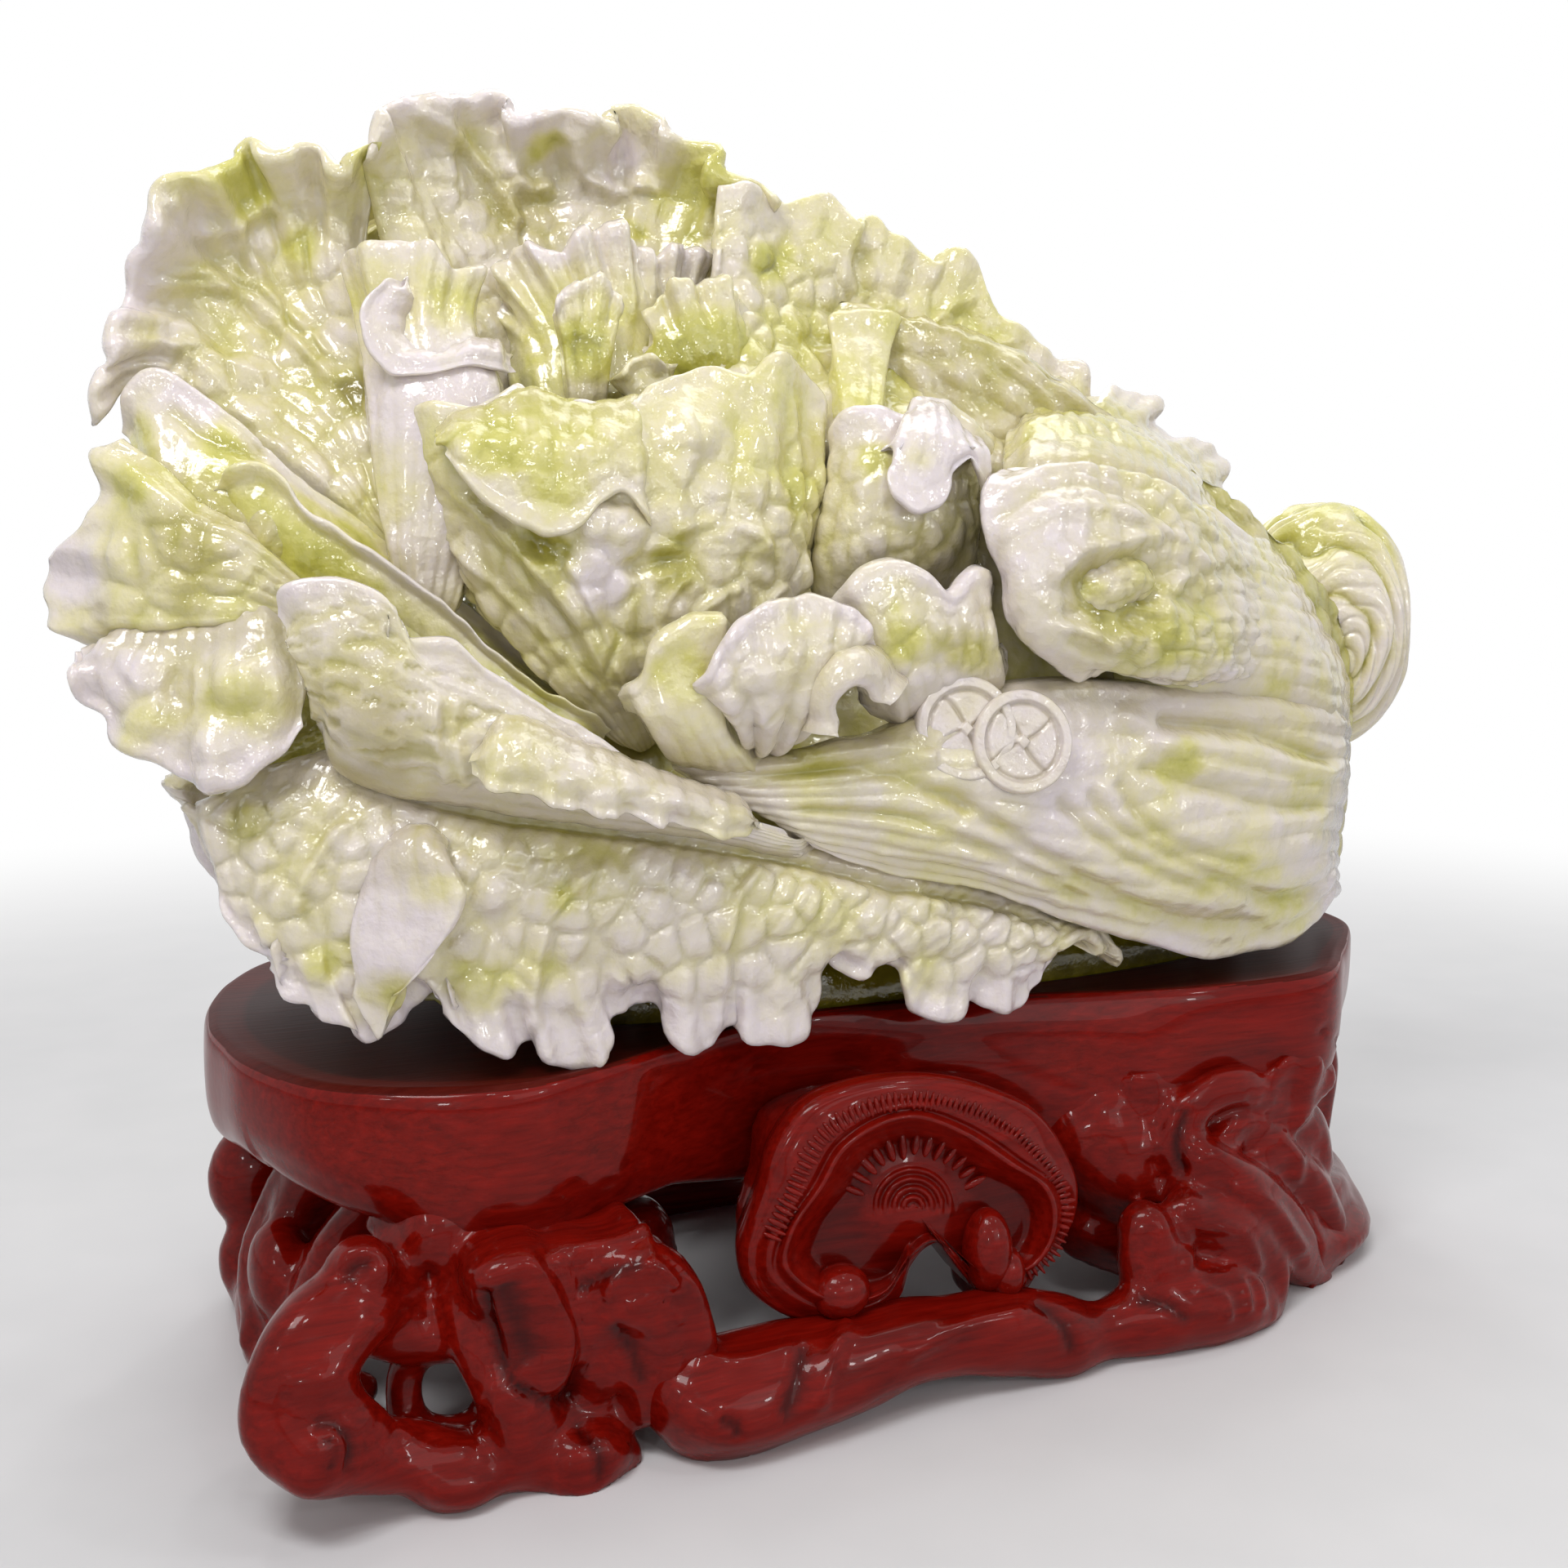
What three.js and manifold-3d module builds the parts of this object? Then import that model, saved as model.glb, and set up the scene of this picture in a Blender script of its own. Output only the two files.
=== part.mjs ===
// Jade cabbage carving lying on a lacquered root-carved stand.
// Millimetres, +Z up, +X towards the stalk end, -Y towards the viewer's side.
// The stone is one carving and the stand one piece of joinery. Each leaf, root and
// boss is a solid of its own here, with a hairline to the form that it grows from.
import * as THREE from "three";
import { mergeVertices } from "three/addons/utils/BufferGeometryUtils.js";
import Module from "manifold-3d";

const wasm = await Module();
wasm.setup();

// Driving dimensions of the whole object
const CARVING_LENGTH = 500;
const CARVING_DEPTH = 180;
const CARVING_HEIGHT = 281;
const STAND_LENGTH = 436;
const STAND_DEPTH = 184;
const STAND_HEIGHT = 115;

// Sizes of the stone's forms
const LEAF_THICKNESS = 7;
const STALK_THICKNESS = 13;
const HEART_THICKNESS = 9;
const SMALL_LEAF_THICKNESS = 5;
const CURL_THICKNESS = 4.5;
const COIN_RADIUS = 16;
const COIN_THICKNESS = 8;
const COIN_RIM_WIDTH = 3;
const COIN_RIM_RISE = 1.4;
const COIN_HOLE = 7;
const BUD_LENGTH = 27;
const BUD_WIDTH = 16;
const KNOT_LENGTH = 66;
const KNOT_DEPTH = 78;
const KNOT_HEIGHT = 100;
const KNOT_STRAND_RISE = 5;

// Sizes of the stand's forms
const SLAB_THICKNESS = 40;
const SEAT_DEPTH = 3;
const SEAT_CLEARANCE = 0.8;
const FOOT_LENGTH = 300;
const FOOT_DEPTH = 92;
const FOOT_RISE = 22;
const ROOT_RADIUS = 16;
const FUNGUS_WIDTH = 110;
const FUNGUS_HEIGHT = 74;
const FUNGUS_THICKNESS = 26;
const FUNGUS_RIM = 13;

// Clearances
const GAP = 0.3;
const WELD_DISTANCE = 0.001;
const CUT_OVERRUN = 60;

const SLAB_TOP = STAND_HEIGHT;
const SLAB_BOTTOM = STAND_HEIGHT - SLAB_THICKNESS;

// The picks below count in parts: one part of the length, depth or height of the stone.
const LENGTH_PARTS = 500;
const DEPTH_PARTS = 180;
const HEIGHT_PARTS = 281;
const PART_X = CARVING_LENGTH / LENGTH_PARTS;
const PART_Y = CARVING_DEPTH / DEPTH_PARTS;
const PART_Z = CARVING_HEIGHT / HEIGHT_PARTS;

// The eye that the pixels were picked from: its place in parts from the slab's top, its turn,
// its tilt and its focal length in pixels of a frame 1920 wide.
const EYE_SHARES = { x: -244.5, y: -522.4, z: 154, turnDegrees: -23.5, tiltDegrees: 8.5 };
const FOCAL_PIXELS = 2078;
const FRAME_MIDDLE_PIXELS = 960;

// The lump of stone that the leaves lie on, in parts: middle, half sizes and top line.
const LUMP_SHARES = { x: 10, y: 10, z: 85, halfLength: 264, halfDepth: 82, below: 150, rim: 12 };
const LUMP_END_POWER = 2.6;
const TOP_LINE_SHARES = [
  [-240, 150], [-224, 208], [-207, 253], [-182, 266], [-143, 281], [-72, 284], [-23, 262],
  [56, 240], [161, 184], [200, 165], [240, 140], [264, 110],
];

const STONE_PALE = { color: 0xe9e6dc, roughness: 0.18, metalness: 0 };
const STONE_GREEN = { color: 0xcfd189, roughness: 0.18, metalness: 0 };
const STONE_LILAC = { color: 0xe4dfe3, roughness: 0.16, metalness: 0 };
const LACQUER = { color: 0x6a120c, roughness: 0.22, metalness: 0 };

// Frame of sight, from pixels to the stone

const turn = THREE.MathUtils.degToRad(EYE_SHARES.turnDegrees);
const tilt = THREE.MathUtils.degToRad(EYE_SHARES.tiltDegrees);
const sightRight = new THREE.Vector3(Math.cos(turn), Math.sin(turn), 0);
const sightAhead = new THREE.Vector3(
  -Math.sin(turn) * Math.cos(tilt),
  Math.cos(turn) * Math.cos(tilt),
  -Math.sin(tilt),
);
const sightUp = sightRight.clone().cross(sightAhead);
const eye = new THREE.Vector3(EYE_SHARES.x, EYE_SHARES.y, EYE_SHARES.z);

function lineValue(points, x) {
  if (x <= points[0][0]) return points[0][1];
  for (let i = 1; i < points.length; i++) {
    const [x1, y1] = points[i];
    const [x0, y0] = points[i - 1];
    if (x <= x1) return y0 + ((y1 - y0) * (x - x0)) / (x1 - x0);
  }
  return points[points.length - 1][1];
}

// Half depth of the lump, in parts, at a place on its middle plane.
function lumpDepth(x, z) {
  const { halfLength, halfDepth, below, rim } = LUMP_SHARES;
  const end = 1 - Math.pow(Math.abs(x - LUMP_SHARES.x) / halfLength, LUMP_END_POWER);
  const rise = z - LUMP_SHARES.z;
  const reach = rise > 0 ? lineValue(TOP_LINE_SHARES, x) - LUMP_SHARES.z + rim : below;
  const side = 1 - Math.pow(rise / reach, 2);
  return halfDepth * Math.sqrt(Math.max(end, 0)) * Math.sqrt(Math.max(side, 0));
}

function sightPoint(u, v, depth) {
  const ray = sightAhead.clone();
  ray.addScaledVector(sightRight, (u - FRAME_MIDDLE_PIXELS) / FOCAL_PIXELS);
  ray.addScaledVector(sightUp, (FRAME_MIDDLE_PIXELS - v) / FOCAL_PIXELS);
  const reach = (LUMP_SHARES.y - depth - eye.y) / ray.y;
  return eye.clone().addScaledVector(ray, reach);
}

const SIGHT_STEPS = 16;

// A pick is [pixel, pixel, lift]. The layer says how far towards the front face of the lump it
// lies, 0 being the middle plane, and the lift adds parts to that.
function pickPoint([u, v, lift = 0], layer, behind) {
  let depth = lift;
  for (let step = 0; step < SIGHT_STEPS; step++) {
    const guess = sightPoint(u, v, depth);
    const wanted = layer * lumpDepth(guess.x, guess.z) + lift;
    depth = (depth + wanted) / 2;
  }
  const found = sightPoint(u, v, depth);
  const y = behind ? 2 * LUMP_SHARES.y - found.y : found.y;
  return new THREE.Vector3(found.x * PART_X, y * PART_Y, SLAB_TOP + found.z * PART_Z);
}

// Solids

function toSolid(geometry) {
  const bare = geometry.clone();
  bare.deleteAttribute("normal");
  bare.deleteAttribute("uv");
  const merged = mergeVertices(bare, WELD_DISTANCE);
  const vertProperties = new Float32Array(merged.attributes.position.array);
  const triVerts = new Uint32Array(merged.index.array);
  return new wasm.Manifold(new wasm.Mesh({ numProp: 3, vertProperties, triVerts }));
}

function toGeometry(solid) {
  const mesh = solid.getMesh();
  const geometry = new THREE.BufferGeometry();
  geometry.setAttribute("position", new THREE.BufferAttribute(mesh.vertProperties, 3));
  geometry.setIndex(new THREE.BufferAttribute(mesh.triVerts, 1));
  geometry.computeVertexNormals();
  return geometry;
}

const CLEANING_ROUNDS = 4;

// The largest body of a solid, read back from its own triangles so that no pinch is left in it.
function largestBody(solid) {
  let body = solid;
  for (let round = 0; round < CLEANING_ROUNDS; round++) {
    const bodies = toSolid(toGeometry(body)).decompose();
    body = bodies.reduce((best, other) => (other.volume() > best.volume() ? other : best));
    if (bodies.length === 1) break;
  }
  return body;
}

function surfaceGeometry(points, triangles) {
  const geometry = new THREE.BufferGeometry();
  const flat = points.flatMap((point) => [point.x, point.y, point.z]);
  geometry.setAttribute("position", new THREE.Float32BufferAttribute(flat, 3));
  geometry.setIndex(triangles.flat());
  return geometry;
}

// A grid of points through rows of picks: across[j] runs along a row, down the rows by i.
function leafGrid(leaf) {
  const { rows, layers, columns, steps, behind } = leaf;
  const curves = rows.map((row, i) => {
    const layer = Array.isArray(layers) ? layers[i] : layers;
    const points = row.map((pick) => pickPoint(pick, layer, behind));
    return new THREE.CatmullRomCurve3(points).getSpacedPoints(columns);
  });
  const grid = [];
  for (let j = 0; j <= columns; j++) {
    const across = new THREE.CatmullRomCurve3(curves.map((row) => row[j]));
    grid.push(across.getPoints(steps));
  }
  return grid;
}

function gridNormals(grid, towards) {
  const normals = grid.map((line, j) =>
    line.map((_, i) => {
      const before = grid[Math.max(j - 1, 0)][i];
      const after = grid[Math.min(j + 1, grid.length - 1)][i];
      const lower = line[Math.max(i - 1, 0)];
      const upper = line[Math.min(i + 1, line.length - 1)];
      const along = after.clone().sub(before);
      return along.cross(upper.clone().sub(lower)).normalize();
    }),
  );
  const sum = normals.flat().reduce((total, normal) => total + normal.y, 0);
  if (sum * towards < 0) normals.flat().forEach((normal) => normal.negate());
  return normals;
}

// A sheet with its face on the grid and its back a wall's thickness behind. The wall thins
// towards the free edge, which is the last row. A margin grows it all round, for cutting.
const EDGE_THICKNESS_SHARE = 0.55;

function sheetGeometry(leaf, margin) {
  const grid = leafGrid(leaf);
  const normals = gridNormals(grid, leaf.behind ? 1 : -1);
  const wide = grid.length - 1;
  const high = grid[0].length - 1;
  const face = [];
  const back = [];
  for (let j = 0; j <= wide; j++) {
    for (let i = 0; i <= high; i++) {
      const point = grid[j][i].clone();
      point.add(edgeShift(grid, j, i, margin));
      const thin = 1 - (1 - EDGE_THICKNESS_SHARE) * Math.pow(i / high, 2);
      face.push(point.clone().addScaledVector(normals[j][i], margin));
      back.push(point.clone().addScaledVector(normals[j][i], -leaf.wall * thin - margin));
    }
  }
  const count = face.length;
  const at = (j, i) => j * (high + 1) + i;
  const under = (j, i) => count + at(j, i);
  const triangles = [];
  const quad = (a, b, c, d) => triangles.push([a, b, c], [a, c, d]);
  for (let j = 0; j < wide; j++) {
    for (let i = 0; i < high; i++) {
      quad(at(j, i), at(j + 1, i), at(j + 1, i + 1), at(j, i + 1));
      quad(under(j, i + 1), under(j + 1, i + 1), under(j + 1, i), under(j, i));
    }
    quad(at(j + 1, 0), at(j, 0), under(j, 0), under(j + 1, 0));
    quad(at(j, high), at(j + 1, high), under(j + 1, high), under(j, high));
  }
  for (let i = 0; i < high; i++) {
    quad(at(0, i), at(0, i + 1), under(0, i + 1), under(0, i));
    quad(at(wide, i + 1), at(wide, i), under(wide, i), under(wide, i + 1));
  }
  return surfaceGeometry([...face, ...back], triangles);
}

function edgeShift(grid, j, i, margin) {
  const shift = new THREE.Vector3();
  if (margin === 0) return shift;
  const wide = grid.length - 1;
  const high = grid[0].length - 1;
  const outward = (from, to) => to.clone().sub(from).normalize().multiplyScalar(margin);
  if (j === 0) shift.add(outward(grid[1][i], grid[0][i]));
  if (j === wide) shift.add(outward(grid[wide - 1][i], grid[wide][i]));
  if (i === 0) shift.add(outward(grid[j][1], grid[j][0]));
  if (i === high) shift.add(outward(grid[j][high - 1], grid[j][high]));
  return shift;
}

function sheetSolid(leaf, margin = 0) {
  const geometry = sheetGeometry(leaf, margin);
  const solid = toSolid(geometry);
  if (solid.volume() > 0) return solid;
  const index = geometry.index.array;
  for (let i = 0; i < index.length; i += 3) {
    [index[i], index[i + 1]] = [index[i + 1], index[i]];
  }
  return toSolid(geometry);
}

// Picks of the leaves, row by row: from where the leaf grows to its free edge, each row from
// left to right in the photograph. The third number of a pick is its lift.

const LEAF_PIXELS = {
  front_centre_curl: [
    [[533, 506, 4], [590, 506, 6], [650, 488, 6], [700, 500, 6], [750, 500, 6], [804, 488, 6]],
    [[538, 530, 11], [595, 545, 13], [655, 560, 14], [705, 558, 14], [755, 545, 14], [808, 550, 12]],
    [[545, 552, 12], [575, 592, 14], [615, 630, 14], [665, 652, 14], [705, 640, 14],
      [738, 605, 14], [765, 600, 14], [788, 622, 14], [812, 648, 12]],
  ],
  small_curl: [
    [[1006, 888, 8], [1001, 850, 8], [1016, 820, 8], [1040, 803, 8], [1066, 808, 8], [1090, 845, 6]],
    [[1016, 890, 13], [1011, 855, 15], [1024, 831, 17], [1043, 817, 17], [1064, 823, 15], [1084, 854, 12]],
    [[1027, 892, 14], [1022, 862, 17], [1032, 844, 19], [1046, 836, 19], [1061, 842, 17], [1076, 864, 14]],
  ],
  leaf_f: [
    [[890, 892, 6], [925, 905, 6], [970, 905, 6], [1010, 880, 6]],
    [[865, 866, 12], [915, 850, 14], [990, 840, 14], [1050, 815, 10]],
    [[863, 845, 14], [875, 815, 15], [901, 777, 15], [928, 756, 14], [955, 745, 13], [1000, 735, 12],
      [1030, 745, 12], [1050, 755, 12], [1065, 775, 12], [1075, 795, 12]],
  ],
  leaf_e: [
    [[800, 925, -2], [850, 930, 0], [930, 940, 0]],
    [[775, 885, 5], [820, 880, 8], [900, 895, 6]],
    [[757, 852, 4], [784, 836, 6], [800, 799, 8], [832, 772, 8], [880, 764, 8], [901, 777, 8]],
  ],
  leaf_g: [
    [[1085, 870, 0], [1130, 850, 2], [1190, 835, 2], [1240, 815, 2]],
    [[1060, 800, 4], [1110, 780, 8], [1170, 770, 8], [1230, 765, 4]],
    [[1030, 745, 6], [1050, 725, 8], [1065, 705, 8], [1100, 700, 8], [1140, 710, 8], [1165, 730, 8],
      [1200, 705, 6], [1228, 718, 4]],
  ],
  rolled_leaf_ruffle: [
    [[572, 898, 14], [620, 888, 16], [700, 918, 16], [790, 948, 13], [880, 978, 9], [940, 992, 4]],
    [[570, 926, 20], [620, 926, 22], [700, 952, 21], [790, 972, 18], [880, 996, 13], [942, 1006, 8]],
    [[574, 952, 20], [612, 967, 22], [656, 971, 21], [700, 989, 20], [747, 996, 18], [800, 1000, 16],
      [853, 1014, 13], [944, 1020, 8]],
  ],
  rolled_leaf: [
    [[376, 905, 2], [427, 945, 2], [480, 964, 2], [544, 976, 2], [690, 1001, 1], [850, 1024, 0],
      [1003, 1048, -4]],
    [[372, 860, 10], [430, 890, 12], [500, 915, 12], [600, 945, 10], [720, 975, 8], [860, 1010, 4],
      [1001, 1041, -3]],
    [[352, 790, 14], [410, 775, 14], [470, 800, 14], [550, 850, 12], [680, 915, 10], [840, 985, 6],
      [1000, 1036, -2]],
    [[333, 751, 12], [341, 729, 12], [373, 716, 12], [408, 711, 12], [443, 721, 12], [477, 740, 12],
      [488, 767, 12], [504, 788, 11], [549, 788, 10], [587, 815, 10], [613, 833, 9], [632, 849, 8],
      [700, 892, 6], [780, 940, 4], [864, 985, 2], [985, 1028, -2]],
  ],
  left_hem_leaf: [
    [[118, 778, 0], [175, 782, 2], [245, 785, 2], [305, 775, 2], [348, 765, 2]],
    [[104, 812, 6], [160, 840, 8], [225, 860, 8], [300, 862, 8], [368, 840, 6]],
    [[88, 799, 6], [96, 831, 8], [101, 857, 8], [128, 879, 8], [133, 900, 8], [181, 924, 8],
      [205, 938, 8], [256, 953, 10], [299, 953, 10], [320, 932, 10], [352, 916, 8], [373, 895, 6]],
  ],
  left_wing_leaf: [
    [[388, 716, -4], [366, 726, -2], [345, 742, 0], [332, 762, 0]],
    [[309, 648, 0], [300, 685, 2], [296, 725, 2], [300, 770, 2]],
    [[246, 618, 2], [222, 655, 4], [212, 712, 4], [215, 780, 2]],
    [[184, 562, 2], [165, 592, 4], [142, 640, 4], [128, 700, 4], [118, 745, 4], [128, 788, 2]],
    [[141, 548, 2], [125, 553, 2], [128, 580, 2], [115, 617, 4], [107, 649, 4], [115, 671, 4],
      [80, 676, 4], [53, 724, 4], [67, 735, 4], [69, 772, 4], [88, 788, 4]],
  ],
  left_leaf_lip: [
    [[268, 668, -2], [330, 700, -2], [400, 738, -2], [470, 775, -2], [550, 826, -3], [645, 885, -4],
      [735, 928, -5]],
    [[262, 630, 0], [325, 645, 1], [392, 695, 1], [470, 738, 0], [550, 795, -1], [645, 862, -3],
      [742, 912, -4]],
    [[258, 598, 0], [290, 576, 2], [331, 577, 2], [352, 596, 2], [373, 625, 2], [427, 660, 2],
      [480, 697, 1], [533, 735, 0], [587, 783, -2], [640, 835, -4], [750, 892, -5]],
  ],
  hem_fold: [
    [[442, 1090, 6], [470, 1075, 8], [515, 1070, 8], [545, 1075, 6]],
    [[436, 1130, 10], [465, 1130, 12], [505, 1130, 12], [548, 1110, 10]],
    [[433, 1165, 10], [450, 1190, 12], [485, 1195, 12], [540, 1142, 10]],
    [[443, 1223, 8], [458, 1240, 8], [470, 1255, 8], [491, 1197, 8], [523, 1170, 8]],
  ],
  front_lower_leaf: [
    [[262, 957, -8], [373, 945, -6], [454, 957, -6], [598, 989, -6], [790, 1013, -6], [1003, 1050, -6],
      [1202, 1092, -6], [1368, 1144, -4]],
    [[225, 985, 0], [330, 1030, 2], [440, 1050, 3], [600, 1070, 3], [790, 1090, 3], [950, 1110, 3],
      [1120, 1130, 2], [1345, 1150, 0]],
    [[248, 1050, 2], [350, 1150, 4], [430, 1180, 4], [560, 1180, 5], [700, 1180, 5], [850, 1175, 5],
      [1000, 1155, 4], [1090, 1165, 3], [1200, 1175, 3], [1310, 1166, 1]],
    [[257, 1080, 2], [302, 1154, 4], [337, 1170, 4], [347, 1213, 5], [377, 1226, 6], [395, 1247, 6],
      [427, 1247, 6], [446, 1268, 6], [500, 1228, 0], [538, 1213, 5], [553, 1245, 8], [577, 1271, 10],
      [625, 1287, 10], [649, 1269, 6], [670, 1293, 10], [721, 1304, 10], [745, 1282, 8],
      [753, 1234, 2], [790, 1218, -2], [811, 1239, 2], [825, 1271, 8], [849, 1283, 10],
      [875, 1277, 8], [886, 1253, 4], [902, 1247, 2], [913, 1269, 8], [928, 1272, 9], [976, 1272, 8],
      [992, 1255, 6], [1000, 1222, 2], [1002, 1173, -2], [1046, 1194, 2], [1087, 1180, -2],
      [1103, 1189, 2], [1117, 1227, 6], [1146, 1246, 8], [1183, 1239, 6], [1190, 1222, 2],
      [1207, 1232, 5], [1249, 1227, 4], [1268, 1189, 0], [1310, 1172, 0]],
  ],
  leaf_roll: [
    [[1515, 660, -6], [1540, 700, -2], [1560, 745, 0], [1568, 790, 0], [1560, 840, 0]],
    [[1450, 590, 6], [1450, 640, 14], [1450, 700, 16], [1470, 780, 14], [1500, 845, 6]],
    [[1350, 560, 8], [1335, 620, 18], [1330, 690, 20], [1360, 775, 18], [1430, 845, 8]],
    [[1280, 555, 6], [1258, 610, 14], [1245, 690, 16], [1270, 765, 16], [1350, 830, 8]],
    [[1235, 560, 0], [1205, 600, 6], [1210, 650, 8], [1230, 705, 8], [1240, 755, 8],
      [1270, 790, 8], [1300, 810, 6], [1340, 835, 2]],
  ],
  right_centre_curl: [
    [[1090, 520, 4], [1120, 505, 6], [1155, 502, 6], [1190, 535, 6], [1215, 545, 4]],
    [[1082, 535, 10], [1115, 545, 14], [1150, 540, 14], [1185, 550, 14], [1222, 562, 8]],
    [[1085, 550, 10], [1095, 595, 13], [1125, 625, 14], [1155, 610, 13], [1165, 575, 12],
      [1185, 560, 12], [1210, 600, 10], [1226, 585, 8]],
  ],
  right_centre_leaf: [
    [[1000, 748, -12], [1060, 725, -4], [1120, 715, -4], [1205, 715, -8]],
    [[1010, 650, -8], [1080, 650, 6], [1140, 655, 6], [1212, 660, -4]],
    [[1018, 580, -8], [1080, 580, 7], [1140, 585, 7], [1215, 600, -2]],
    [[1020, 560, -10], [1027, 535, -6], [1045, 512, 0], [1075, 502, 4], [1105, 515, 4], [1120, 497, 4],
      [1155, 495, 4], [1180, 510, 3], [1205, 536, 0], [1228, 560, -6]],
  ],
  front_centre_leaf: [
    [[690, 852, -10], [760, 866, -8], [830, 850, -8], [900, 825, -8]],
    [[640, 765, -6], [700, 760, 2], [760, 765, 4], [850, 775, 4], [940, 755, 0], [1000, 735, -6]],
    [[545, 650, -8], [620, 650, 5], [720, 655, 10], [850, 650, 10], [950, 650, 5], [1012, 650, -8]],
    [[500, 575, -14], [580, 570, 2], [700, 575, 8], [850, 560, 8], [950, 570, 2], [1020, 580, -12]],
    [[496, 556, -18], [501, 521, -16], [533, 505, -8], [581, 505, -2], [635, 476, 0], [667, 521, 2],
      [709, 495, 2], [779, 500, 2], [800, 473, 2], [832, 463, 2], [869, 449, 2], [907, 471, 0],
      [950, 440, -2], [980, 445, -5], [1005, 475, -10], [1024, 530, -16]],
  ],
  heart_left_curl: [
    [[520, 358, 0], [500, 370, 2], [494, 395, 2], [507, 418, 2], [540, 424, 2], [590, 416, 2],
      [632, 424, 0]],
    [[510, 346, 4], [482, 360, 6], [472, 395, 8], [487, 428, 8], [530, 438, 8], [588, 428, 6],
      [636, 438, 2]],
    [[500, 334, 4], [474, 346, 6], [455, 367, 8], [448, 399, 8], [459, 433, 8], [482, 452, 8],
      [523, 455, 8], [587, 445, 6], [640, 454, 2]],
  ],
  heart_left: [
    [[450, 645, -4], [490, 652, 2], [550, 635, 0]],
    [[440, 525, -10], [500, 528, 2], [570, 512, 2], [630, 485, -4]],
    [[425, 400, -16], [480, 390, 0], [545, 385, 0], [600, 400, -10]],
    [[416, 345, -20], [419, 313, -14], [453, 305, -4], [528, 303, 0], [549, 324, 0], [565, 332, -2],
      [592, 335, -8], [600, 375, -14]],
  ],
  heart_b: [
    [[690, 478, 0], [720, 482, 2], [752, 478, 0]],
    [[682, 425, 0], [720, 415, 4], [758, 430, 2]],
    [[675, 385, 2], [688, 367, 4], [731, 345, 4], [752, 361, 4], [762, 390, 2]],
  ],
  heart_d: [
    [[765, 492, 0], [800, 490, 2], [838, 478, 0]],
    [[752, 470, 2], [770, 452, 4], [795, 443, 4], [830, 463, 2]],
  ],
  heart_c: [
    [[800, 480, -4], [860, 472, 2], [912, 474, 2], [950, 452, -6]],
    [[765, 450, -8], [830, 425, 4], [900, 425, 4], [953, 443, -10]],
    [[775, 435, -12], [789, 420, -6], [816, 356, 2], [853, 351, 4], [901, 361, 2], [905, 392, -4],
      [928, 431, -12]],
  ],
  inner_right_leaf: [
    [[1030, 535, 0], [1058, 522, 2], [1085, 505, 0]],
    [[1015, 450, 0], [1050, 440, 2], [1095, 440, 0]],
    [[1010, 412, 0], [1020, 392, 2], [1050, 385, 2], [1085, 384, 2], [1110, 400, 0]],
  ],
  heart_a: [
    [[640, 490, -2], [700, 490, 2], [770, 480, 2], [850, 470, -4]],
    [[612, 420, -10], [680, 400, 2], [770, 395, 2], [870, 380, -10]],
    [[603, 420, -18], [613, 356, -12], [629, 313, -6], [651, 308, -2], [688, 313, 2], [704, 300, 2],
      [715, 287, 2], [771, 281, 2], [781, 303, 0], [795, 321, -2], [821, 308, -4], [864, 313, -8],
      [885, 335, -14]],
  ],
  right_ridge_leaf: [
    [[1232, 565, -2], [1300, 552, 4], [1370, 560, 6], [1440, 590, 4], [1510, 655, -2]],
    [[1235, 520, 0], [1300, 505, 4], [1370, 520, 4], [1430, 555, 4], [1500, 622, 0]],
    [[1240, 490, 0], [1290, 470, 0], [1342, 487, 0], [1380, 479, 0], [1415, 495, 0], [1412, 520, 0],
      [1445, 535, 0], [1502, 565, 0], [1490, 600, 0], [1512, 630, 0]],
  ],
  left_valley_leaf: [
    [[152, 552, 0], [190, 552, 0], [230, 580, 0], [262, 600, 0], [330, 610, 0], [400, 665, -4],
      [500, 735, -6], [600, 815, -8], [745, 905, -10]],
    [[150, 530, 0], [200, 520, 0], [260, 540, 0], [330, 590, 0], [420, 650, -6], [520, 735, -10],
      [640, 825, -12], [752, 893, -12]],
    [[135, 520, 0], [180, 463, 0], [213, 466, 0], [267, 500, 0], [341, 569, 0], [440, 645, -6],
      [540, 725, -10], [650, 810, -12], [755, 872, -12]],
  ],
  back_left_leaf: [
    [[500, 700, 0], [480, 660, 0], [475, 620, 0], [520, 560, 0]],
    [[345, 572, 6], [400, 540, 0], [440, 490, -2], [480, 400, 0]],
    [[240, 495, 10], [300, 440, 2], [350, 380, -4], [440, 320, 4]],
    [[178, 468, 14], [220, 400, 6], [255, 330, 0], [330, 265, 0], [450, 250, 10]],
    [[130, 518, 18], [125, 473, 20], [140, 441, 18], [133, 420, 16], [144, 388, 12], [163, 369, 8],
      [168, 319, 8], [179, 303, 10], [200, 228, 14], [224, 215, 12], [251, 215, 8], [299, 196, 4],
      [304, 177, 4], [339, 196, 8], [373, 188, 10], [419, 209, 14], [432, 193, 16], [468, 190, 18]],
  ],
  back_top_leaf: [
    [[560, 470, 4], [660, 460, 0], [780, 450, 0], [900, 440, 4]],
    [[500, 330, 14], [620, 320, 0], [760, 310, 0], [900, 340, 14]],
    [[470, 230, 20], [580, 210, 2], [700, 220, 0], [800, 235, 4], [930, 285, 20]],
    [[470, 195, 24], [468, 140, 20], [501, 127, 14], [555, 124, 8], [619, 124, 4], [632, 145, 6],
      [667, 143, 10], [720, 143, 10], [744, 156, 6], [750, 138, 4], [811, 151, 8], [821, 169, 10],
      [875, 185, 14], [885, 217, 18], [928, 231, 22], [950, 249, 24]],
  ],
  back_right_leaf: [
    [[900, 500, 4], [1000, 530, 0], [1110, 530, 0], [1220, 560, 0], [1330, 590, 4]],
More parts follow.
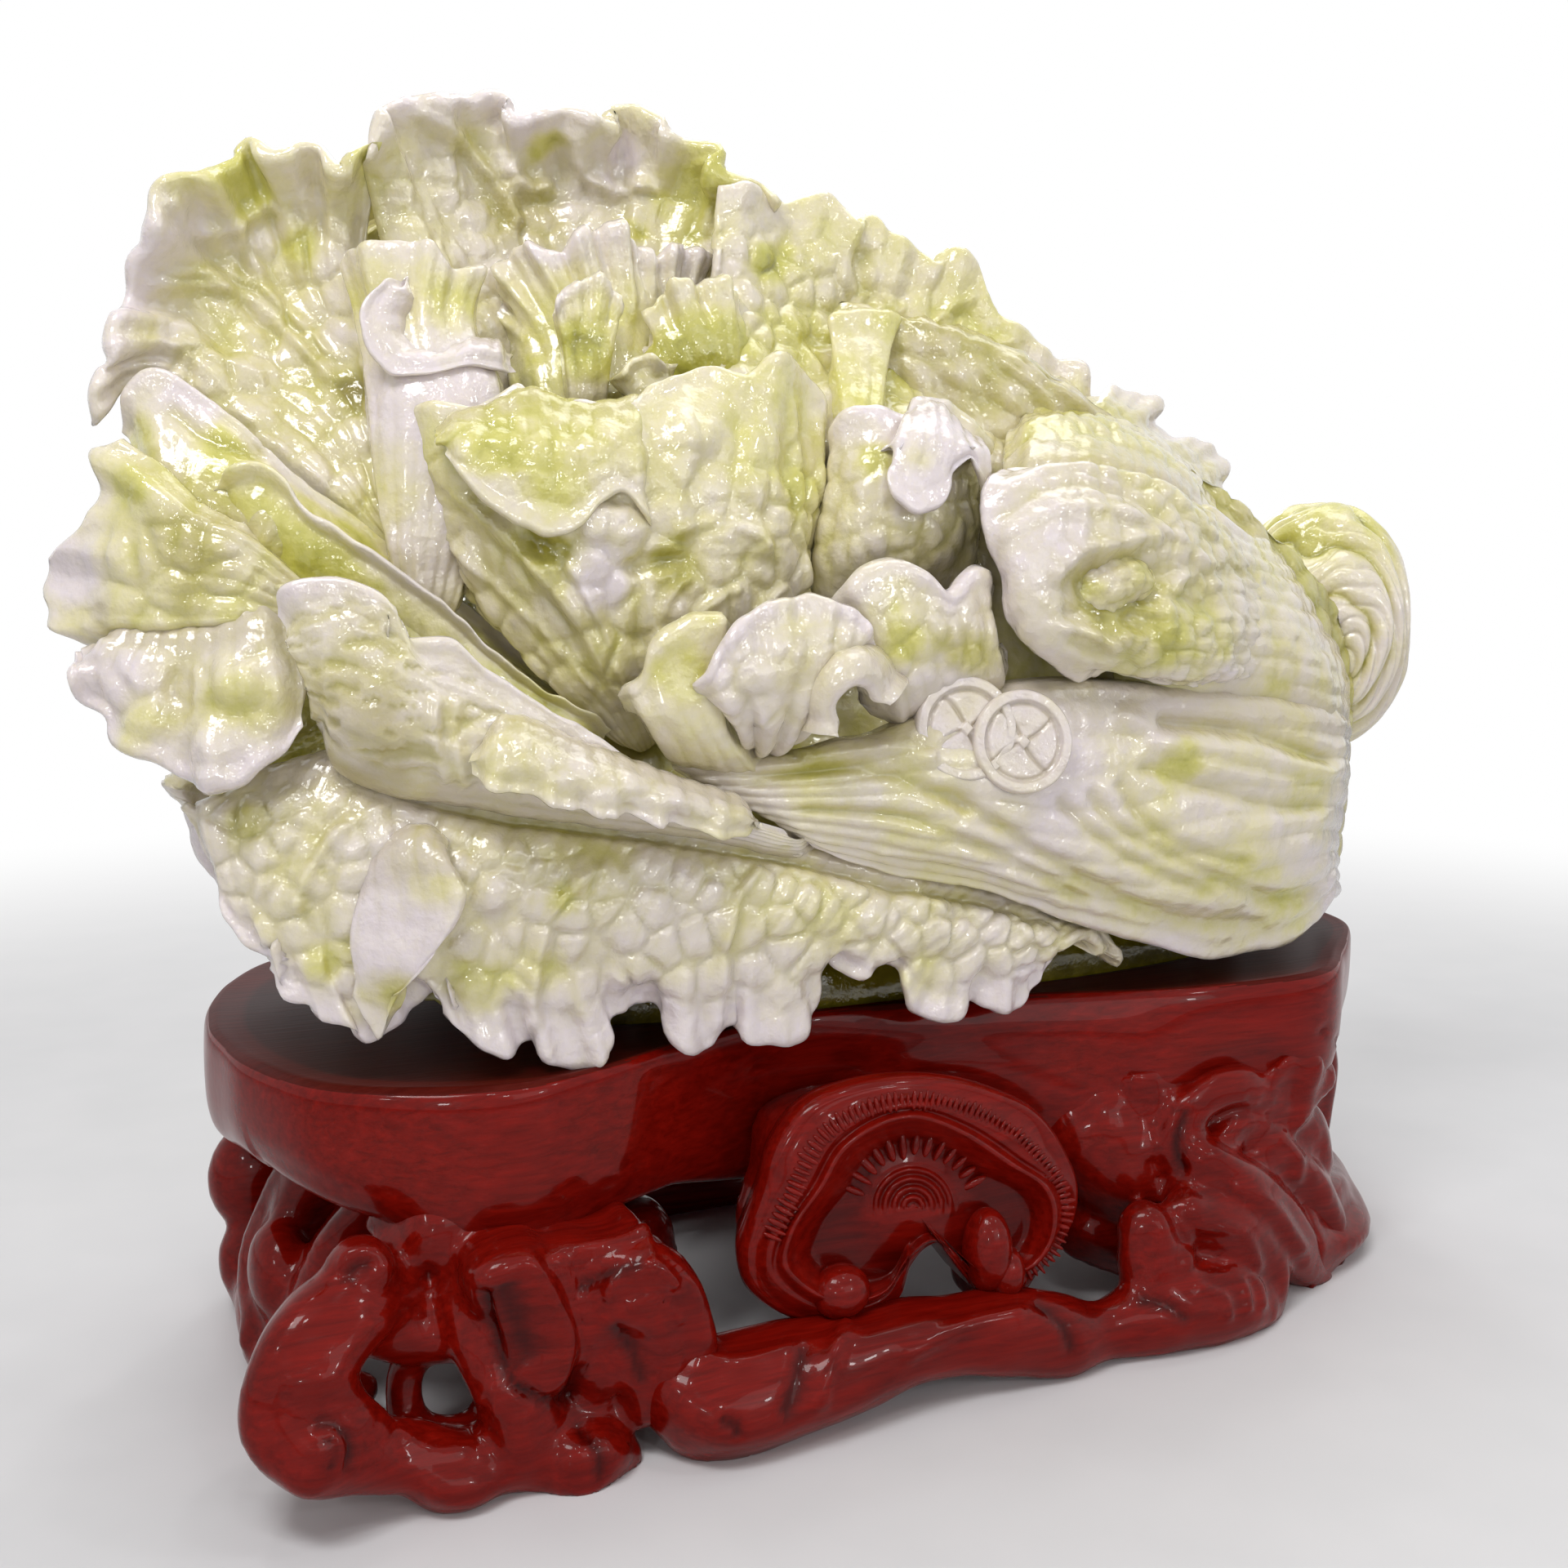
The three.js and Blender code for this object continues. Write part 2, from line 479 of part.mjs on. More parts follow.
    [[890, 350, 14], [980, 370, 2], [1060, 410, 0], [1150, 450, 2], [1260, 500, 4], [1340, 520, 10]],
    [[892, 225, 22], [928, 233, 16], [950, 249, 12], [1010, 247, 6], [1030, 260, 8], [1052, 285, 12],
      [1067, 269, 8], [1087, 292, 8], [1120, 305, 10], [1150, 325, 12], [1162, 312, 8],
      [1195, 325, 10], [1212, 370, 14], [1230, 402, 14], [1255, 415, 14], [1280, 435, 16],
      [1317, 445, 16], [1342, 487, 20]],
  ],
  upper_stalk: [
    [[1395, 852, -2], [1470, 856, 0], [1560, 866, 0], [1640, 880, -2], [1655, 884, -30]],
    [[1400, 800, 0], [1480, 800, 4], [1550, 800, 4], [1620, 810, 0], [1650, 815, -30]],
    [[1420, 700, 0], [1480, 690, 2], [1540, 700, 0], [1580, 710, -10], [1600, 715, -34]],
    [[1440, 620, -4], [1480, 620, 0], [1520, 650, -4], [1550, 660, -16], [1560, 665, -36]],
  ],
  front_stalk: [
    [[850, 940, -4], [1000, 930, 0], [1120, 895, 2], [1250, 850, 2], [1400, 850, 2], [1540, 862, 2],
      [1640, 880, 0], [1652, 885, -34]],
    [[900, 975, -2], [1010, 970, 2], [1150, 955, 6], [1300, 965, 8], [1450, 955, 8], [1560, 965, 8],
      [1640, 955, 2], [1648, 955, -34]],
    [[950, 1010, -2], [1060, 1020, 2], [1200, 1040, 6], [1350, 1060, 10], [1500, 1060, 12],
      [1600, 1040, 10], [1630, 1035, 4], [1638, 1035, -34]],
    [[1003, 1044, -4], [1105, 1070, -2], [1202, 1085, 0], [1301, 1122, 2], [1372, 1143, 4],
      [1443, 1162, 4], [1486, 1170, 4], [1533, 1160, 4], [1585, 1146, 4], [1622, 1116, 2],
      [1635, 1095, 0], [1640, 1095, -34]],
  ],
};

const LEAF_FORMS = [
  { name: "front_centre_curl", layers: 0.8, columns: 15, steps: 3, wall: CURL_THICKNESS,
    finish: STONE_GREEN },
  { name: "small_curl", layers: 1, columns: 8, steps: 4, wall: CURL_THICKNESS, finish: STONE_LILAC },
  { name: "leaf_f", layers: 1, columns: 10, steps: 3, wall: LEAF_THICKNESS, finish: STONE_PALE },
  { name: "leaf_e", layers: 1, columns: 7, steps: 3, wall: STALK_THICKNESS, finish: STONE_PALE },
  { name: "leaf_g", layers: 1, columns: 10, steps: 4, wall: STALK_THICKNESS, finish: STONE_PALE },
  { name: "rolled_leaf_ruffle", layers: 1, columns: 12, steps: 3, wall: CURL_THICKNESS,
    finish: STONE_GREEN },
  { name: "rolled_leaf", layers: 1, columns: 18, steps: 5, wall: LEAF_THICKNESS, finish: STONE_PALE },
  { name: "left_hem_leaf", layers: 1, columns: 12, steps: 4, wall: LEAF_THICKNESS, finish: STONE_GREEN },
  { name: "left_wing_leaf", layers: 0.95, columns: 12, steps: 5, wall: LEAF_THICKNESS,
    finish: STONE_GREEN },
  { name: "left_leaf_lip", layers: 0.85, columns: 14, steps: 2, wall: CURL_THICKNESS,
    finish: STONE_GREEN },
  { name: "hem_fold", layers: 1, columns: 6, steps: 4, wall: CURL_THICKNESS, finish: STONE_LILAC },
  { name: "front_lower_leaf", layers: 1, columns: 42, steps: 4, wall: LEAF_THICKNESS,
    finish: STONE_PALE },
  { name: "leaf_roll", layers: 1, columns: 8, steps: 6, wall: LEAF_THICKNESS, finish: STONE_PALE },
  { name: "right_centre_curl", layers: 0.85, columns: 12, steps: 4, wall: CURL_THICKNESS,
    finish: STONE_LILAC },
  { name: "right_centre_leaf", layers: 0.82, columns: 10, steps: 4, wall: STALK_THICKNESS,
    finish: STONE_PALE },
  { name: "front_centre_leaf", layers: 0.8, columns: 15, steps: 5, wall: LEAF_THICKNESS,
    finish: STONE_PALE },
  { name: "heart_left_curl", layers: 0.5, columns: 12, steps: 3, wall: CURL_THICKNESS,
    finish: STONE_LILAC },
  { name: "heart_left", layers: [0.7, 0.6, 0.5, 0.5], columns: 8, steps: 4, wall: SMALL_LEAF_THICKNESS,
    finish: STONE_GREEN },
  { name: "heart_b", layers: 0.5, columns: 6, steps: 4, wall: HEART_THICKNESS, finish: STONE_GREEN },
  { name: "heart_d", layers: 0.58, columns: 5, steps: 2, wall: HEART_THICKNESS, finish: STONE_GREEN },
  { name: "heart_c", layers: 0.45, columns: 8, steps: 4, wall: HEART_THICKNESS, finish: STONE_GREEN },
  { name: "inner_right_leaf", layers: [0.7, 0.5, 0.4], columns: 7, steps: 4, wall: HEART_THICKNESS,
    finish: STONE_GREEN },
  { name: "heart_a", layers: [0.4, 0.3, 0.3], columns: 14, steps: 4, wall: HEART_THICKNESS,
    finish: STONE_GREEN },
  { name: "right_ridge_leaf", layers: [0.9, 0.6, 0.3], columns: 12, steps: 4, wall: LEAF_THICKNESS,
    finish: STONE_PALE },
  { name: "left_valley_leaf", layers: [0.8, 0.7, 0.6], columns: 11, steps: 3, wall: LEAF_THICKNESS,
    finish: STONE_GREEN },
  { name: "back_left_leaf", layers: [0.5, 0.3, 0, -0.1, 0], columns: 15, steps: 5, wall: LEAF_THICKNESS,
    finish: STONE_PALE },
  { name: "back_top_leaf", layers: [0.1, -0.1, -0.3, -0.3], columns: 15, steps: 3, wall: LEAF_THICKNESS,
    finish: STONE_GREEN },
  { name: "back_right_leaf", layers: [0.6, 0.2, -0.1], columns: 15, steps: 3, wall: LEAF_THICKNESS,
    finish: STONE_PALE },
  { name: "upper_stalk", layers: 1, columns: 7, steps: 4, wall: STALK_THICKNESS, finish: STONE_PALE },
  { name: "front_stalk", layers: 1, columns: 10, steps: 5, wall: STALK_THICKNESS, finish: STONE_LILAC },
];

// The back is carved like the front. Its leaves take the picks of front leaves, turned about
// the middle plane of the lump, with plainer edges.
const BACK_LEAF_PIXELS = {
  back_rolled_leaf: [
    [[260, 930, -2], [420, 960, -2], [598, 985, -2], [790, 1010, -2], [1003, 1045, -3]],
    [[170, 850, 6], [350, 840, 10], [560, 880, 10], [800, 950, 6], [1010, 1010, 0]],
    [[150, 740, 8], [330, 720, 13], [560, 770, 12], [800, 860, 8], [1030, 950, 2]],
    [[95, 700, 6], [140, 640, 8], [230, 610, 10], [330, 640, 12], [440, 650, 10], [560, 700, 10],
      [700, 750, 8], [850, 830, 6], [1050, 900, 2]],
  ],
  back_middle_leaf: [
    [[270, 660, -4], [520, 720, -4], [740, 790, -4], [1000, 880, -4]],
    [[215, 560, 2], [460, 590, 6], [720, 620, 8], [1030, 760, 4]],
    [[190, 460, 2], [420, 450, 6], [700, 450, 8], [1060, 600, 4]],
    [[175, 400, 0], [230, 360, 2], [330, 350, 4], [450, 320, 6], [560, 330, 4], [680, 300, 6],
      [800, 330, 4], [900, 380, 6], [1000, 420, 4], [1080, 470, 2], [1150, 520, 0]],
  ],
  back_crown_leaf: [
    [[200, 480, -8], [420, 420, -8], [680, 400, -8], [900, 470, -8], [1080, 560, -8]],
    [[190, 360, 0], [420, 320, 2], [680, 300, 2], [920, 350, 2], [1120, 470, 0]],
    [[190, 260, 2], [300, 215, 2], [410, 225, 2], [480, 165, 2], [600, 150, 2], [700, 165, 2],
      [810, 180, 2], [900, 240, 2], [1000, 275, 2], [1100, 330, 2], [1200, 400, 2], [1290, 470, 2]],
  ],
  back_ridge_leaf: [
    [[1050, 900, -2], [1240, 860, 0], [1400, 850, 0], [1545, 850, -2]],
    [[1050, 780, 4], [1240, 760, 8], [1400, 740, 10], [1550, 740, 0]],
    [[1070, 660, 4], [1240, 650, 8], [1390, 640, 8], [1530, 660, -2]],
    [[1110, 580, 0], [1180, 560, 2], [1250, 570, 4], [1330, 560, 4], [1400, 590, 2], [1490, 640, -2]],
  ],
  back_lower_leaf: [
    [[262, 957, -6], [454, 962, -6], [598, 989, -6], [790, 1013, -6], [1003, 1050, -6],
      [1202, 1092, -6], [1368, 1144, -4]],
    [[232, 1010, 1], [440, 1060, 3], [600, 1080, 3], [790, 1095, 3], [950, 1110, 3],
      [1120, 1130, 2], [1345, 1150, 0]],
    [[262, 1090, 2], [310, 1165, 4], [380, 1225, 6], [430, 1235, 2], [500, 1240, 6], [560, 1262, 8],
      [610, 1240, 2], [680, 1262, 8], [760, 1262, 8], [810, 1225, 2], [870, 1240, 8],
      [950, 1235, 8], [1000, 1190, 2], [1060, 1200, 6], [1150, 1212, 6], [1200, 1180, 2],
      [1268, 1189, 2], [1310, 1172, 0]],
  ],
};

const BACK_LEAF_FORMS = [
  { name: "back_rolled_leaf", layers: 1, columns: 12, steps: 4, wall: STALK_THICKNESS,
    finish: STONE_PALE },
  { name: "back_lower_leaf", layers: 1, columns: 22, steps: 3, wall: STALK_THICKNESS,
    finish: STONE_PALE },
  { name: "back_ridge_leaf", layers: 1, columns: 9, steps: 4, wall: STALK_THICKNESS,
    finish: STONE_PALE },
  { name: "back_middle_leaf", layers: 0.95, columns: 12, steps: 4, wall: STALK_THICKNESS,
    finish: STONE_PALE },
  { name: "back_crown_leaf", layers: [0.8, 0.8, 0.5], columns: 12, steps: 3, wall: STALK_THICKNESS,
    finish: STONE_GREEN },
  { name: "back_stalk", pixels: "front_stalk", layers: 1, columns: 10, steps: 4, wall: STALK_THICKNESS,
    finish: STONE_LILAC },
];

function leafOf(form) {
  const rows = LEAF_PIXELS[form.pixels ?? form.name] ?? BACK_LEAF_PIXELS[form.name];
  return { ...form, rows };
}

// Each solid that is added keeps its own form and is cut out of those that come after it.
class Assembly {
  constructor() {
    this.group = new THREE.Group();
    this.cutters = [];
  }

  add(name, solid, cutter, finish) {
    const body = largestBody(this.cutters.reduce((rest, taken) => rest.subtract(taken), solid));
    this.cutters.push(cutter.add(solid));
    const mesh = new THREE.Mesh(toGeometry(body), new THREE.MeshStandardMaterial(finish));
    mesh.name = name;
    this.group.add(mesh);
  }

  addLeaf(form, behind = false) {
    const leaf = { ...leafOf(form), behind };
    this.add(form.name, sheetSolid(leaf), sheetSolid(leaf, GAP), form.finish);
  }
}

// Rings of points joined into one closed skin, each end closed by a fan.
function loftSolid(rings) {
  const sides = rings[0].length;
  const points = rings.flat();
  const triangles = [];
  for (let i = 0; i + 1 < rings.length; i++) {
    for (let j = 0; j < sides; j++) {
      const a = i * sides + j;
      const b = i * sides + ((j + 1) % sides);
      triangles.push([a, b, b + sides], [a, b + sides, a + sides]);
    }
  }
  const capStart = points.length;
  points.push(middleOf(rings[0]), middleOf(rings[rings.length - 1]));
  const last = (rings.length - 1) * sides;
  for (let j = 0; j < sides; j++) {
    const next = (j + 1) % sides;
    triangles.push([capStart, next, j], [capStart + 1, last + j, last + next]);
  }
  const solid = toSolid(surfaceGeometry(points, triangles));
  if (solid.volume() > 0) return solid;
  return toSolid(surfaceGeometry(points, triangles.map(([a, b, c]) => [a, c, b])));
}

function middleOf(ring) {
  const sum = ring.reduce((total, point) => total.add(point), new THREE.Vector3());
  return sum.divideScalar(ring.length);
}

// Stone core: the block inside the leaves, with the foot that stands in the slab's seat

const CORE_STATION_SHARES = [-198, -182, -150, -110, -65, -15, 35, 80, 125, 170, 200, 218];
const CORE_HALF_LENGTH_SHARE = 214;
const CORE_END_POWER = 5;
const CORE_LEVEL_SHARES = [0, 0.14, 0.4, 0.7, 0.88, 1];
const CORE_TUCK_SHARE = 0.6;
const CORE_TUCK_RISE_SHARE = 0.2;
const CORE_BASE_SHARE = 4;
const CORE_CROWN_SHARE = 26;

// How much of the lump's half depth the core fills along its length: at the front low down,
// at the front high up, where the leaves open and their inner faces show, and at the back.
const CORE_LOW_SHARES = [[-190, 0.8], [-60, 0.84], [240, 0.86]];
const CORE_HIGH_SHARES = [[-190, -0.3], [-80, -0.3], [-20, 0], [30, 0.4], [80, 0.6], [240, 0.86]];
const CORE_BACK_SHARE = 0.88;
const CORE_OPEN_FROM_SHARE = 0.1;
const CORE_OPEN_TO_SHARE = 0.8;

function coreRing(x) {
  const along = Math.abs(x - LUMP_SHARES.x) / CORE_HALF_LENGTH_SHARE;
  const round = Math.sqrt(1 - Math.pow(along, CORE_END_POWER));
  const full = lineValue(TOP_LINE_SHARES, x) - CORE_CROWN_SHARE;
  const middle = (full + CORE_BASE_SHARE) / 2;
  const base = THREE.MathUtils.lerp(middle, CORE_BASE_SHARE, round);
  const top = THREE.MathUtils.lerp(middle, full, round);
  const front = [];
  const back = [];
  for (const level of CORE_LEVEL_SHARES) {
    const z = THREE.MathUtils.lerp(base, top, level);
    const open = THREE.MathUtils.smoothstep(level, CORE_OPEN_FROM_SHARE, CORE_OPEN_TO_SHARE);
    const low = lineValue(CORE_LOW_SHARES, x);
    const high = lineValue(CORE_HIGH_SHARES, x);
    const fill = THREE.MathUtils.lerp(low, high, open);
    const risen = THREE.MathUtils.smoothstep(level, 0, CORE_TUCK_RISE_SHARE);
    const tuck = THREE.MathUtils.lerp(CORE_TUCK_SHARE, 1, risen);
    const depth = lumpDepth(x, z) * tuck * round;
    front.push(corePoint(x, LUMP_SHARES.y - fill * depth, z));
    back.unshift(corePoint(x, LUMP_SHARES.y + CORE_BACK_SHARE * depth, z));
  }
  return [...front, ...back];
}

function corePoint(x, y, z) {
  return new THREE.Vector3(x * PART_X, y * PART_Y, SLAB_TOP + z * PART_Z);
}

const FOOT_CENTRE_SHARE = 25;
const FOOT_POWER = 2.6;
const FOOT_POINTS = 24;

function footOutline(grow) {
  const shape = new THREE.Shape();
  const halfLength = FOOT_LENGTH / 2 + grow;
  const halfDepth = FOOT_DEPTH / 2 + grow;
  for (let i = 0; i < FOOT_POINTS; i++) {
    const angle = (2 * Math.PI * i) / FOOT_POINTS;
    const cos = Math.cos(angle);
    const sin = Math.sin(angle);
    const x = halfLength * Math.sign(cos) * Math.pow(Math.abs(cos), 2 / FOOT_POWER);
    const y = halfDepth * Math.sign(sin) * Math.pow(Math.abs(sin), 2 / FOOT_POWER);
    if (i === 0) shape.moveTo(x, y);
    else shape.lineTo(x, y);
  }
  return shape;
}

function footSolid(grow, bottom, height) {
  const geometry = new THREE.ExtrudeGeometry(footOutline(grow), { depth: height, bevelEnabled: false });
  geometry.translate(FOOT_CENTRE_SHARE * PART_X, LUMP_SHARES.y * PART_Y, bottom);
  return toSolid(geometry);
}

function coreSolid() {
  const lump = loftSolid(CORE_STATION_SHARES.map(coreRing));
  return lump.add(footSolid(0, SLAB_TOP - SEAT_DEPTH + GAP, FOOT_RISE));
}

// Coins, bud and knot that are carved on the stalk end

const COIN_PIXELS = { coin_front: [1245, 913, 9], coin_back: [1183, 897, 5] };
const COIN_FACING_SHARES = new THREE.Vector3(-0.16, -0.97, 0.18);
const ROUND_SIDES = 16;

function coinSolid(pick, grow) {
  const radius = COIN_RADIUS + grow;
  const half = COIN_THICKNESS / 2 + grow;
  const inner = COIN_RADIUS - COIN_RIM_WIDTH;
  const outline = [
    new THREE.Vector2(0, -half),
    new THREE.Vector2(radius, -half),
    new THREE.Vector2(radius, half + COIN_RIM_RISE),
  ];
  if (grow === 0) {
    outline.push(new THREE.Vector2(inner, half + COIN_RIM_RISE));
    outline.push(new THREE.Vector2(inner, half));
  }
  outline.push(new THREE.Vector2(0, half + (grow === 0 ? 0 : COIN_RIM_RISE)));
  let solid = toSolid(new THREE.LatheGeometry(outline, ROUND_SIDES));
  if (solid.volume() < 0) solid = toSolid(new THREE.LatheGeometry(outline.reverse(), ROUND_SIDES));
  if (grow === 0) {
    const hole = new THREE.BoxGeometry(COIN_HOLE, COIN_RIM_RISE * 2, COIN_HOLE);
    hole.translate(0, half, 0);
    solid = solid.subtract(toSolid(hole));
  }
  return placed(solid, pickPoint(pick, 1), COIN_FACING_SHARES);
}

// A solid made about +Y is turned to face a direction and moved to a place.
function placed(solid, place, facing) {
  const spin = new THREE.Quaternion();
  spin.setFromUnitVectors(new THREE.Vector3(0, 1, 0), facing.clone().normalize());
  const matrix = new THREE.Matrix4().compose(place, spin, new THREE.Vector3(1, 1, 1));
  return solid.transform(matrix.elements);
}

function eggSolid(centre, halfX, halfY, halfZ, sides) {
  const geometry = new THREE.SphereGeometry(1, sides, Math.round(sides / 2));
  geometry.scale(halfX, halfY, halfZ);
  geometry.translate(centre.x, centre.y, centre.z);
  return toSolid(geometry);
}

const BUD_PIXELS = [1350, 715, 17];
const BUD_SIDES = 14;
const KNOT_PIXELS = [1612, 768];
const KNOT_SIDES = 26;
const KNOT_ROUNDS = 40;
const KNOT_HUB_SHARES = new THREE.Vector3(-0.52, -0.84, -0.16);
const KNOT_RING_SHARE = 9;
const KNOT_ARMS = 2;
const KNOT_TOP_SPREAD_SHARE = 0.3;

function budSolid(grow) {
  const centre = pickPoint(BUD_PIXELS, 1);
  const thick = BUD_WIDTH / 2 + grow;
  return eggSolid(centre, BUD_LENGTH / 2 + grow, thick, thick, BUD_SIDES);
}

// The root knot is a ball wound with thick strands. They stand out as ridges that swirl round
// a hub, which faces forward and to the left, and are widest at the top.
function knotSolid(grow) {
  const centre = pickPoint(KNOT_PIXELS, 0);
  const geometry = new THREE.SphereGeometry(1, KNOT_SIDES, KNOT_ROUNDS);
  const spin = new THREE.Quaternion();
  spin.setFromUnitVectors(new THREE.Vector3(0, 1, 0), KNOT_HUB_SHARES.clone().normalize());
  const place = geometry.attributes.position;
  const point = new THREE.Vector3();
  for (let i = 0; i < place.count; i++) {
    point.fromBufferAttribute(place, i);
    const fall = Math.acos(THREE.MathUtils.clamp(point.y, -1, 1)) / Math.PI;
    const turn = Math.atan2(point.z, point.x) / (2 * Math.PI);
    const across = Math.min(1, 3 * Math.hypot(point.x, point.z));
    point.applyQuaternion(spin);
    const rings = KNOT_RING_SHARE * fall * (1 - KNOT_TOP_SPREAD_SHARE * point.z);
    const ridge = across * Math.abs(Math.sin(Math.PI * (rings + KNOT_ARMS * turn)));
    const sunk = grow - KNOT_STRAND_RISE * (1 - ridge);
    place.setXYZ(
      i,
      centre.x + point.x * (KNOT_LENGTH / 2 + sunk),
      centre.y + point.y * (KNOT_DEPTH / 2 + sunk),
      centre.z + point.z * (KNOT_HEIGHT / 2 + sunk),
    );
  }
  return toSolid(geometry);
}

// Stand: slab, roots and fungus boss, in shares of half the stand's length and depth

const STAND_CENTRE_SHARES = { x: 13, y: 18 };
const SLAB_OUTLINE_SHARES = [
  [-1, 0.12], [-0.995, -0.14], [-0.97, -0.42], [-0.9, -0.75], [-0.81, -0.9], [-0.66, -1],
  [-0.54, -0.93], [-0.39, -0.77], [-0.17, -0.63], [0, -0.68], [0.18, -0.74], [0.43, -0.9],
  [0.68, -0.91], [0.83, -0.63], [0.97, -0.29], [1, -0.07], [0.985, 0.29], [0.83, 0.65],
  [0.54, 0.89], [0.17, 0.93], [-0.24, 0.87], [-0.56, 0.98], [-0.82, 1], [-0.95, 0.66],
];
const SLAB_POINTS = 32;

// Each ring of the slab: its height from the underside and its inset, as shares of the slab's
// thickness.
const SLAB_RING_SHARES = [
  [0, 0.75], [0.15, 0.4], [0.45, 0.08], [0.8, 0], [0.94, 0.02], [1, 0.09],
];

function slabSolid() {
  const outline = new THREE.CatmullRomCurve3(
    SLAB_OUTLINE_SHARES.map(([x, y]) => new THREE.Vector3(x, y, 0)), true, "centripetal",
  ).getSpacedPoints(SLAB_POINTS).slice(0, SLAB_POINTS);
  const rings = SLAB_RING_SHARES.map(([rise, inset]) =>
    outline.map((point) => {
      const length = STAND_LENGTH / 2 - inset * SLAB_THICKNESS;
      const depth = STAND_DEPTH / 2 - inset * SLAB_THICKNESS;
      return standPoint([point.x, point.y, 0], length, depth).setZ(SLAB_BOTTOM + rise * SLAB_THICKNESS);
    }),
  );
  const seat = footSolid(SEAT_CLEARANCE, SLAB_TOP - SEAT_DEPTH, SEAT_DEPTH + CUT_OVERRUN);
  return loftSolid(rings).subtract(seat);
}

function standPoint([x, y, z], length = STAND_LENGTH / 2, depth = STAND_DEPTH / 2) {
  return new THREE.Vector3(
    STAND_CENTRE_SHARES.x * PART_X + x * length,
    STAND_CENTRE_SHARES.y * PART_Y + y * depth,
    z * SLAB_BOTTOM,
  );
}

// Roots: a thick tube through [x, y, height, thickness], all as shares, the height of the
// space under the slab and the thickness of the root radius.
const ROOT_SHARES = {
  left_front_foot: [
    [-0.7, -0.72, 1.1, 1.5], [-0.77, -0.84, 0.75, 1.45], [-0.86, -0.88, 0.5, 1.2],
    [-0.87, -0.9, 0.32, 1], [-0.81, -0.94, 0.19, 0.95], [-0.74, -0.97, 0.17, 1],
    [-0.64, -0.97, 0.17, 1.05], [-0.55, -0.94, 0.19, 1.1],
  ],
  left_front_tongue: [
    [-0.66, -0.7, 1.08, 1.3], [-0.6, -0.86, 0.82, 1.35], [-0.57, -0.92, 0.6, 1.3],
    [-0.58, -0.95, 0.42, 1.15], [-0.63, -0.96, 0.28, 0.8],
  ],
  front_strut: [
    [-0.46, -0.6, 1.08, 1.2], [-0.46, -0.85, 0.75, 1.05], [-0.47, -0.95, 0.5, 1],
    [-0.46, -0.97, 0.2, 1.1],
  ],
  front_rail: [
    [-0.5, -0.96, 0.17, 1.05], [-0.28, -0.98, 0.15, 0.9], [-0.04, -0.95, 0.18, 0.95],
    [0.2, -0.98, 0.15, 0.9], [0.42, -0.99, 0.18, 1.05], [0.56, -0.96, 0.18, 1],
  ],
  fungus_stem: [
    [-0.16, -0.6, 1.05, 1.3], [-0.15, -0.8, 0.7, 1.2], [-0.16, -0.92, 0.45, 1],
    [-0.14, -0.965, 0.25, 0.75],
  ],
  fungus_side_root: [
    [0.2, -0.66, 1.08, 1.1], [0.2, -0.86, 0.75, 1], [0.14, -0.95, 0.45, 0.95], [0.1, -0.97, 0.2, 0.9],
  ],
  right_strut: [
    [0.36, -0.7, 1.08, 1.4], [0.37, -0.88, 0.72, 1.2], [0.36, -0.96, 0.45, 1.05],
    [0.34, -0.98, 0.2, 0.95],
  ],
  right_front_foot: [
    [0.62, -0.7, 1.1, 1.5], [0.68, -0.84, 0.75, 1.4], [0.72, -0.9, 0.48, 1.25],
    [0.68, -0.94, 0.26, 1.15], [0.6, -0.95, 0.17, 1.05],
  ],
  left_rear_foot: [
    [-0.78, 0.45, 1.1, 1.5], [-0.88, 0.6, 0.75, 1.3], [-0.92, 0.62, 0.42, 1.2], [-0.9, 0.58, 0.17, 1.1],
  ],
  left_side_rail: [
    [-0.93, -0.8, 0.2, 1], [-0.95, -0.4, 0.15, 0.9], [-0.94, 0, 0.15, 0.9], [-0.93, 0.5, 0.17, 1],
  ],
  left_side_root: [
    [-0.8, 0, 1.08, 1.3], [-0.92, -0.02, 0.7, 1.1], [-0.95, -0.1, 0.4, 1], [-0.95, -0.12, 0.18, 0.9],
  ],
  right_rear_foot: [
    [0.72, 0.5, 1.1, 1.5], [0.84, 0.64, 0.7, 1.3], [0.86, 0.68, 0.38, 1.2], [0.82, 0.66, 0.17, 1.1],
  ],
  right_side_rail: [
    [0.64, -0.9, 0.17, 1], [0.82, -0.6, 0.16, 0.95], [0.92, -0.05, 0.15, 0.95], [0.84, 0.62, 0.17, 1],
  ],
  right_side_root: [
    [0.78, -0.1, 1.08, 1.4], [0.9, -0.14, 0.7, 1.2], [0.92, -0.1, 0.4, 1], [0.91, -0.06, 0.18, 0.9],
  ],
  back_rail: [
    [-0.9, 0.66, 0.17, 1], [-0.62, 0.88, 0.15, 0.95], [-0.2, 0.84, 0.16, 1], [0.3, 0.88, 0.15, 0.95],
    [0.6, 0.86, 0.16, 1], [0.82, 0.68, 0.17, 1],
  ],
  back_left_root: [
    [-0.4, 0.55, 1.08, 1.4], [-0.42, 0.78, 0.7, 1.15], [-0.38, 0.84, 0.4, 1], [-0.36, 0.84, 0.18, 0.95],
  ],
  back_right_root: [
    [0.3, 0.6, 1.08, 1.4], [0.34, 0.8, 0.7, 1.15], [0.3, 0.86, 0.4, 1], [0.28, 0.87, 0.18, 0.95],
  ],
};
const ROOT_SIDES = 7;
const ROOT_STEPS_PER_SHARE = 2;
const KNOB_WIDTH_SHARE = 0.9;
const KNOB_DEPTH_SHARE = 0.7;
const KNOB_SIDES = 7;

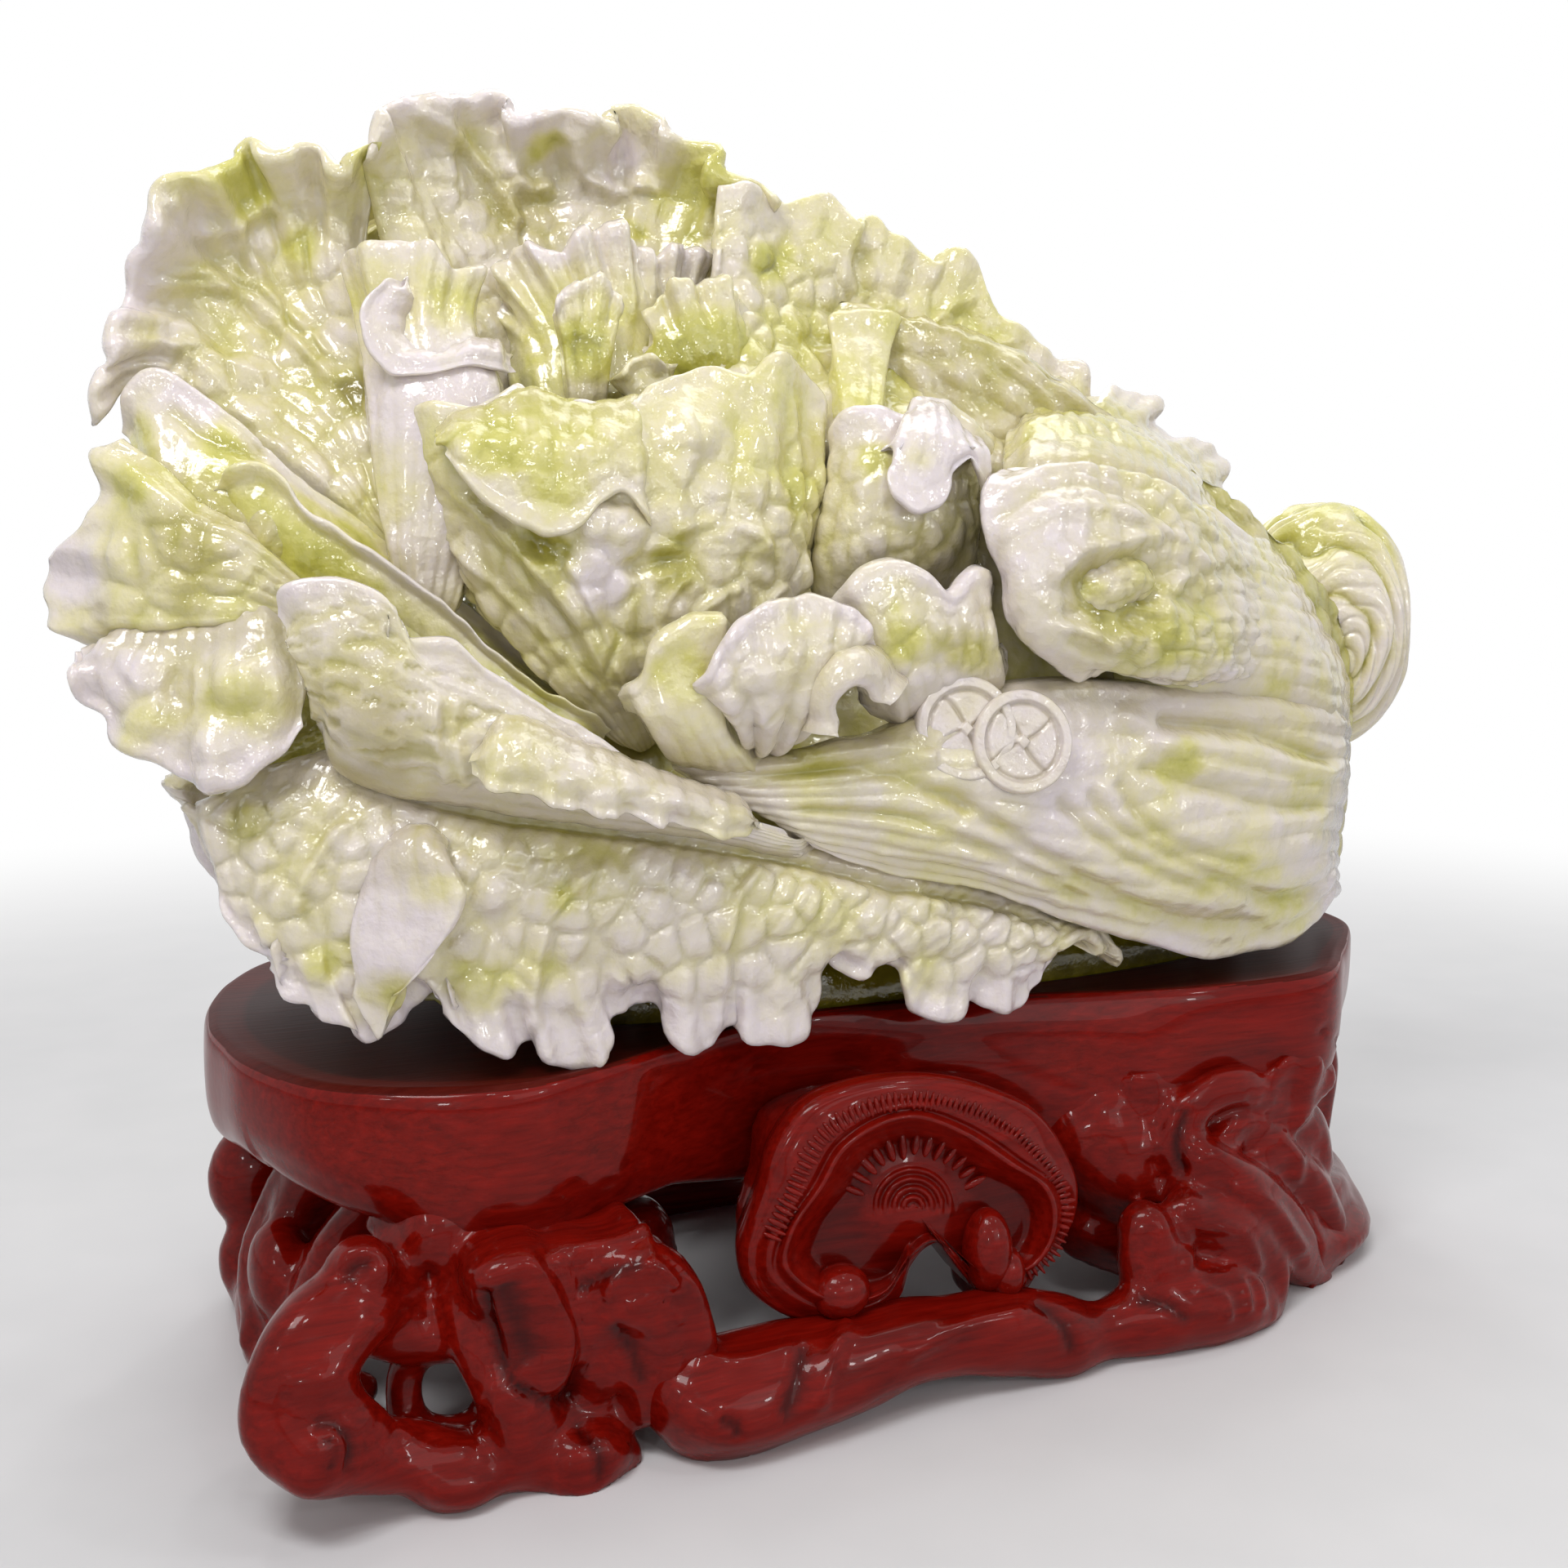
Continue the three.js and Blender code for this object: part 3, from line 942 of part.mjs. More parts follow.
// Knobs where a root's end rolls up: [x, y, height, size], sized like the root radius.
const KNOB_SHARES = {
  left_front_foot: [[-0.9, -0.92, 0.27, 1.75], [-0.82, -0.8, 0.8, 1.7]],
  left_rear_foot: [[-0.94, 0.55, 0.62, 1.5], [-0.93, 0.5, 0.25, 1.4]],
  right_front_foot: [[0.74, -0.88, 0.85, 1.5], [0.76, -0.9, 0.3, 1.35]],
  right_rear_foot: [[0.9, 0.6, 0.6, 1.5]],
  fungus_stem: [[-0.17, -0.95, 0.42, 1.15]],
};

function rootSolid(shares, knobs, grow) {
  const tube = tubeSolid(shares, grow);
  return knobs.reduce((whole, knob) => whole.add(knobSolid(knob, grow)), tube);
}

function knobSolid(knob, grow) {
  const half = knob[3] * ROOT_RADIUS + grow;
  const halfX = half * KNOB_WIDTH_SHARE;
  const halfY = half * KNOB_DEPTH_SHARE;
  return eggSolid(standPoint(knob), halfX, halfY, half, KNOB_SIDES);
}

function tubeSolid(shares, grow) {
  const curve = new THREE.CatmullRomCurve3(shares.map(([x, y, z]) => standPoint([x, y, z])));
  const steps = (shares.length - 1) * ROOT_STEPS_PER_SHARE;
  const frames = curve.computeFrenetFrames(steps, false);
  const rings = [];
  for (let i = 0; i <= steps; i++) {
    const along = (i / steps) * (shares.length - 1);
    const before = Math.min(Math.floor(along), shares.length - 2);
    const share = THREE.MathUtils.lerp(shares[before][3], shares[before + 1][3], along - before);
    const radius = share * ROOT_RADIUS + grow;
    const centre = curve.getPoint(i / steps);
    const ring = [];
    for (let k = 0; k < ROOT_SIDES; k++) {
      const angle = (2 * Math.PI * k) / ROOT_SIDES;
      const point = centre.clone();
      point.addScaledVector(frames.normals[i], radius * Math.cos(angle));
      point.addScaledVector(frames.binormals[i], radius * Math.sin(angle));
      ring.push(point);
    }
    rings.push(ring);
  }
  return loftSolid(rings);
}

// Every root is cut flat where it stands on the floor.
function aboveFloor(solid) {
  const room = new THREE.BoxGeometry(STAND_LENGTH * 2, STAND_DEPTH * 2, CUT_OVERRUN + STAND_HEIGHT);
  room.translate(0, 0, (CUT_OVERRUN + STAND_HEIGHT) / 2);
  return solid.intersect(toSolid(room));
}

// Fungus boss: a scalloped fan with a rolled rim, standing out under the front of the slab
const FUNGUS_CENTRE_SHARES = [-0.09, -1.0, 0.86];
const FUNGUS_POINTS = 22;
const FUNGUS_BOWL_SHARE = 0.76;
const FUNGUS_HUB_SHARE = 0.13;
const FUNGUS_OUTLINE_SHARES = [
  [-0.2, -0.45], [-0.34, -0.5], [-0.47, -0.38], [-0.5, -0.08], [-0.42, 0.2], [-0.24, 0.44],
  [0, 0.5], [0.24, 0.46], [0.42, 0.26], [0.5, 0], [0.45, -0.3], [0.33, -0.46], [0.2, -0.44],
  [0.1, -0.2], [-0.08, -0.2],
];

function fungusShape(grow, share = 1) {
  const points = FUNGUS_OUTLINE_SHARES.map(([x, z]) => new THREE.Vector2(
    x * share * (FUNGUS_WIDTH + 2 * grow),
    z * share * (FUNGUS_HEIGHT + 2 * grow),
  ));
  const shape = new THREE.Shape();
  const outline = new THREE.SplineCurve([...points, points[0]]).getPoints(FUNGUS_POINTS);
  shape.setFromPoints(outline.slice(0, -1));
  return shape;
}

function fungusSolid(grow) {
  const depth = FUNGUS_THICKNESS - FUNGUS_RIM + 2 * grow;
  const fan = new THREE.ExtrudeGeometry(fungusShape(grow), {
    depth,
    bevelEnabled: true,
    bevelSize: FUNGUS_RIM / 3,
    bevelThickness: FUNGUS_RIM / 2,
    bevelSegments: 1,
  });
  fan.rotateX(Math.PI / 2);
  const place = standPoint(FUNGUS_CENTRE_SHARES);
  const back = place.y + FUNGUS_THICKNESS / 2 + grow;
  fan.translate(place.x, back, place.z);
  const solid = toSolid(fan);
  return grow > 0 ? solid : solid.subtract(fungusBowl(place, back)).add(fungusHub(place, back));
}

// The fan's face is hollowed inside its rim, with a hub of folds at its middle.
function fungusBowl(place, back) {
  const bowl = new THREE.ExtrudeGeometry(fungusShape(0, FUNGUS_BOWL_SHARE), {
    depth: CUT_OVERRUN, bevelEnabled: false,
  });
  bowl.rotateX(Math.PI / 2);
  bowl.translate(place.x, back - FUNGUS_THICKNESS + FUNGUS_RIM, place.z);
  return toSolid(bowl);
}

function fungusHub(place, back) {
  const centre = new THREE.Vector3(place.x, back - FUNGUS_THICKNESS + FUNGUS_RIM, place.z);
  const reach = FUNGUS_WIDTH * FUNGUS_HUB_SHARE;
  return eggSolid(centre, reach, FUNGUS_RIM / 2, reach, KNOB_SIDES);
}

function buildStone(assembly) {
  for (const [name, pick] of Object.entries(COIN_PIXELS)) {
    assembly.add(name, coinSolid(pick, 0), coinSolid(pick, GAP), STONE_LILAC);
  }
  assembly.add("oval_bud", budSolid(0), budSolid(GAP), STONE_PALE);
  assembly.add("root_knot", knotSolid(0), knotSolid(GAP), STONE_PALE);
  LEAF_FORMS.forEach((form) => assembly.addLeaf(form));
  BACK_LEAF_FORMS.forEach((form) => assembly.addLeaf(form, true));
  const core = coreSolid();
  assembly.add("stone_core", core, core, STONE_PALE);
}

function buildStand(assembly) {
  const slab = slabSolid();
  assembly.add("stand_slab", slab, loftGrown(slab), LACQUER);
  assembly.add("fungus_cap", fungusSolid(0), fungusSolid(GAP), LACQUER);
  for (const [name, shares] of Object.entries(ROOT_SHARES)) {
    const knobs = KNOB_SHARES[name] ?? [];
    const root = aboveFloor(rootSolid(shares, knobs, 0));
    assembly.add(name, root, rootSolid(shares, knobs, GAP), LACQUER);
  }
}

// The slab's cutter: the slab let down by a gap, so that what meets its underside stays clear.
function loftGrown(slab) {
  return slab.add(slab.translate([0, 0, -GAP])).add(slab.translate([0, -GAP, 0]));
}

const assembly = new Assembly();
buildStone(assembly);
buildStand(assembly);

// The origin is the middle of the whole object's base.
const model = new THREE.Group();
model.add(assembly.group);
const bounds = new THREE.Box3().setFromObject(assembly.group);
const middle = bounds.getCenter(new THREE.Vector3());
assembly.group.position.set(-middle.x, -middle.y, -bounds.min.z);

export default model;
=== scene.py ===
"""Jade cabbage carving on a lacquered root-carved stand.

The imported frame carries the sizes. This script dresses it: each leaf, coin and root is built
again as a finer mesh over its own solid, with its relief and a procedural finish.
Lengths in the tables are millimetres of the carving's own frame. Pixels are those of a frame
1920 wide, and the third number of a leaf's pick is its lift off the lump of stone.
"""

import logging
import math
from dataclasses import dataclass, field
from enum import Enum

import bmesh
import bpy
import numpy as np
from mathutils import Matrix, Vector


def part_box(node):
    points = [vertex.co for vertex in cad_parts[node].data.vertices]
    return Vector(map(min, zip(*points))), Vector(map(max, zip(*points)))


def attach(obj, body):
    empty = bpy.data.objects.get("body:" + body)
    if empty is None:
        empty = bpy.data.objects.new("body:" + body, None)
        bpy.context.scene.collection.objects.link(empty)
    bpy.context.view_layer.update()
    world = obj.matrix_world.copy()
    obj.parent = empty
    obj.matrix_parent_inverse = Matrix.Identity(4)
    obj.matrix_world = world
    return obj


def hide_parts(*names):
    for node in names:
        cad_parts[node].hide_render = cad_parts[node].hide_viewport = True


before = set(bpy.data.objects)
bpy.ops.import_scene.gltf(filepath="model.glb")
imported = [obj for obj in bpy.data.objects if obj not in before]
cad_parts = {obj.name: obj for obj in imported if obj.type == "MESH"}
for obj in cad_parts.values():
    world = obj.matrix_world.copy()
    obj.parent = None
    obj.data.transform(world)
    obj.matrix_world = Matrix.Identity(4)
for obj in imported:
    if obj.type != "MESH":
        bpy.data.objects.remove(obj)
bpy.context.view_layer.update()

LOG = logging.getLogger("jade_cabbage")
MILLIMETRE = 0.001
# The slab's top and underside and the middle of its box, in the carving's own frame.
SLAB_TOP = 115.0
SLAB_BOTTOM = 75.0
SLAB_MIDDLE = (13.42, 19.79)
# The millimetres that a pixel spans on the front of the carving.
PIXEL_SIZE = 0.262
# A length below which nothing is divided, and the least step of a spline.
TINY = 1e-9
LEAST_STEP = 1e-3


class Body(Enum):
    """The two bodies of the frame."""

    STAND = "stand"
    CABBAGE = "cabbage"


class Slot(Enum):
    """The material slots."""

    JADE_PALE = "jade_pale"
    JADE_GREEN = "jade_green"
    JADE_LILAC = "jade_lilac"
    LACQUERED_WOOD = "lacquered_wood"


@dataclass(frozen=True)
class Sight:
    """The eye that the pixels were picked from, in the carving's own frame."""

    x: float = -244.5
    y: float = -522.4
    z: float = 269.0
    turn_degrees: float = -23.5
    tilt_degrees: float = 8.5
    focal_pixels: float = 2078.0
    middle_pixel: float = 960.0
    frame_pixels: float = 1920.0
    sensor: float = 36.0

    def axes(self) -> tuple[np.ndarray, np.ndarray, np.ndarray]:
        """Gives the eye's own directions.

        Returns:
            The unit vectors that point right, ahead and up.
        """
        turn = math.radians(self.turn_degrees)
        tilt = math.radians(self.tilt_degrees)
        right = np.array([math.cos(turn), math.sin(turn), 0.0])
        level = math.cos(tilt)
        ahead = np.array([-math.sin(turn) * level, math.cos(turn) * level, -math.sin(tilt)])
        return right, ahead, np.cross(right, ahead)

    def at_depth(self, u: np.ndarray, v: np.ndarray, y: np.ndarray) -> np.ndarray:
        """Finds where the line of sight through a pixel meets an upright plane.

        Args:
            u: pixels from the left.
            v: pixels from the top.
            y: the plane's y.

        Returns:
            The places, last axis x, y, z.
        """
        right, ahead, up = self.axes()
        across = ((np.asarray(u, float) - self.middle_pixel) / self.focal_pixels)[..., None]
        rise = ((self.middle_pixel - np.asarray(v, float)) / self.focal_pixels)[..., None]
        ray = ahead + across * right + rise * up
        reach = (np.asarray(y, float)[..., None] - self.y) / ray[..., 1:2]
        return np.array([self.x, self.y, self.z]) + ray * reach

    def pixels(self, places: np.ndarray) -> np.ndarray:
        """Gives the pixels at which places are seen.

        Args:
            places: the places, last axis x, y, z.

        Returns:
            The pixels, last axis u, v.
        """
        right, ahead, up = self.axes()
        line = places - np.array([self.x, self.y, self.z])
        deep = np.maximum(line @ ahead, 1.0)
        u = self.middle_pixel + self.focal_pixels * (line @ right) / deep
        v = self.middle_pixel - self.focal_pixels * (line @ up) / deep
        return np.stack([u, v], axis=-1)


@dataclass(frozen=True)
class Lump:
    """The lump of stone that the leaves lie on, z being the height over the slab's top."""

    x: float = 10.0
    y: float = 10.0
    z: float = 85.0
    half_length: float = 264.0
    half_depth: float = 82.0
    below: float = 150.0
    rim: float = 12.0
    end_power: float = 2.6
    top_line: tuple[tuple[float, float], ...] = (
        (-240, 150), (-224, 208), (-207, 253), (-182, 266), (-143, 281), (-72, 284),
        (-23, 262), (56, 240), (161, 184), (200, 165), (240, 140), (264, 110),
    )

    def top(self, x: np.ndarray) -> np.ndarray:
        """Gives the height of the top line over the slab at x."""
        line = np.array(self.top_line)
        return np.interp(x, line[:, 0], line[:, 1])

    def depth(self, x: np.ndarray, z: np.ndarray) -> np.ndarray:
        """Gives the half depth of the lump at a place on its middle plane.

        Args:
            x: the place's x.
            z: its height over the slab's top.

        Returns:
            The half depth, 0 beyond the lump's ends.
        """
        end = 1 - (np.abs(x - self.x) / self.half_length) ** self.end_power
        rise = z - self.z
        reach = np.where(rise > 0, self.top(x) - self.z + self.rim, self.below)
        side = 1 - (rise / reach) ** 2
        return self.half_depth * np.sqrt(np.maximum(end, 0)) * np.sqrt(np.maximum(side, 0))


SIGHT = Sight()
LUMP = Lump()
SIGHT_STEPS = 16


def pick_places(picks: np.ndarray, layer: float) -> np.ndarray:
    """Puts picks on the lump of stone.

    Args:
        picks: rows of pixel, pixel, lift.
        layer: how far towards the lump's front face they lie, 0 being its middle plane.

    Returns:
        The places in the carving's own frame.
    """
    u, v, lift = picks[:, 0], picks[:, 1], picks[:, 2]
    depth = lift.copy()
    for _ in range(SIGHT_STEPS):
        guess = SIGHT.at_depth(u, v, LUMP.y - depth)
        wanted = layer * LUMP.depth(guess[:, 0], guess[:, 2] - SLAB_TOP) + lift
        depth = (depth + wanted) / 2
    return SIGHT.at_depth(u, v, LUMP.y - depth)


def picked_place(pick: tuple[float, float, float], layer: float = 1.0) -> np.ndarray:
    """Gives the place of one pick; see pick_places."""
    return pick_places(np.array([pick], float), layer)[0]


def turned_behind(places: np.ndarray) -> np.ndarray:
    """Mirrors places to the lump's back.

    Args:
        places: places at the front, or at the back.

    Returns:
        The same places on the other side.
    """
    mirrored = places.copy()
    mirrored[..., 1] = 2 * LUMP.y - mirrored[..., 1]
    return mirrored


def unit(vectors: np.ndarray) -> np.ndarray:
    """Scales vectors to a length of 1."""
    return vectors / np.maximum(np.linalg.norm(vectors, axis=-1, keepdims=True), TINY)


def circle(count: int) -> np.ndarray:
    """Gives evenly spaced angles once round, in radians."""
    return np.linspace(0, math.tau, count, endpoint=False)


def bell(value: np.ndarray, width: float) -> np.ndarray:
    """Falls smoothly from 1 at 0 to nothing at about twice a width."""
    return np.exp(-((value / width) ** 2))


def smooth_line(points: np.ndarray, per_piece: int) -> np.ndarray:
    """Runs a centripetal spline through points.

    Args:
        points: the places, first axis along the line.
        per_piece: samples between one point and the next.

    Returns:
        The samples, first axis along the line.
    """
    head = 2 * points[:1] - points[1:2]
    tail = 2 * points[-1:] - points[-2:-1]
    ends = np.concatenate([head, points, tail])
    before, start, stop, after = ends[:-3], ends[1:-2], ends[2:-1], ends[3:]

    def knot(a: np.ndarray, b: np.ndarray) -> np.ndarray:
        """Gives the knot distance between two places."""
        return np.maximum(np.sqrt(np.linalg.norm(b - a, axis=-1, keepdims=True)), LEAST_STEP)

    first, second, third = knot(before, start), knot(start, stop), knot(stop, after)
    inward = (start - before) / first - (stop - before) / (first + second)
    inward = (inward + (stop - start) / second) * second
    outward = (stop - start) / second - (after - start) / (second + third)
    outward = (outward + (after - stop) / third) * second
    samples = []
    for step in range(per_piece):
        s = step / per_piece
        samples.append(
            (2 * s**3 - 3 * s**2 + 1) * start
            + (s**3 - 2 * s**2 + s) * inward
            + (3 * s**2 - 2 * s**3) * stop
            + (s**3 - s**2) * outward
        )
    line = np.stack(samples, axis=1).reshape(-1, *points.shape[1:])
    return np.concatenate([line, points[-1:]])


def even_line(line: np.ndarray, count: int) -> np.ndarray:
    """Takes evenly spaced places along a line, or along many side by side.

    Args:
        line: the places, first axis along the line.
        count: how many steps there are between the places that are taken.

    Returns:
        The count + 1 places.
    """
    steps = np.linalg.norm(np.diff(line, axis=0), axis=-1)
    steps = steps.reshape(len(steps), -1).mean(axis=1)
    run = np.concatenate([[0.0], np.cumsum(steps)])
    wanted = np.linspace(0, run[-1], count + 1)
    right = np.clip(np.searchsorted(run, wanted, side="right"), 1, len(run) - 1)
    share = (wanted - run[right - 1]) / np.maximum(run[right] - run[right - 1], TINY)
    share = share.reshape(-1, *([1] * (line.ndim - 1)))
    return line[right - 1] * (1 - share) + line[right] * share


def smooth_step(low: float, high: float, value: np.ndarray) -> np.ndarray:
    """Rises smoothly from 0 at low to 1 at high."""
    share = np.clip((value - low) / (high - low), 0, 1)
    return share * share * (3 - 2 * share)


# Odd weights that mix a cell's three numbers and its seed into one that looks random.
CELL_WEIGHTS = np.array([127.1, 311.7, 74.7])
SEED_WEIGHT = 17.13
SCATTER_SCALE = 43758.5453


def scatter(cells: np.ndarray, seed: float) -> np.ndarray:
    """Gives each whole-numbered cell a fixed number from 0 to 1."""
    mixed = cells @ CELL_WEIGHTS + seed * SEED_WEIGHT
    return np.modf(np.abs(np.sin(mixed) * SCATTER_SCALE))[0]


def soft_noise(places: np.ndarray, size: float, seed: float) -> np.ndarray:
    """Gives smooth noise.

    Args:
        places: where it is wanted, last axis x, y, z.
        size: the size of its patches, in millimetres.
        seed: picks one noise of many.

    Returns:
        The noise, from -1 to 1.
    """
    scaled = places / size
    low = np.floor(scaled)
    part = scaled - low
    part = part * part * (3 - 2 * part)
    total = np.zeros(places.shape[:-1])
    for corner in np.ndindex(2, 2, 2):
        offset = np.array(corner)
        weight = np.prod(np.where(offset == 1, part, 1 - part), axis=-1)
        total += weight * scatter(low + offset, seed)
    return 2 * total - 1


# How far a dome's heart strays in its cell, a dome's reach, and how wide its crease is.
DOME_STRAY = 0.8
DOME_REACH = 0.9
DOME_CREASE = 0.22


def pebbles(places: np.ndarray, size: float, seed: float) -> np.ndarray:
    """Gives the domes of a blistered leaf.

    Args:
        places: where they are wanted, last axis x, y, z.
        size: how far apart their crowns are, in millimetres.
        seed: picks one layout of many.

    Returns:
        The height, 0 in the creases and 1 on the crowns.
    """
    scaled = places / size
    low = np.floor(scaled)
    nearest = np.full(places.shape[:-1], np.inf)
    second = nearest.copy()
    for corner in np.ndindex(3, 3, 3):
        cell = low + np.array(corner) - 1
        spread = np.stack([scatter(cell, seed + k) for k in range(3)], axis=-1)
        heart = cell + 0.5 + DOME_STRAY * (spread - 0.5)
        far = np.linalg.norm(scaled - heart, axis=-1)
        second = np.minimum(second, np.maximum(nearest, far))
        nearest = np.minimum(nearest, far)
    dome = np.clip(1 - (nearest / DOME_REACH) ** 2, 0, 1)
    return dome * (0.3 + 0.7 * smooth_step(0.0, DOME_CREASE, second - nearest))


def line_distance(spots: np.ndarray, line: np.ndarray) -> tuple[np.ndarray, np.ndarray]:
    """Measures how far spots lie from a line of pixels.

    Args:
        spots: places, last axis u, v.
        line: the line's own pixels.

    Returns:
        The distance, positive on the line's left as it is drawn, and the share of its length.
    """
    best = np.full(spots.shape[:-1], np.inf)
    side = np.ones(spots.shape[:-1])
    along = np.zeros(spots.shape[:-1])
    for i in range(len(line) - 1):
        start, step = line[i], line[i + 1] - line[i]
        gap = spots - start
        share = np.clip((gap @ step) / max(step @ step, TINY), 0, 1)
        apart = np.linalg.norm(gap - share[..., None] * step, axis=-1)
        closer = apart < best
        best = np.where(closer, apart, best)
        turned = np.sign(gap[..., 0] * step[1] - gap[..., 1] * step[0])
        side = np.where(closer, turned, side)
        along = np.where(closer, (i + share) / (len(line) - 1), along)
    return best * side, along


def grid_normals(grid: np.ndarray) -> np.ndarray:
    """Gives the normals of a leaf's face.

    Args:
        grid: the face's places.

    Returns:
        The unit normals, which point to the front.
    """
    down, across = np.gradient(grid, axis=0), np.gradient(grid, axis=1)
    normal = unit(np.cross(across, down))
    return -normal if normal[..., 1].sum() > 0 else normal


def add_piece(name: str, data: bpy.types.ID) -> bpy.types.Object:
    """Puts an object with its mesh, lamp or camera into the scene.

    Args:
        name: the object's name.
        data: what it holds.

    Returns:
        The object, at the origin.
    """
    piece = bpy.data.objects.new(name, data)
    bpy.context.scene.collection.objects.link(piece)
    return piece


def dress_mesh(mesh: bpy.types.Mesh, finish: bpy.types.Material, green: np.ndarray,
               shade: np.ndarray) -> None:
    """Gives a mesh its finish and the numbers that the finish reads.

    Args:
        mesh: the mesh.
        finish: its material.
        green: how green each place is, from 0 to 1.
        shade: how deep in shade each place is, from 0 to 1.
    """
    mesh.polygons.foreach_set("use_smooth", [True] * len(mesh.polygons))
    for label, values in (("green", green), ("shade", shade)):
        attribute = mesh.attributes.new(label, "FLOAT", "POINT")
        attribute.data.foreach_set("value", np.clip(values, 0, 1).astype(np.float32))
    mesh.materials.clear()
    mesh.materials.append(finish)
    mesh.update()


@dataclass
class Skin:
    """A closed mesh in the carving's own frame, with numbers for its finish at each place."""

    places: np.ndarray
    faces: list[tuple[int, ...]]
    green: np.ndarray
    shade: np.ndarray

    def volume(self) -> float:
        """Gives the volume.

        Returns:
            The signed volume, negative where the faces point inwards.
        """
        total = 0.0
        for size in (3, 4):
            faces = np.array([face for face in self.faces if len(face) == size])
            for second in range(1, size - 1):
                if not len(faces):
                    continue
                a, b, c = (self.places[faces[:, k]] for k in (0, second, second + 1))
                total += float(np.einsum("ij,ij->i", a, np.cross(b, c)).sum())
        return total / 6

    def to_object(self, name: str, finish: bpy.types.Material) -> bpy.types.Object:
        """Makes the mesh object, in metres of the row frame.

        Args:
            name: the piece's name.
            finish: its material.

        Returns:
            The object, at the origin.
        """
        faces = self.faces
        if self.volume() < 0:
            faces = [face[::-1] for face in faces]
        mesh = bpy.data.meshes.new(name)
        mesh.from_pydata(row_frame(self.places).tolist(), [], faces)
        dress_mesh(mesh, finish, self.green, self.shade)
        return add_piece(name, mesh)


def frame_shift() -> np.ndarray:
    """Finds where the row frame lies.

    Returns:
        The step from the carving's own frame to the row frame, in millimetres.
    """
    low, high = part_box("stand_slab")
    middle = (low + high) / 2 / MILLIMETRE
    return np.array([middle.x - SLAB_MIDDLE[0], middle.y - SLAB_MIDDLE[1], 0.0])


SHIFT = frame_shift()


def row_frame(places: np.ndarray) -> np.ndarray:
    """Turns places of the carving's own frame into metres of the row frame."""
    return (places + SHIFT) * MILLIMETRE


def settle(piece: bpy.types.Object, body: Body, slot: Slot, *nodes: str) -> None:
    """Lets a piece ride on its body and stand for its nodes.

    Args:
        piece: the finished piece.
        body: what it moves with.
        slot: the slot of its finish, which is not used.
        *nodes: the nodes that it replaces.
    """
    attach(piece, body.value)
    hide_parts(*nodes)
    LOG.info("%s: %d faces, for %s", piece.name, len(piece.data.polygons), ", ".join(nodes))


def colour(text: str) -> tuple[float, float, float, float]:
    """Turns an sRGB hex colour into the linear values that Blender's sockets take.

    Args:
        text: the colour, such as "#FFFFFF".

    Returns:
        Red, green, blue and an opacity of 1.
    """
    linear = []
    for start in (1, 3, 5):
        value = int(text[start : start + 2], 16) / 255
        linear.append(value / 12.92 if value <= 0.04045 else ((value + 0.055) / 1.055) ** 2.4)
    return linear[0], linear[1], linear[2], 1.0


def add_node(
    tree: bpy.types.NodeTree, kind: str, inputs: dict | None = None, **settings: object
) -> bpy.types.Node:
    """Adds a node with its settings and links.

    Args:
        tree: the tree that gets it.
        kind: the node's type name.
        inputs: for each input, a value or the socket that feeds it.
        **settings: the node's own properties.

    Returns:
        The node.
    """
    node = tree.nodes.new(kind)
    for name, value in settings.items():
        setattr(node, name, value)
    for name, value in (inputs or {}).items():
        if isinstance(value, bpy.types.NodeSocket):
            tree.links.new(value, node.inputs[name])
        else:
            node.inputs[name].default_value = value
    return node


def set_sockets(node: bpy.types.Node, values: dict[str, object]) -> None:
    """Sets the values of a node's unlinked inputs."""
    for name, value in values.items():
        node.inputs[name].default_value = value


def set_stops(node: bpy.types.Node, stops: tuple[tuple[float, str], ...]) -> None:
    """Gives a colour ramp its stops.

    Args:
        node: the ramp's node.
        stops: the place and the sRGB hex colour of each stop.
    """
    elements = node.color_ramp.elements
    while len(elements) < len(stops):
        elements.new(1.0)
    for element, (place, text) in zip(elements, stops):
        element.position = place
        element.color = colour(text)


def per_metre(millimetres: float) -> float:
    """Gives the texture scale at which a pattern repeats each so many millimetres."""
    return 1 / (millimetres * MILLIMETRE)


def noise(tree: bpy.types.NodeTree, place: bpy.types.NodeSocket, size: float, detail: float,
          **more: float) -> bpy.types.Node:
    """Adds a noise texture.

    Args:
        tree: the tree that gets it.
        place: the coordinates that it reads.
        size: the size of its patches, in millimetres.
        detail: how many finer layers it has.
        **more: its further inputs.

    Returns:
        The node.
    """
    inputs = {"Vector": place, "Scale": per_metre(size), "Detail": detail}
    return add_node(tree, "ShaderNodeTexNoise", inputs | more)


def bump(tree: bpy.types.NodeTree, height: bpy.types.NodeSocket, strength: float,
         millimetres: float, **more: bpy.types.NodeSocket) -> bpy.types.NodeSocket:
    """Adds a bump.

    Args:
        tree: the tree that gets it.
        height: the pattern that is raised.
        strength: how strongly it shows, from 0 to 1.
        millimetres: how high it is.
        **more: its further inputs.

    Returns:
        The socket of the bumped normal.
    """
    inputs = {"Height": height, "Strength": strength, "Distance": millimetres * MILLIMETRE}
    return add_node(tree, "ShaderNodeBump", inputs | more).outputs["Normal"]


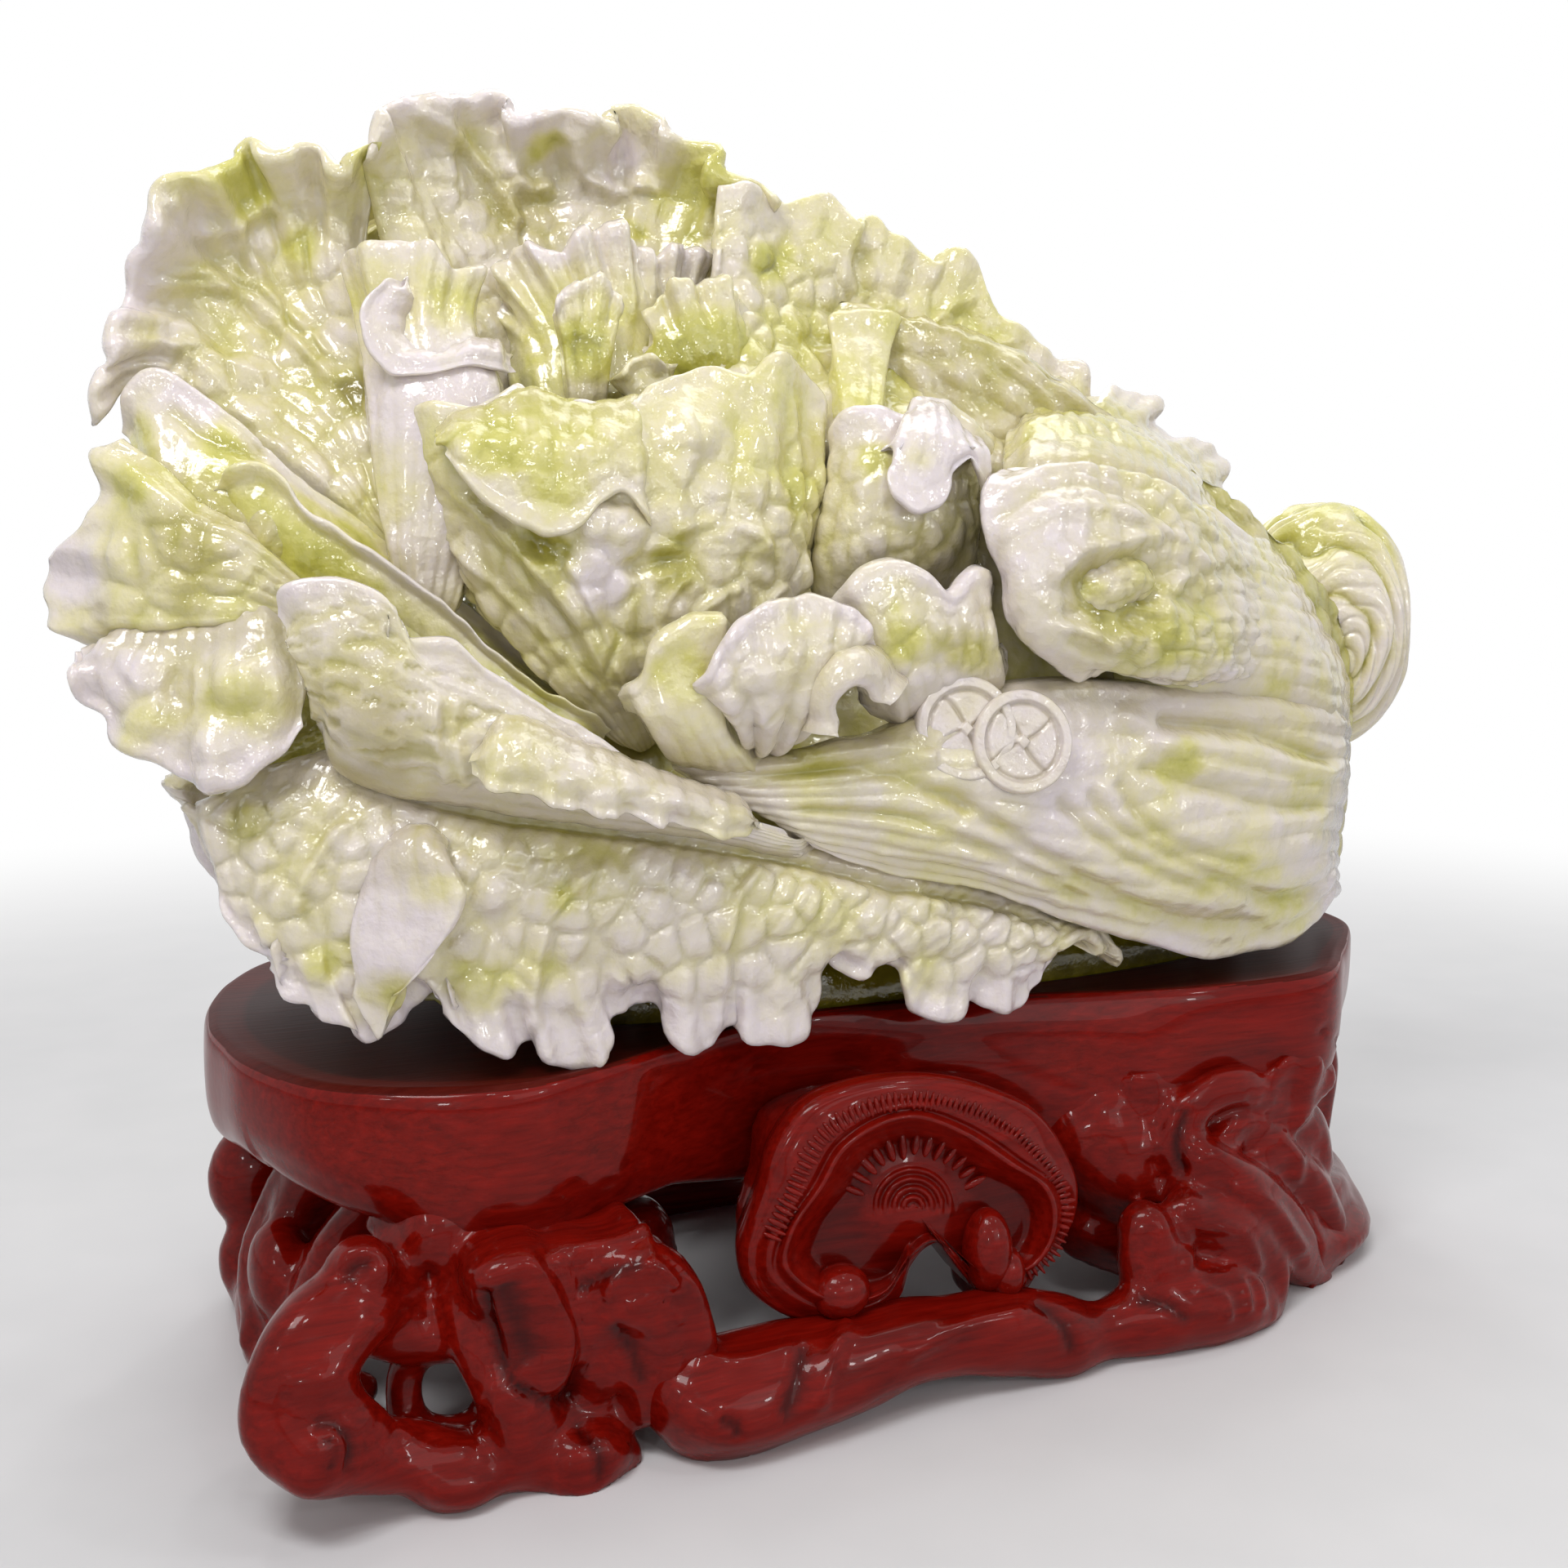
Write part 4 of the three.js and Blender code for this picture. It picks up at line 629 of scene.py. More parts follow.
@dataclass(frozen=True)
class NumberedFinish:
    """What the stone and the wood share: a colour ramp, darkened by painted shade in the hollows."""

    name: str

    def begin(self) -> tuple[bpy.types.Material, bpy.types.NodeTree, bpy.types.Node]:
        """Starts the node material.

        Returns:
            The material, its tree and its shader.
        """
        made = bpy.data.materials.new(self.name)
        made.use_nodes = True
        return made, made.node_tree, made.node_tree.nodes["Principled BSDF"]

    def paint(self, tree: bpy.types.NodeTree, share: bpy.types.NodeSocket,
              stops: tuple[tuple[float, str], ...], deep: str) -> bpy.types.NodeSocket:
        """Adds the colour.

        Args:
            tree: the material's tree.
            share: what the colour ramp reads.
            stops: the ramp's stops.
            deep: the colour that the shaded hollows are multiplied by.

        Returns:
            The colour's socket.
        """
        ramp = add_node(tree, "ShaderNodeValToRGB", {"Fac": share})
        set_stops(ramp, stops)
        shade = add_node(tree, "ShaderNodeAttribute", attribute_name="shade").outputs["Fac"]
        return add_node(tree, "ShaderNodeMix", {
            "Factor": shade, 6: ramp.outputs["Color"], 7: colour(deep),
        }, data_type="RGBA", blend_type="MULTIPLY").outputs[2]


@dataclass(frozen=True)
class PolishedJade(NumberedFinish):
    """Serpentine jade, carved and polished with oil.

    The eye gets a wet, slightly waxy gloss with sharp small glints, and colour that runs from
    lilac white through cream to yellow green, clouded in soft patches a few millimetres across.
    """

    stops: tuple[tuple[float, str], ...] = (
        (0.0, "#DED4D5"), (0.25, "#DDD4C2"), (0.45, "#DBD3A6"), (0.66, "#CFCA76"),
        (0.86, "#BCB953"), (1.0, "#9C9940"),
    )
    # The colour that painted shade darkens the ramp towards, in creases and hollows.
    deep: str = "#A89C66"
    cloud: float = 7.0
    fleck: float = 1.6
    fleck_height: float = 0.3
    ripple: float = 4.2
    ripple_height: float = 1.1
    roughness: float = 0.12
    index: float = 1.56
    glow: float = 0.3
    glow_reach: float = 4.0
    coat: float = 0.5
    coat_roughness: float = 0.03

    def material(self) -> bpy.types.Material:
        """Builds the node material.

        Returns:
            The material.
        """
        made, tree, shader = self.begin()
        place = add_node(tree, "ShaderNodeTexCoord").outputs["Object"]
        green = add_node(tree, "ShaderNodeAttribute", attribute_name="green").outputs["Fac"]
        clouds = noise(tree, place, self.cloud, 4.0, Roughness=0.6).outputs["Fac"]
        swing = add_node(tree, "ShaderNodeMath", {0: clouds, 1: 0.5, 2: -0.25},
                         operation="MULTIPLY_ADD").outputs[0]
        mixed = add_node(tree, "ShaderNodeMath", {0: green, 1: swing}, operation="ADD").outputs[0]
        tree.links.new(self.paint(tree, mixed, self.stops, self.deep), shader.inputs["Base Color"])
        grain = noise(tree, place, self.fleck, 2.0).outputs["Fac"]
        gloss = add_node(tree, "ShaderNodeMapRange", {
            "Value": grain, "To Min": self.roughness * 0.6, "To Max": self.roughness * 1.5,
        }).outputs["Result"]
        tree.links.new(gloss, shader.inputs["Roughness"])
        waves = noise(tree, place, self.ripple, 3.0).outputs["Fac"]
        under = bump(tree, waves, 0.7, self.ripple_height)
        over = bump(tree, grain, 0.25, self.fleck_height, Normal=under)
        tree.links.new(over, shader.inputs["Normal"])
        set_sockets(shader, {
            "IOR": self.index, "Subsurface Weight": self.glow,
            "Subsurface Radius": (1.0, 1.0, 0.6), "Subsurface Scale": self.glow_reach * MILLIMETRE,
            "Coat Weight": self.coat, "Coat Roughness": self.coat_roughness,
        })
        return made


@dataclass(frozen=True)
class LacqueredWood(NumberedFinish):
    """Carved hardwood under many coats of red lacquer.

    The eye gets a deep red that lets the long grain through, darker in the carved hollows
    where shade is painted, with a hard glassy gloss.
    """

    stops: tuple[tuple[float, str], ...] = (
        (0.0, "#3A0401"), (0.4, "#640903"), (0.7, "#7F1007"), (1.0, "#A0220E"),
    )
    # The colour that painted shade darkens the ramp towards, in the carved hollows.
    deep: str = "#3C1410"
    grain: float = 2.2
    grain_height: float = 0.4
    stretch: float = 0.07
    roughness: float = 0.2
    index: float = 1.5
    specular: float = 0.05
    coat: float = 0.24
    coat_roughness: float = 0.03

    def material(self) -> bpy.types.Material:
        """Builds the node material.

        Returns:
            The material.
        """
        made, tree, shader = self.begin()
        place = add_node(tree, "ShaderNodeTexCoord").outputs["Object"]
        along = add_node(tree, "ShaderNodeMapping", {
            "Vector": place, "Scale": (self.stretch, 1.0, 1.0),
        }).outputs["Vector"]
        fibres = noise(tree, along, self.grain, 5.0, Roughness=0.65, Distortion=0.4).outputs["Fac"]
        tree.links.new(self.paint(tree, fibres, self.stops, self.deep), shader.inputs["Base Color"])
        tree.links.new(bump(tree, fibres, 0.25, self.grain_height), shader.inputs["Normal"])
        set_sockets(shader, {
            "Roughness": self.roughness, "IOR": self.index, "Specular IOR Level": self.specular,
            "Coat Weight": self.coat, "Coat Roughness": self.coat_roughness,
        })
        return made


FINISHES: dict[Slot, PolishedJade | LacqueredWood] = {
    Slot.JADE_PALE: PolishedJade("serpentine_jade_pale_oil_polished"),
    Slot.JADE_GREEN: PolishedJade("serpentine_jade_green_oil_polished"),
    Slot.JADE_LILAC: PolishedJade("serpentine_jade_lilac_oil_polished"),
    Slot.LACQUERED_WOOD: LacqueredWood("hardwood_red_lacquered"),
}
# The slab's level top: a darker, browner and duller copy of the lacquer, with no glassy gloss.
DULL_TOP_WOOD = LacqueredWood(
    "hardwood_red_lacquer_dull_top", deep="#5A2A1C", roughness=0.42, coat=0.0, specular=0.06,
    stops=((0.0, "#2E0704"), (0.4, "#470E08"), (0.7, "#571710"), (1.0, "#6B2418")),
)


@dataclass
class Dresser:
    """Makes each finish once and hands it out."""

    made: dict[str, bpy.types.Material] = field(default_factory=dict)

    def finish(self, slot: Slot) -> bpy.types.Material:
        """Gives the material of a slot."""
        return self.coat(FINISHES[slot])

    def coat(self, finish: PolishedJade | LacqueredWood) -> bpy.types.Material:
        """Gives the material of a finish, which is made when it is first asked for.

        Args:
            finish: the finish.

        Returns:
            Its material.
        """
        if finish.name not in self.made:
            self.made[finish.name] = finish.material()
        return self.made[finish.name]


@dataclass(frozen=True)
class Rib:
    """A raised line, or a groove where its height is below zero, drawn in pixels."""

    line: tuple[tuple[float, float], ...]
    height: float
    width: float


def millimetres_apart(spots: np.ndarray, line: tuple[tuple[float, float], ...]) -> tuple[
    np.ndarray, np.ndarray
]:
    """Measures how far places lie from a smooth line through pixels.

    Args:
        spots: the places' own pixels, last axis u, v.
        line: the pixels that the line runs through.

    Returns:
        The distance in millimetres, and the share of the line's length.
    """
    apart, along = line_distance(spots, smooth_line(np.array(line, float), 6))
    return apart * PIXEL_SIZE, along


@dataclass(frozen=True)
class Patch:
    """A round patch of colour, drawn in pixels; its shade is painted shade, taken away below zero."""

    u: float
    v: float
    radius: float
    green: float
    shade: float = 0.0


@dataclass(frozen=True)
class Dent:
    """An oval hollow, or a puff where its depth is below zero, drawn in pixels."""

    u: float
    v: float
    wide: float
    high: float
    depth: float
    turn_degrees: float = 0.0

    def share(self, spots: np.ndarray) -> np.ndarray:
        """Finds where the hollow lies.

        Args:
            spots: the places' own pixels.

        Returns:
            How fully each place lies in it, from 0 to 1.
        """
        turn = math.radians(self.turn_degrees)
        across, down = spots[..., 0] - self.u, spots[..., 1] - self.v
        along = across * math.cos(turn) + down * math.sin(turn)
        beside = down * math.cos(turn) - across * math.sin(turn)
        return 1 - smooth_step(0.35, 1.15, np.hypot(along / self.wide, beside / self.high))


def run_along(row: np.ndarray) -> np.ndarray:
    """Gives how far along a row each of its places lies."""
    return np.cumsum(np.linalg.norm(np.diff(row, axis=0, prepend=row[:1]), axis=-1))[None, :]


@dataclass(frozen=True)
class Leaf:
    """One carved leaf: rows of picks from where it grows to its free edge, and its relief.

    Blisters are the domes of its wrinkled face. Streaks are veins from its base to its edge,
    flows are veins along its rows, and dashes are short cut strokes. The frill makes its edge
    uneven, the ruffle waves it and the lip turns it out. The tuck sinks its sides, and the root
    is what it grows on with, bent into the stone. These are millimetres. Green and edge_green
    are the colour's numbers, edge_share is the wall left at the edge and back_relief is how
    much of the relief the back shows, both as shares.
    """

    name: str
    rows: tuple[tuple[tuple[float, float, float], ...], ...]
    layers: tuple[float, ...]
    wall: float
    slot: Slot
    blister: float = 0.0
    blister_size: float = 9.5
    ruffle: float = 0.0
    ruffle_length: float = 30.0
    streak: float = 0.45
    streak_width: float = 6.5
    flow: float = 0.0
    flow_width: float = 7.0
    swell: float = 0.8
    swell_size: float = 24.0
    ripple: float = 0.6
    ripple_size: float = 8.5
    grain: float = 0.25
    grain_size: float = 4.2
    dash: float = 0.0
    dash_length: float = 8.0
    frill: float = 1.8
    tuck: float = 5.0
    tuck_reach: float = 11.0
    root: float = 16.0
    root_bend: float = 10.0
    lip: float = 0.9
    green: float = 0.34
    edge_green: float = 0.0
    ribs: tuple[Rib, ...] = ()
    patches: tuple[Patch, ...] = ()
    dents: tuple[Dent, ...] = ()
    behind: bool = False
    spacing: float = 1.3
    edge_share: float = 0.55
    back_relief: float = 0.35

    def seed(self) -> float:
        """Gives a fixed seed that differs from leaf to leaf."""
        return float(sum(ord(letter) for letter in self.name) % 97)

    def grid(self) -> np.ndarray:
        """Lays the leaf's face.

        Returns:
            Its places, first axis from its base to its edge.
        """
        rows = []
        for i, row in enumerate(self.rows):
            layer = self.layers[min(i, len(self.layers) - 1)]
            rows.append(smooth_line(pick_places(np.array(row, float), layer), 24))
        longest = max(np.linalg.norm(np.diff(row, axis=0), axis=1).sum() for row in rows)
        columns = int(np.clip(longest / self.spacing, 12, 400))
        down = smooth_line(np.stack([even_line(row, columns) for row in rows]), 16)
        height = np.linalg.norm(np.diff(down, axis=0), axis=-1).sum(axis=0).max()
        grid = even_line(down, int(np.clip(height / self.spacing, 6, 150)))
        ahead = unit(grid[-1] - grid[-1 - max(1, len(grid) // 8)])
        seed = self.seed()
        frill = 0.7 * soft_noise(grid[-1], 13, seed + 30) + 0.5 * soft_noise(grid[-1], 5.5, seed + 31)
        t = np.linspace(0, 1, len(grid))[:, None]
        weight = smooth_step(0.75, 1, t) * self.frill * frill[None, :]
        return grid + weight[..., None] * ahead[None]

    def rooted(self, grid: np.ndarray, normals: np.ndarray) -> np.ndarray:
        """Lets the leaf grow on past its base, bending into the stone.

        Args:
            grid: the face's places, first row at the base.
            normals: the face's outward normals.

        Returns:
            The rows that come before the base, deepest first.
        """
        onward = unit(grid[0] - grid[max(1, len(grid) // 6)])
        rows = []
        for k in range(int(self.root / self.spacing), 0, -1):
            angle = min(k * self.spacing / self.root_bend, 1.5)
            rows.append(grid[0] + onward * self.root_bend * math.sin(angle)
                        - normals[0] * self.root_bend * (1 - math.cos(angle)))
        return np.stack(rows)

    def spots(self, grid: np.ndarray) -> np.ndarray:
        """Gives the pixels of places; a leaf at the back is seen as its mirror at the front."""
        return SIGHT.pixels(turned_behind(grid) if self.behind else grid)

    def relief(self, grid: np.ndarray, t: np.ndarray) -> tuple[np.ndarray, np.ndarray]:
        """Works out the relief of the face.

        Args:
            grid: the face's places.
            t: the share of the way to the free edge at each place.

        Returns:
            The rise along the normal, and how deep in a crease each place lies from 0 to 1.
        """
        seed = self.seed()
        rise = (self.swell * soft_noise(grid, self.swell_size, seed)
                + self.ripple * soft_noise(grid, self.ripple_size, seed + 20))
        rise += self.grain * soft_noise(grid, self.grain_size, seed + 21)
        crease = np.zeros(grid.shape[:2])
        self.add_veins(grid, t, rise, crease)
        self.add_cuts(self.spots(grid), t, rise, crease)
        if self.ruffle:
            phase = run_along(grid[-1]) / self.ruffle_length * math.tau
            phase = phase + 2.2 * soft_noise(grid[-1], 45, seed + 9)
            wave = np.sin(phase) + 0.45 * np.sin(2.3 * phase + seed)
            rise += self.ruffle * smooth_step(0.5, 1.0, t) * wave
        rise += self.lip * smooth_step(0.86, 1.0, t)
        run = run_along(grid[len(grid) // 2])
        near_end = np.minimum(run, run.max() - run)
        reach = min(self.tuck_reach, 0.14 * float(run.max()))
        rise -= self.tuck * (1 - smooth_step(0, reach, near_end)) ** 2
        return rise, np.clip(crease, 0, 1)

    def add_veins(self, grid: np.ndarray, t: np.ndarray, rise: np.ndarray,
                  crease: np.ndarray) -> None:
        """Adds the blisters, the streaks and the flows.

        Args:
            grid: the face's places.
            t: the share of the way to the free edge at each place.
            rise: the rise so far, which is added to.
            crease: the creases so far, which are added to.
        """
        seed = self.seed()
        if self.blister:
            domes = pebbles(grid, self.blister_size, seed)
            reach = smooth_step(0.0, 0.2, t) * (1 - 0.85 * smooth_step(0.72, 0.95, t))
            rise += self.blister * domes * reach
            crease += (1 - domes) * reach * 0.7
        if self.streak:
            run = run_along(grid[len(grid) // 2])
            wave = np.abs(np.sin(run / self.streak_width * math.pi
                                 + 1.6 * soft_noise(grid, 26, seed + 5)))
            fade = 1 - 0.75 * smooth_step(0.35, 0.85, t)
            rise += self.streak * (wave - 0.5) * fade
            crease += 0.3 * (1 - wave) ** 3 * fade
        if self.flow:
            tall = np.linalg.norm(np.diff(grid, axis=0), axis=-1).sum(axis=0).mean()
            wave = np.abs(np.sin(t * tall / self.flow_width * math.pi
                                 + 1.8 * soft_noise(grid, 60, seed + 6)))
            rise += self.flow * (wave - 0.5)
            crease += 0.3 * (1 - wave) ** 3

    def add_cuts(self, spots: np.ndarray, t: np.ndarray, rise: np.ndarray,
                 crease: np.ndarray) -> None:
        """Adds the ribs, the dents and the dashes.

        Args:
            spots: the pixels of the face's places.
            t: the share of the way to the free edge at each place.
            rise: the rise so far, which is added to.
            crease: the creases so far, which are added to.
        """
        for drawn in self.ribs:
            apart, along = millimetres_apart(spots, drawn.line)
            taper = smooth_step(0, 0.08, along) * (1 - smooth_step(0.92, 1, along))
            shape = bell(apart, drawn.width)
            rise += drawn.height * shape * taper
            beside = bell(np.abs(apart) - drawn.width * 1.3, drawn.width)
            crease += 0.3 * (beside if drawn.height > 0 else shape * 3) * taper
        for dent in self.dents:
            share = dent.share(spots)
            rise -= dent.depth * share
            crease += (0.7 if dent.depth > 0 else -0.3) * share
        if self.dash:
            flat = np.stack([spots[..., 0] / 3, spots[..., 1], 0 * spots[..., 0]], axis=-1)
            marks = smooth_step(0.1, 0.5, soft_noise(flat, self.dash_length, self.seed() + 40))
            marks = marks * smooth_step(0.05, 0.2, t) * (1 - smooth_step(0.75, 0.95, t))
            rise -= self.dash * marks
            crease += 0.8 * marks

    def tint(self, grid: np.ndarray, t: np.ndarray, crease: np.ndarray) -> tuple[
        np.ndarray, np.ndarray
    ]:
        """Works out the colour numbers of the face.

        Args:
            grid: the face's places.
            t: the share of the way to the free edge at each place.
            crease: how deep in a crease each place lies.

        Returns:
            How green each place is, and how deep in shade.
        """
        seed = self.seed()
        # Painted shade: creases are made greener and darker, and the base, where the leaf dips into the
        # stone, darker.
        green = self.green + 0.2 * soft_noise(grid, 38, seed + 1)
        green += 0.13 * soft_noise(grid, 13, seed + 2) + 0.22 * crease
        green += self.edge_green * smooth_step(0.6, 0.9, t)
        green += (0.24 * soft_noise(grid, 34, seed + 4) - 0.1) * smooth_step(0.88, 1.0, t)
        shade = 0.25 * crease + 0.3 * (1 - smooth_step(0.0, 0.2, t))
        spots = self.spots(grid)
        ragged = 1 + 0.5 * soft_noise(grid, 13, seed + 3) + 0.3 * soft_noise(grid, 5.5, seed + 13)
        for patch in self.patches:
            apart = np.linalg.norm(spots - np.array([patch.u, patch.v]), axis=-1) * ragged
            share = 1 - smooth_step(0.2 * patch.radius, 1.4 * patch.radius, apart)
            green += share * patch.green
            shade += share * patch.shade
        return green, shade

    def skin(self) -> Skin:
        """Builds the leaf.

        Returns:
            A closed sheet with a rounded edge.
        """
        grid = self.grid()
        normals = grid_normals(grid)
        t = np.linspace(0, 1, grid.shape[0])[:, None] * np.ones(grid.shape[:2])
        rise, crease = self.relief(grid, t)
        green, shade = self.tint(grid, t, crease)
        if self.root:
            before = self.rooted(grid, normals)
            grid = np.concatenate([before, grid])
            normals = grid_normals(grid)
            t = np.concatenate([np.zeros((len(before), t.shape[1])), t])
            rise, green, shade = (
                np.concatenate([np.repeat(part[:1], len(before), axis=0), part])
                for part in (rise, green, shade)
            )
        wall = self.wall * (1 - (1 - self.edge_share) * t**2)
        face = grid + normals * rise[..., None]
        back = grid + normals * (self.back_relief * rise - wall)[..., None]
        if self.behind:
            face, back = turned_behind(face), turned_behind(back)
        return closed_sheet(face, back, green, shade)


# The rim of a sheet is rounded through these angles, and bulges by a share of half its wall.
RIM_ANGLES = (35.0, 90.0, 145.0)
RIM_BULGE = 0.9
# How much deeper in shade the back of a sheet is than its face.
BACK_SHADE = 0.15


def closed_sheet(face: np.ndarray, back: np.ndarray, green: np.ndarray,
                 shade: np.ndarray) -> Skin:
    """Closes a face and a back into one skin with a rounded rim.

    Args:
        face: the grid of the face.
        back: the grid of the back.
        green: how green the face is at each place.
        shade: how deep in shade the face is at each place.

    Returns:
        The closed skin.
    """
    high, wide = face.shape[:2]
    count = high * wide
    index = np.arange(count).reshape(high, wide)
    a, b = index[:-1, :-1].ravel(), index[:-1, 1:].ravel()
    c, d = index[1:, 1:].ravel(), index[1:, :-1].ravel()
    loop = np.concatenate([index[0, :-1], index[:-1, -1], index[-1, :0:-1], index[:0:-1, 0]])
    outward = edge_directions(face).reshape(count, 3)[loop]
    flat_face, flat_back = face.reshape(count, 3), back.reshape(count, 3)
    middle = (flat_face[loop] + flat_back[loop]) / 2
    half = (flat_face[loop] - flat_back[loop]) / 2
    thick = np.linalg.norm(half, axis=-1, keepdims=True)
    rings = [loop]
    places = [flat_face, flat_back]
    for step, angle in enumerate(RIM_ANGLES):
        turn = math.radians(angle)
        places.append(middle + half * math.cos(turn) + outward * thick * math.sin(turn) * RIM_BULGE)
        rings.append(2 * count + step * len(loop) + np.arange(len(loop)))
    rings.append(loop + count)
    faces = [np.stack([a, b, c, d], axis=1), np.stack([d, c, b, a], axis=1) + count]
    for one, two in zip(rings, rings[1:]):
        faces.append(np.stack([np.roll(one, -1), one, two, np.roll(two, -1)], axis=1))
    rim = len(RIM_ANGLES)
    flat_green, flat_shade = green.ravel(), shade.ravel()
    return Skin(
        np.concatenate(places),
        [tuple(corners) for corners in np.concatenate(faces).tolist()],
        np.concatenate([flat_green, flat_green] + [flat_green[loop]] * rim),
        np.concatenate([flat_shade, flat_shade + BACK_SHADE] + [flat_shade[loop]] * rim),
    )


def edge_directions(grid: np.ndarray) -> np.ndarray:
    """Finds the way outwards at the edge of a grid.

    Args:
        grid: the places.

    Returns:
        The outward unit vector at each edge place, and nothing within.
    """
    out = np.zeros_like(grid)
    out[0] += grid[0] - grid[1]
    out[-1] += grid[-1] - grid[-2]
    out[:, 0] += grid[:, 0] - grid[:, 1]
    out[:, -1] += grid[:, -1] - grid[:, -2]
    return unit(out)


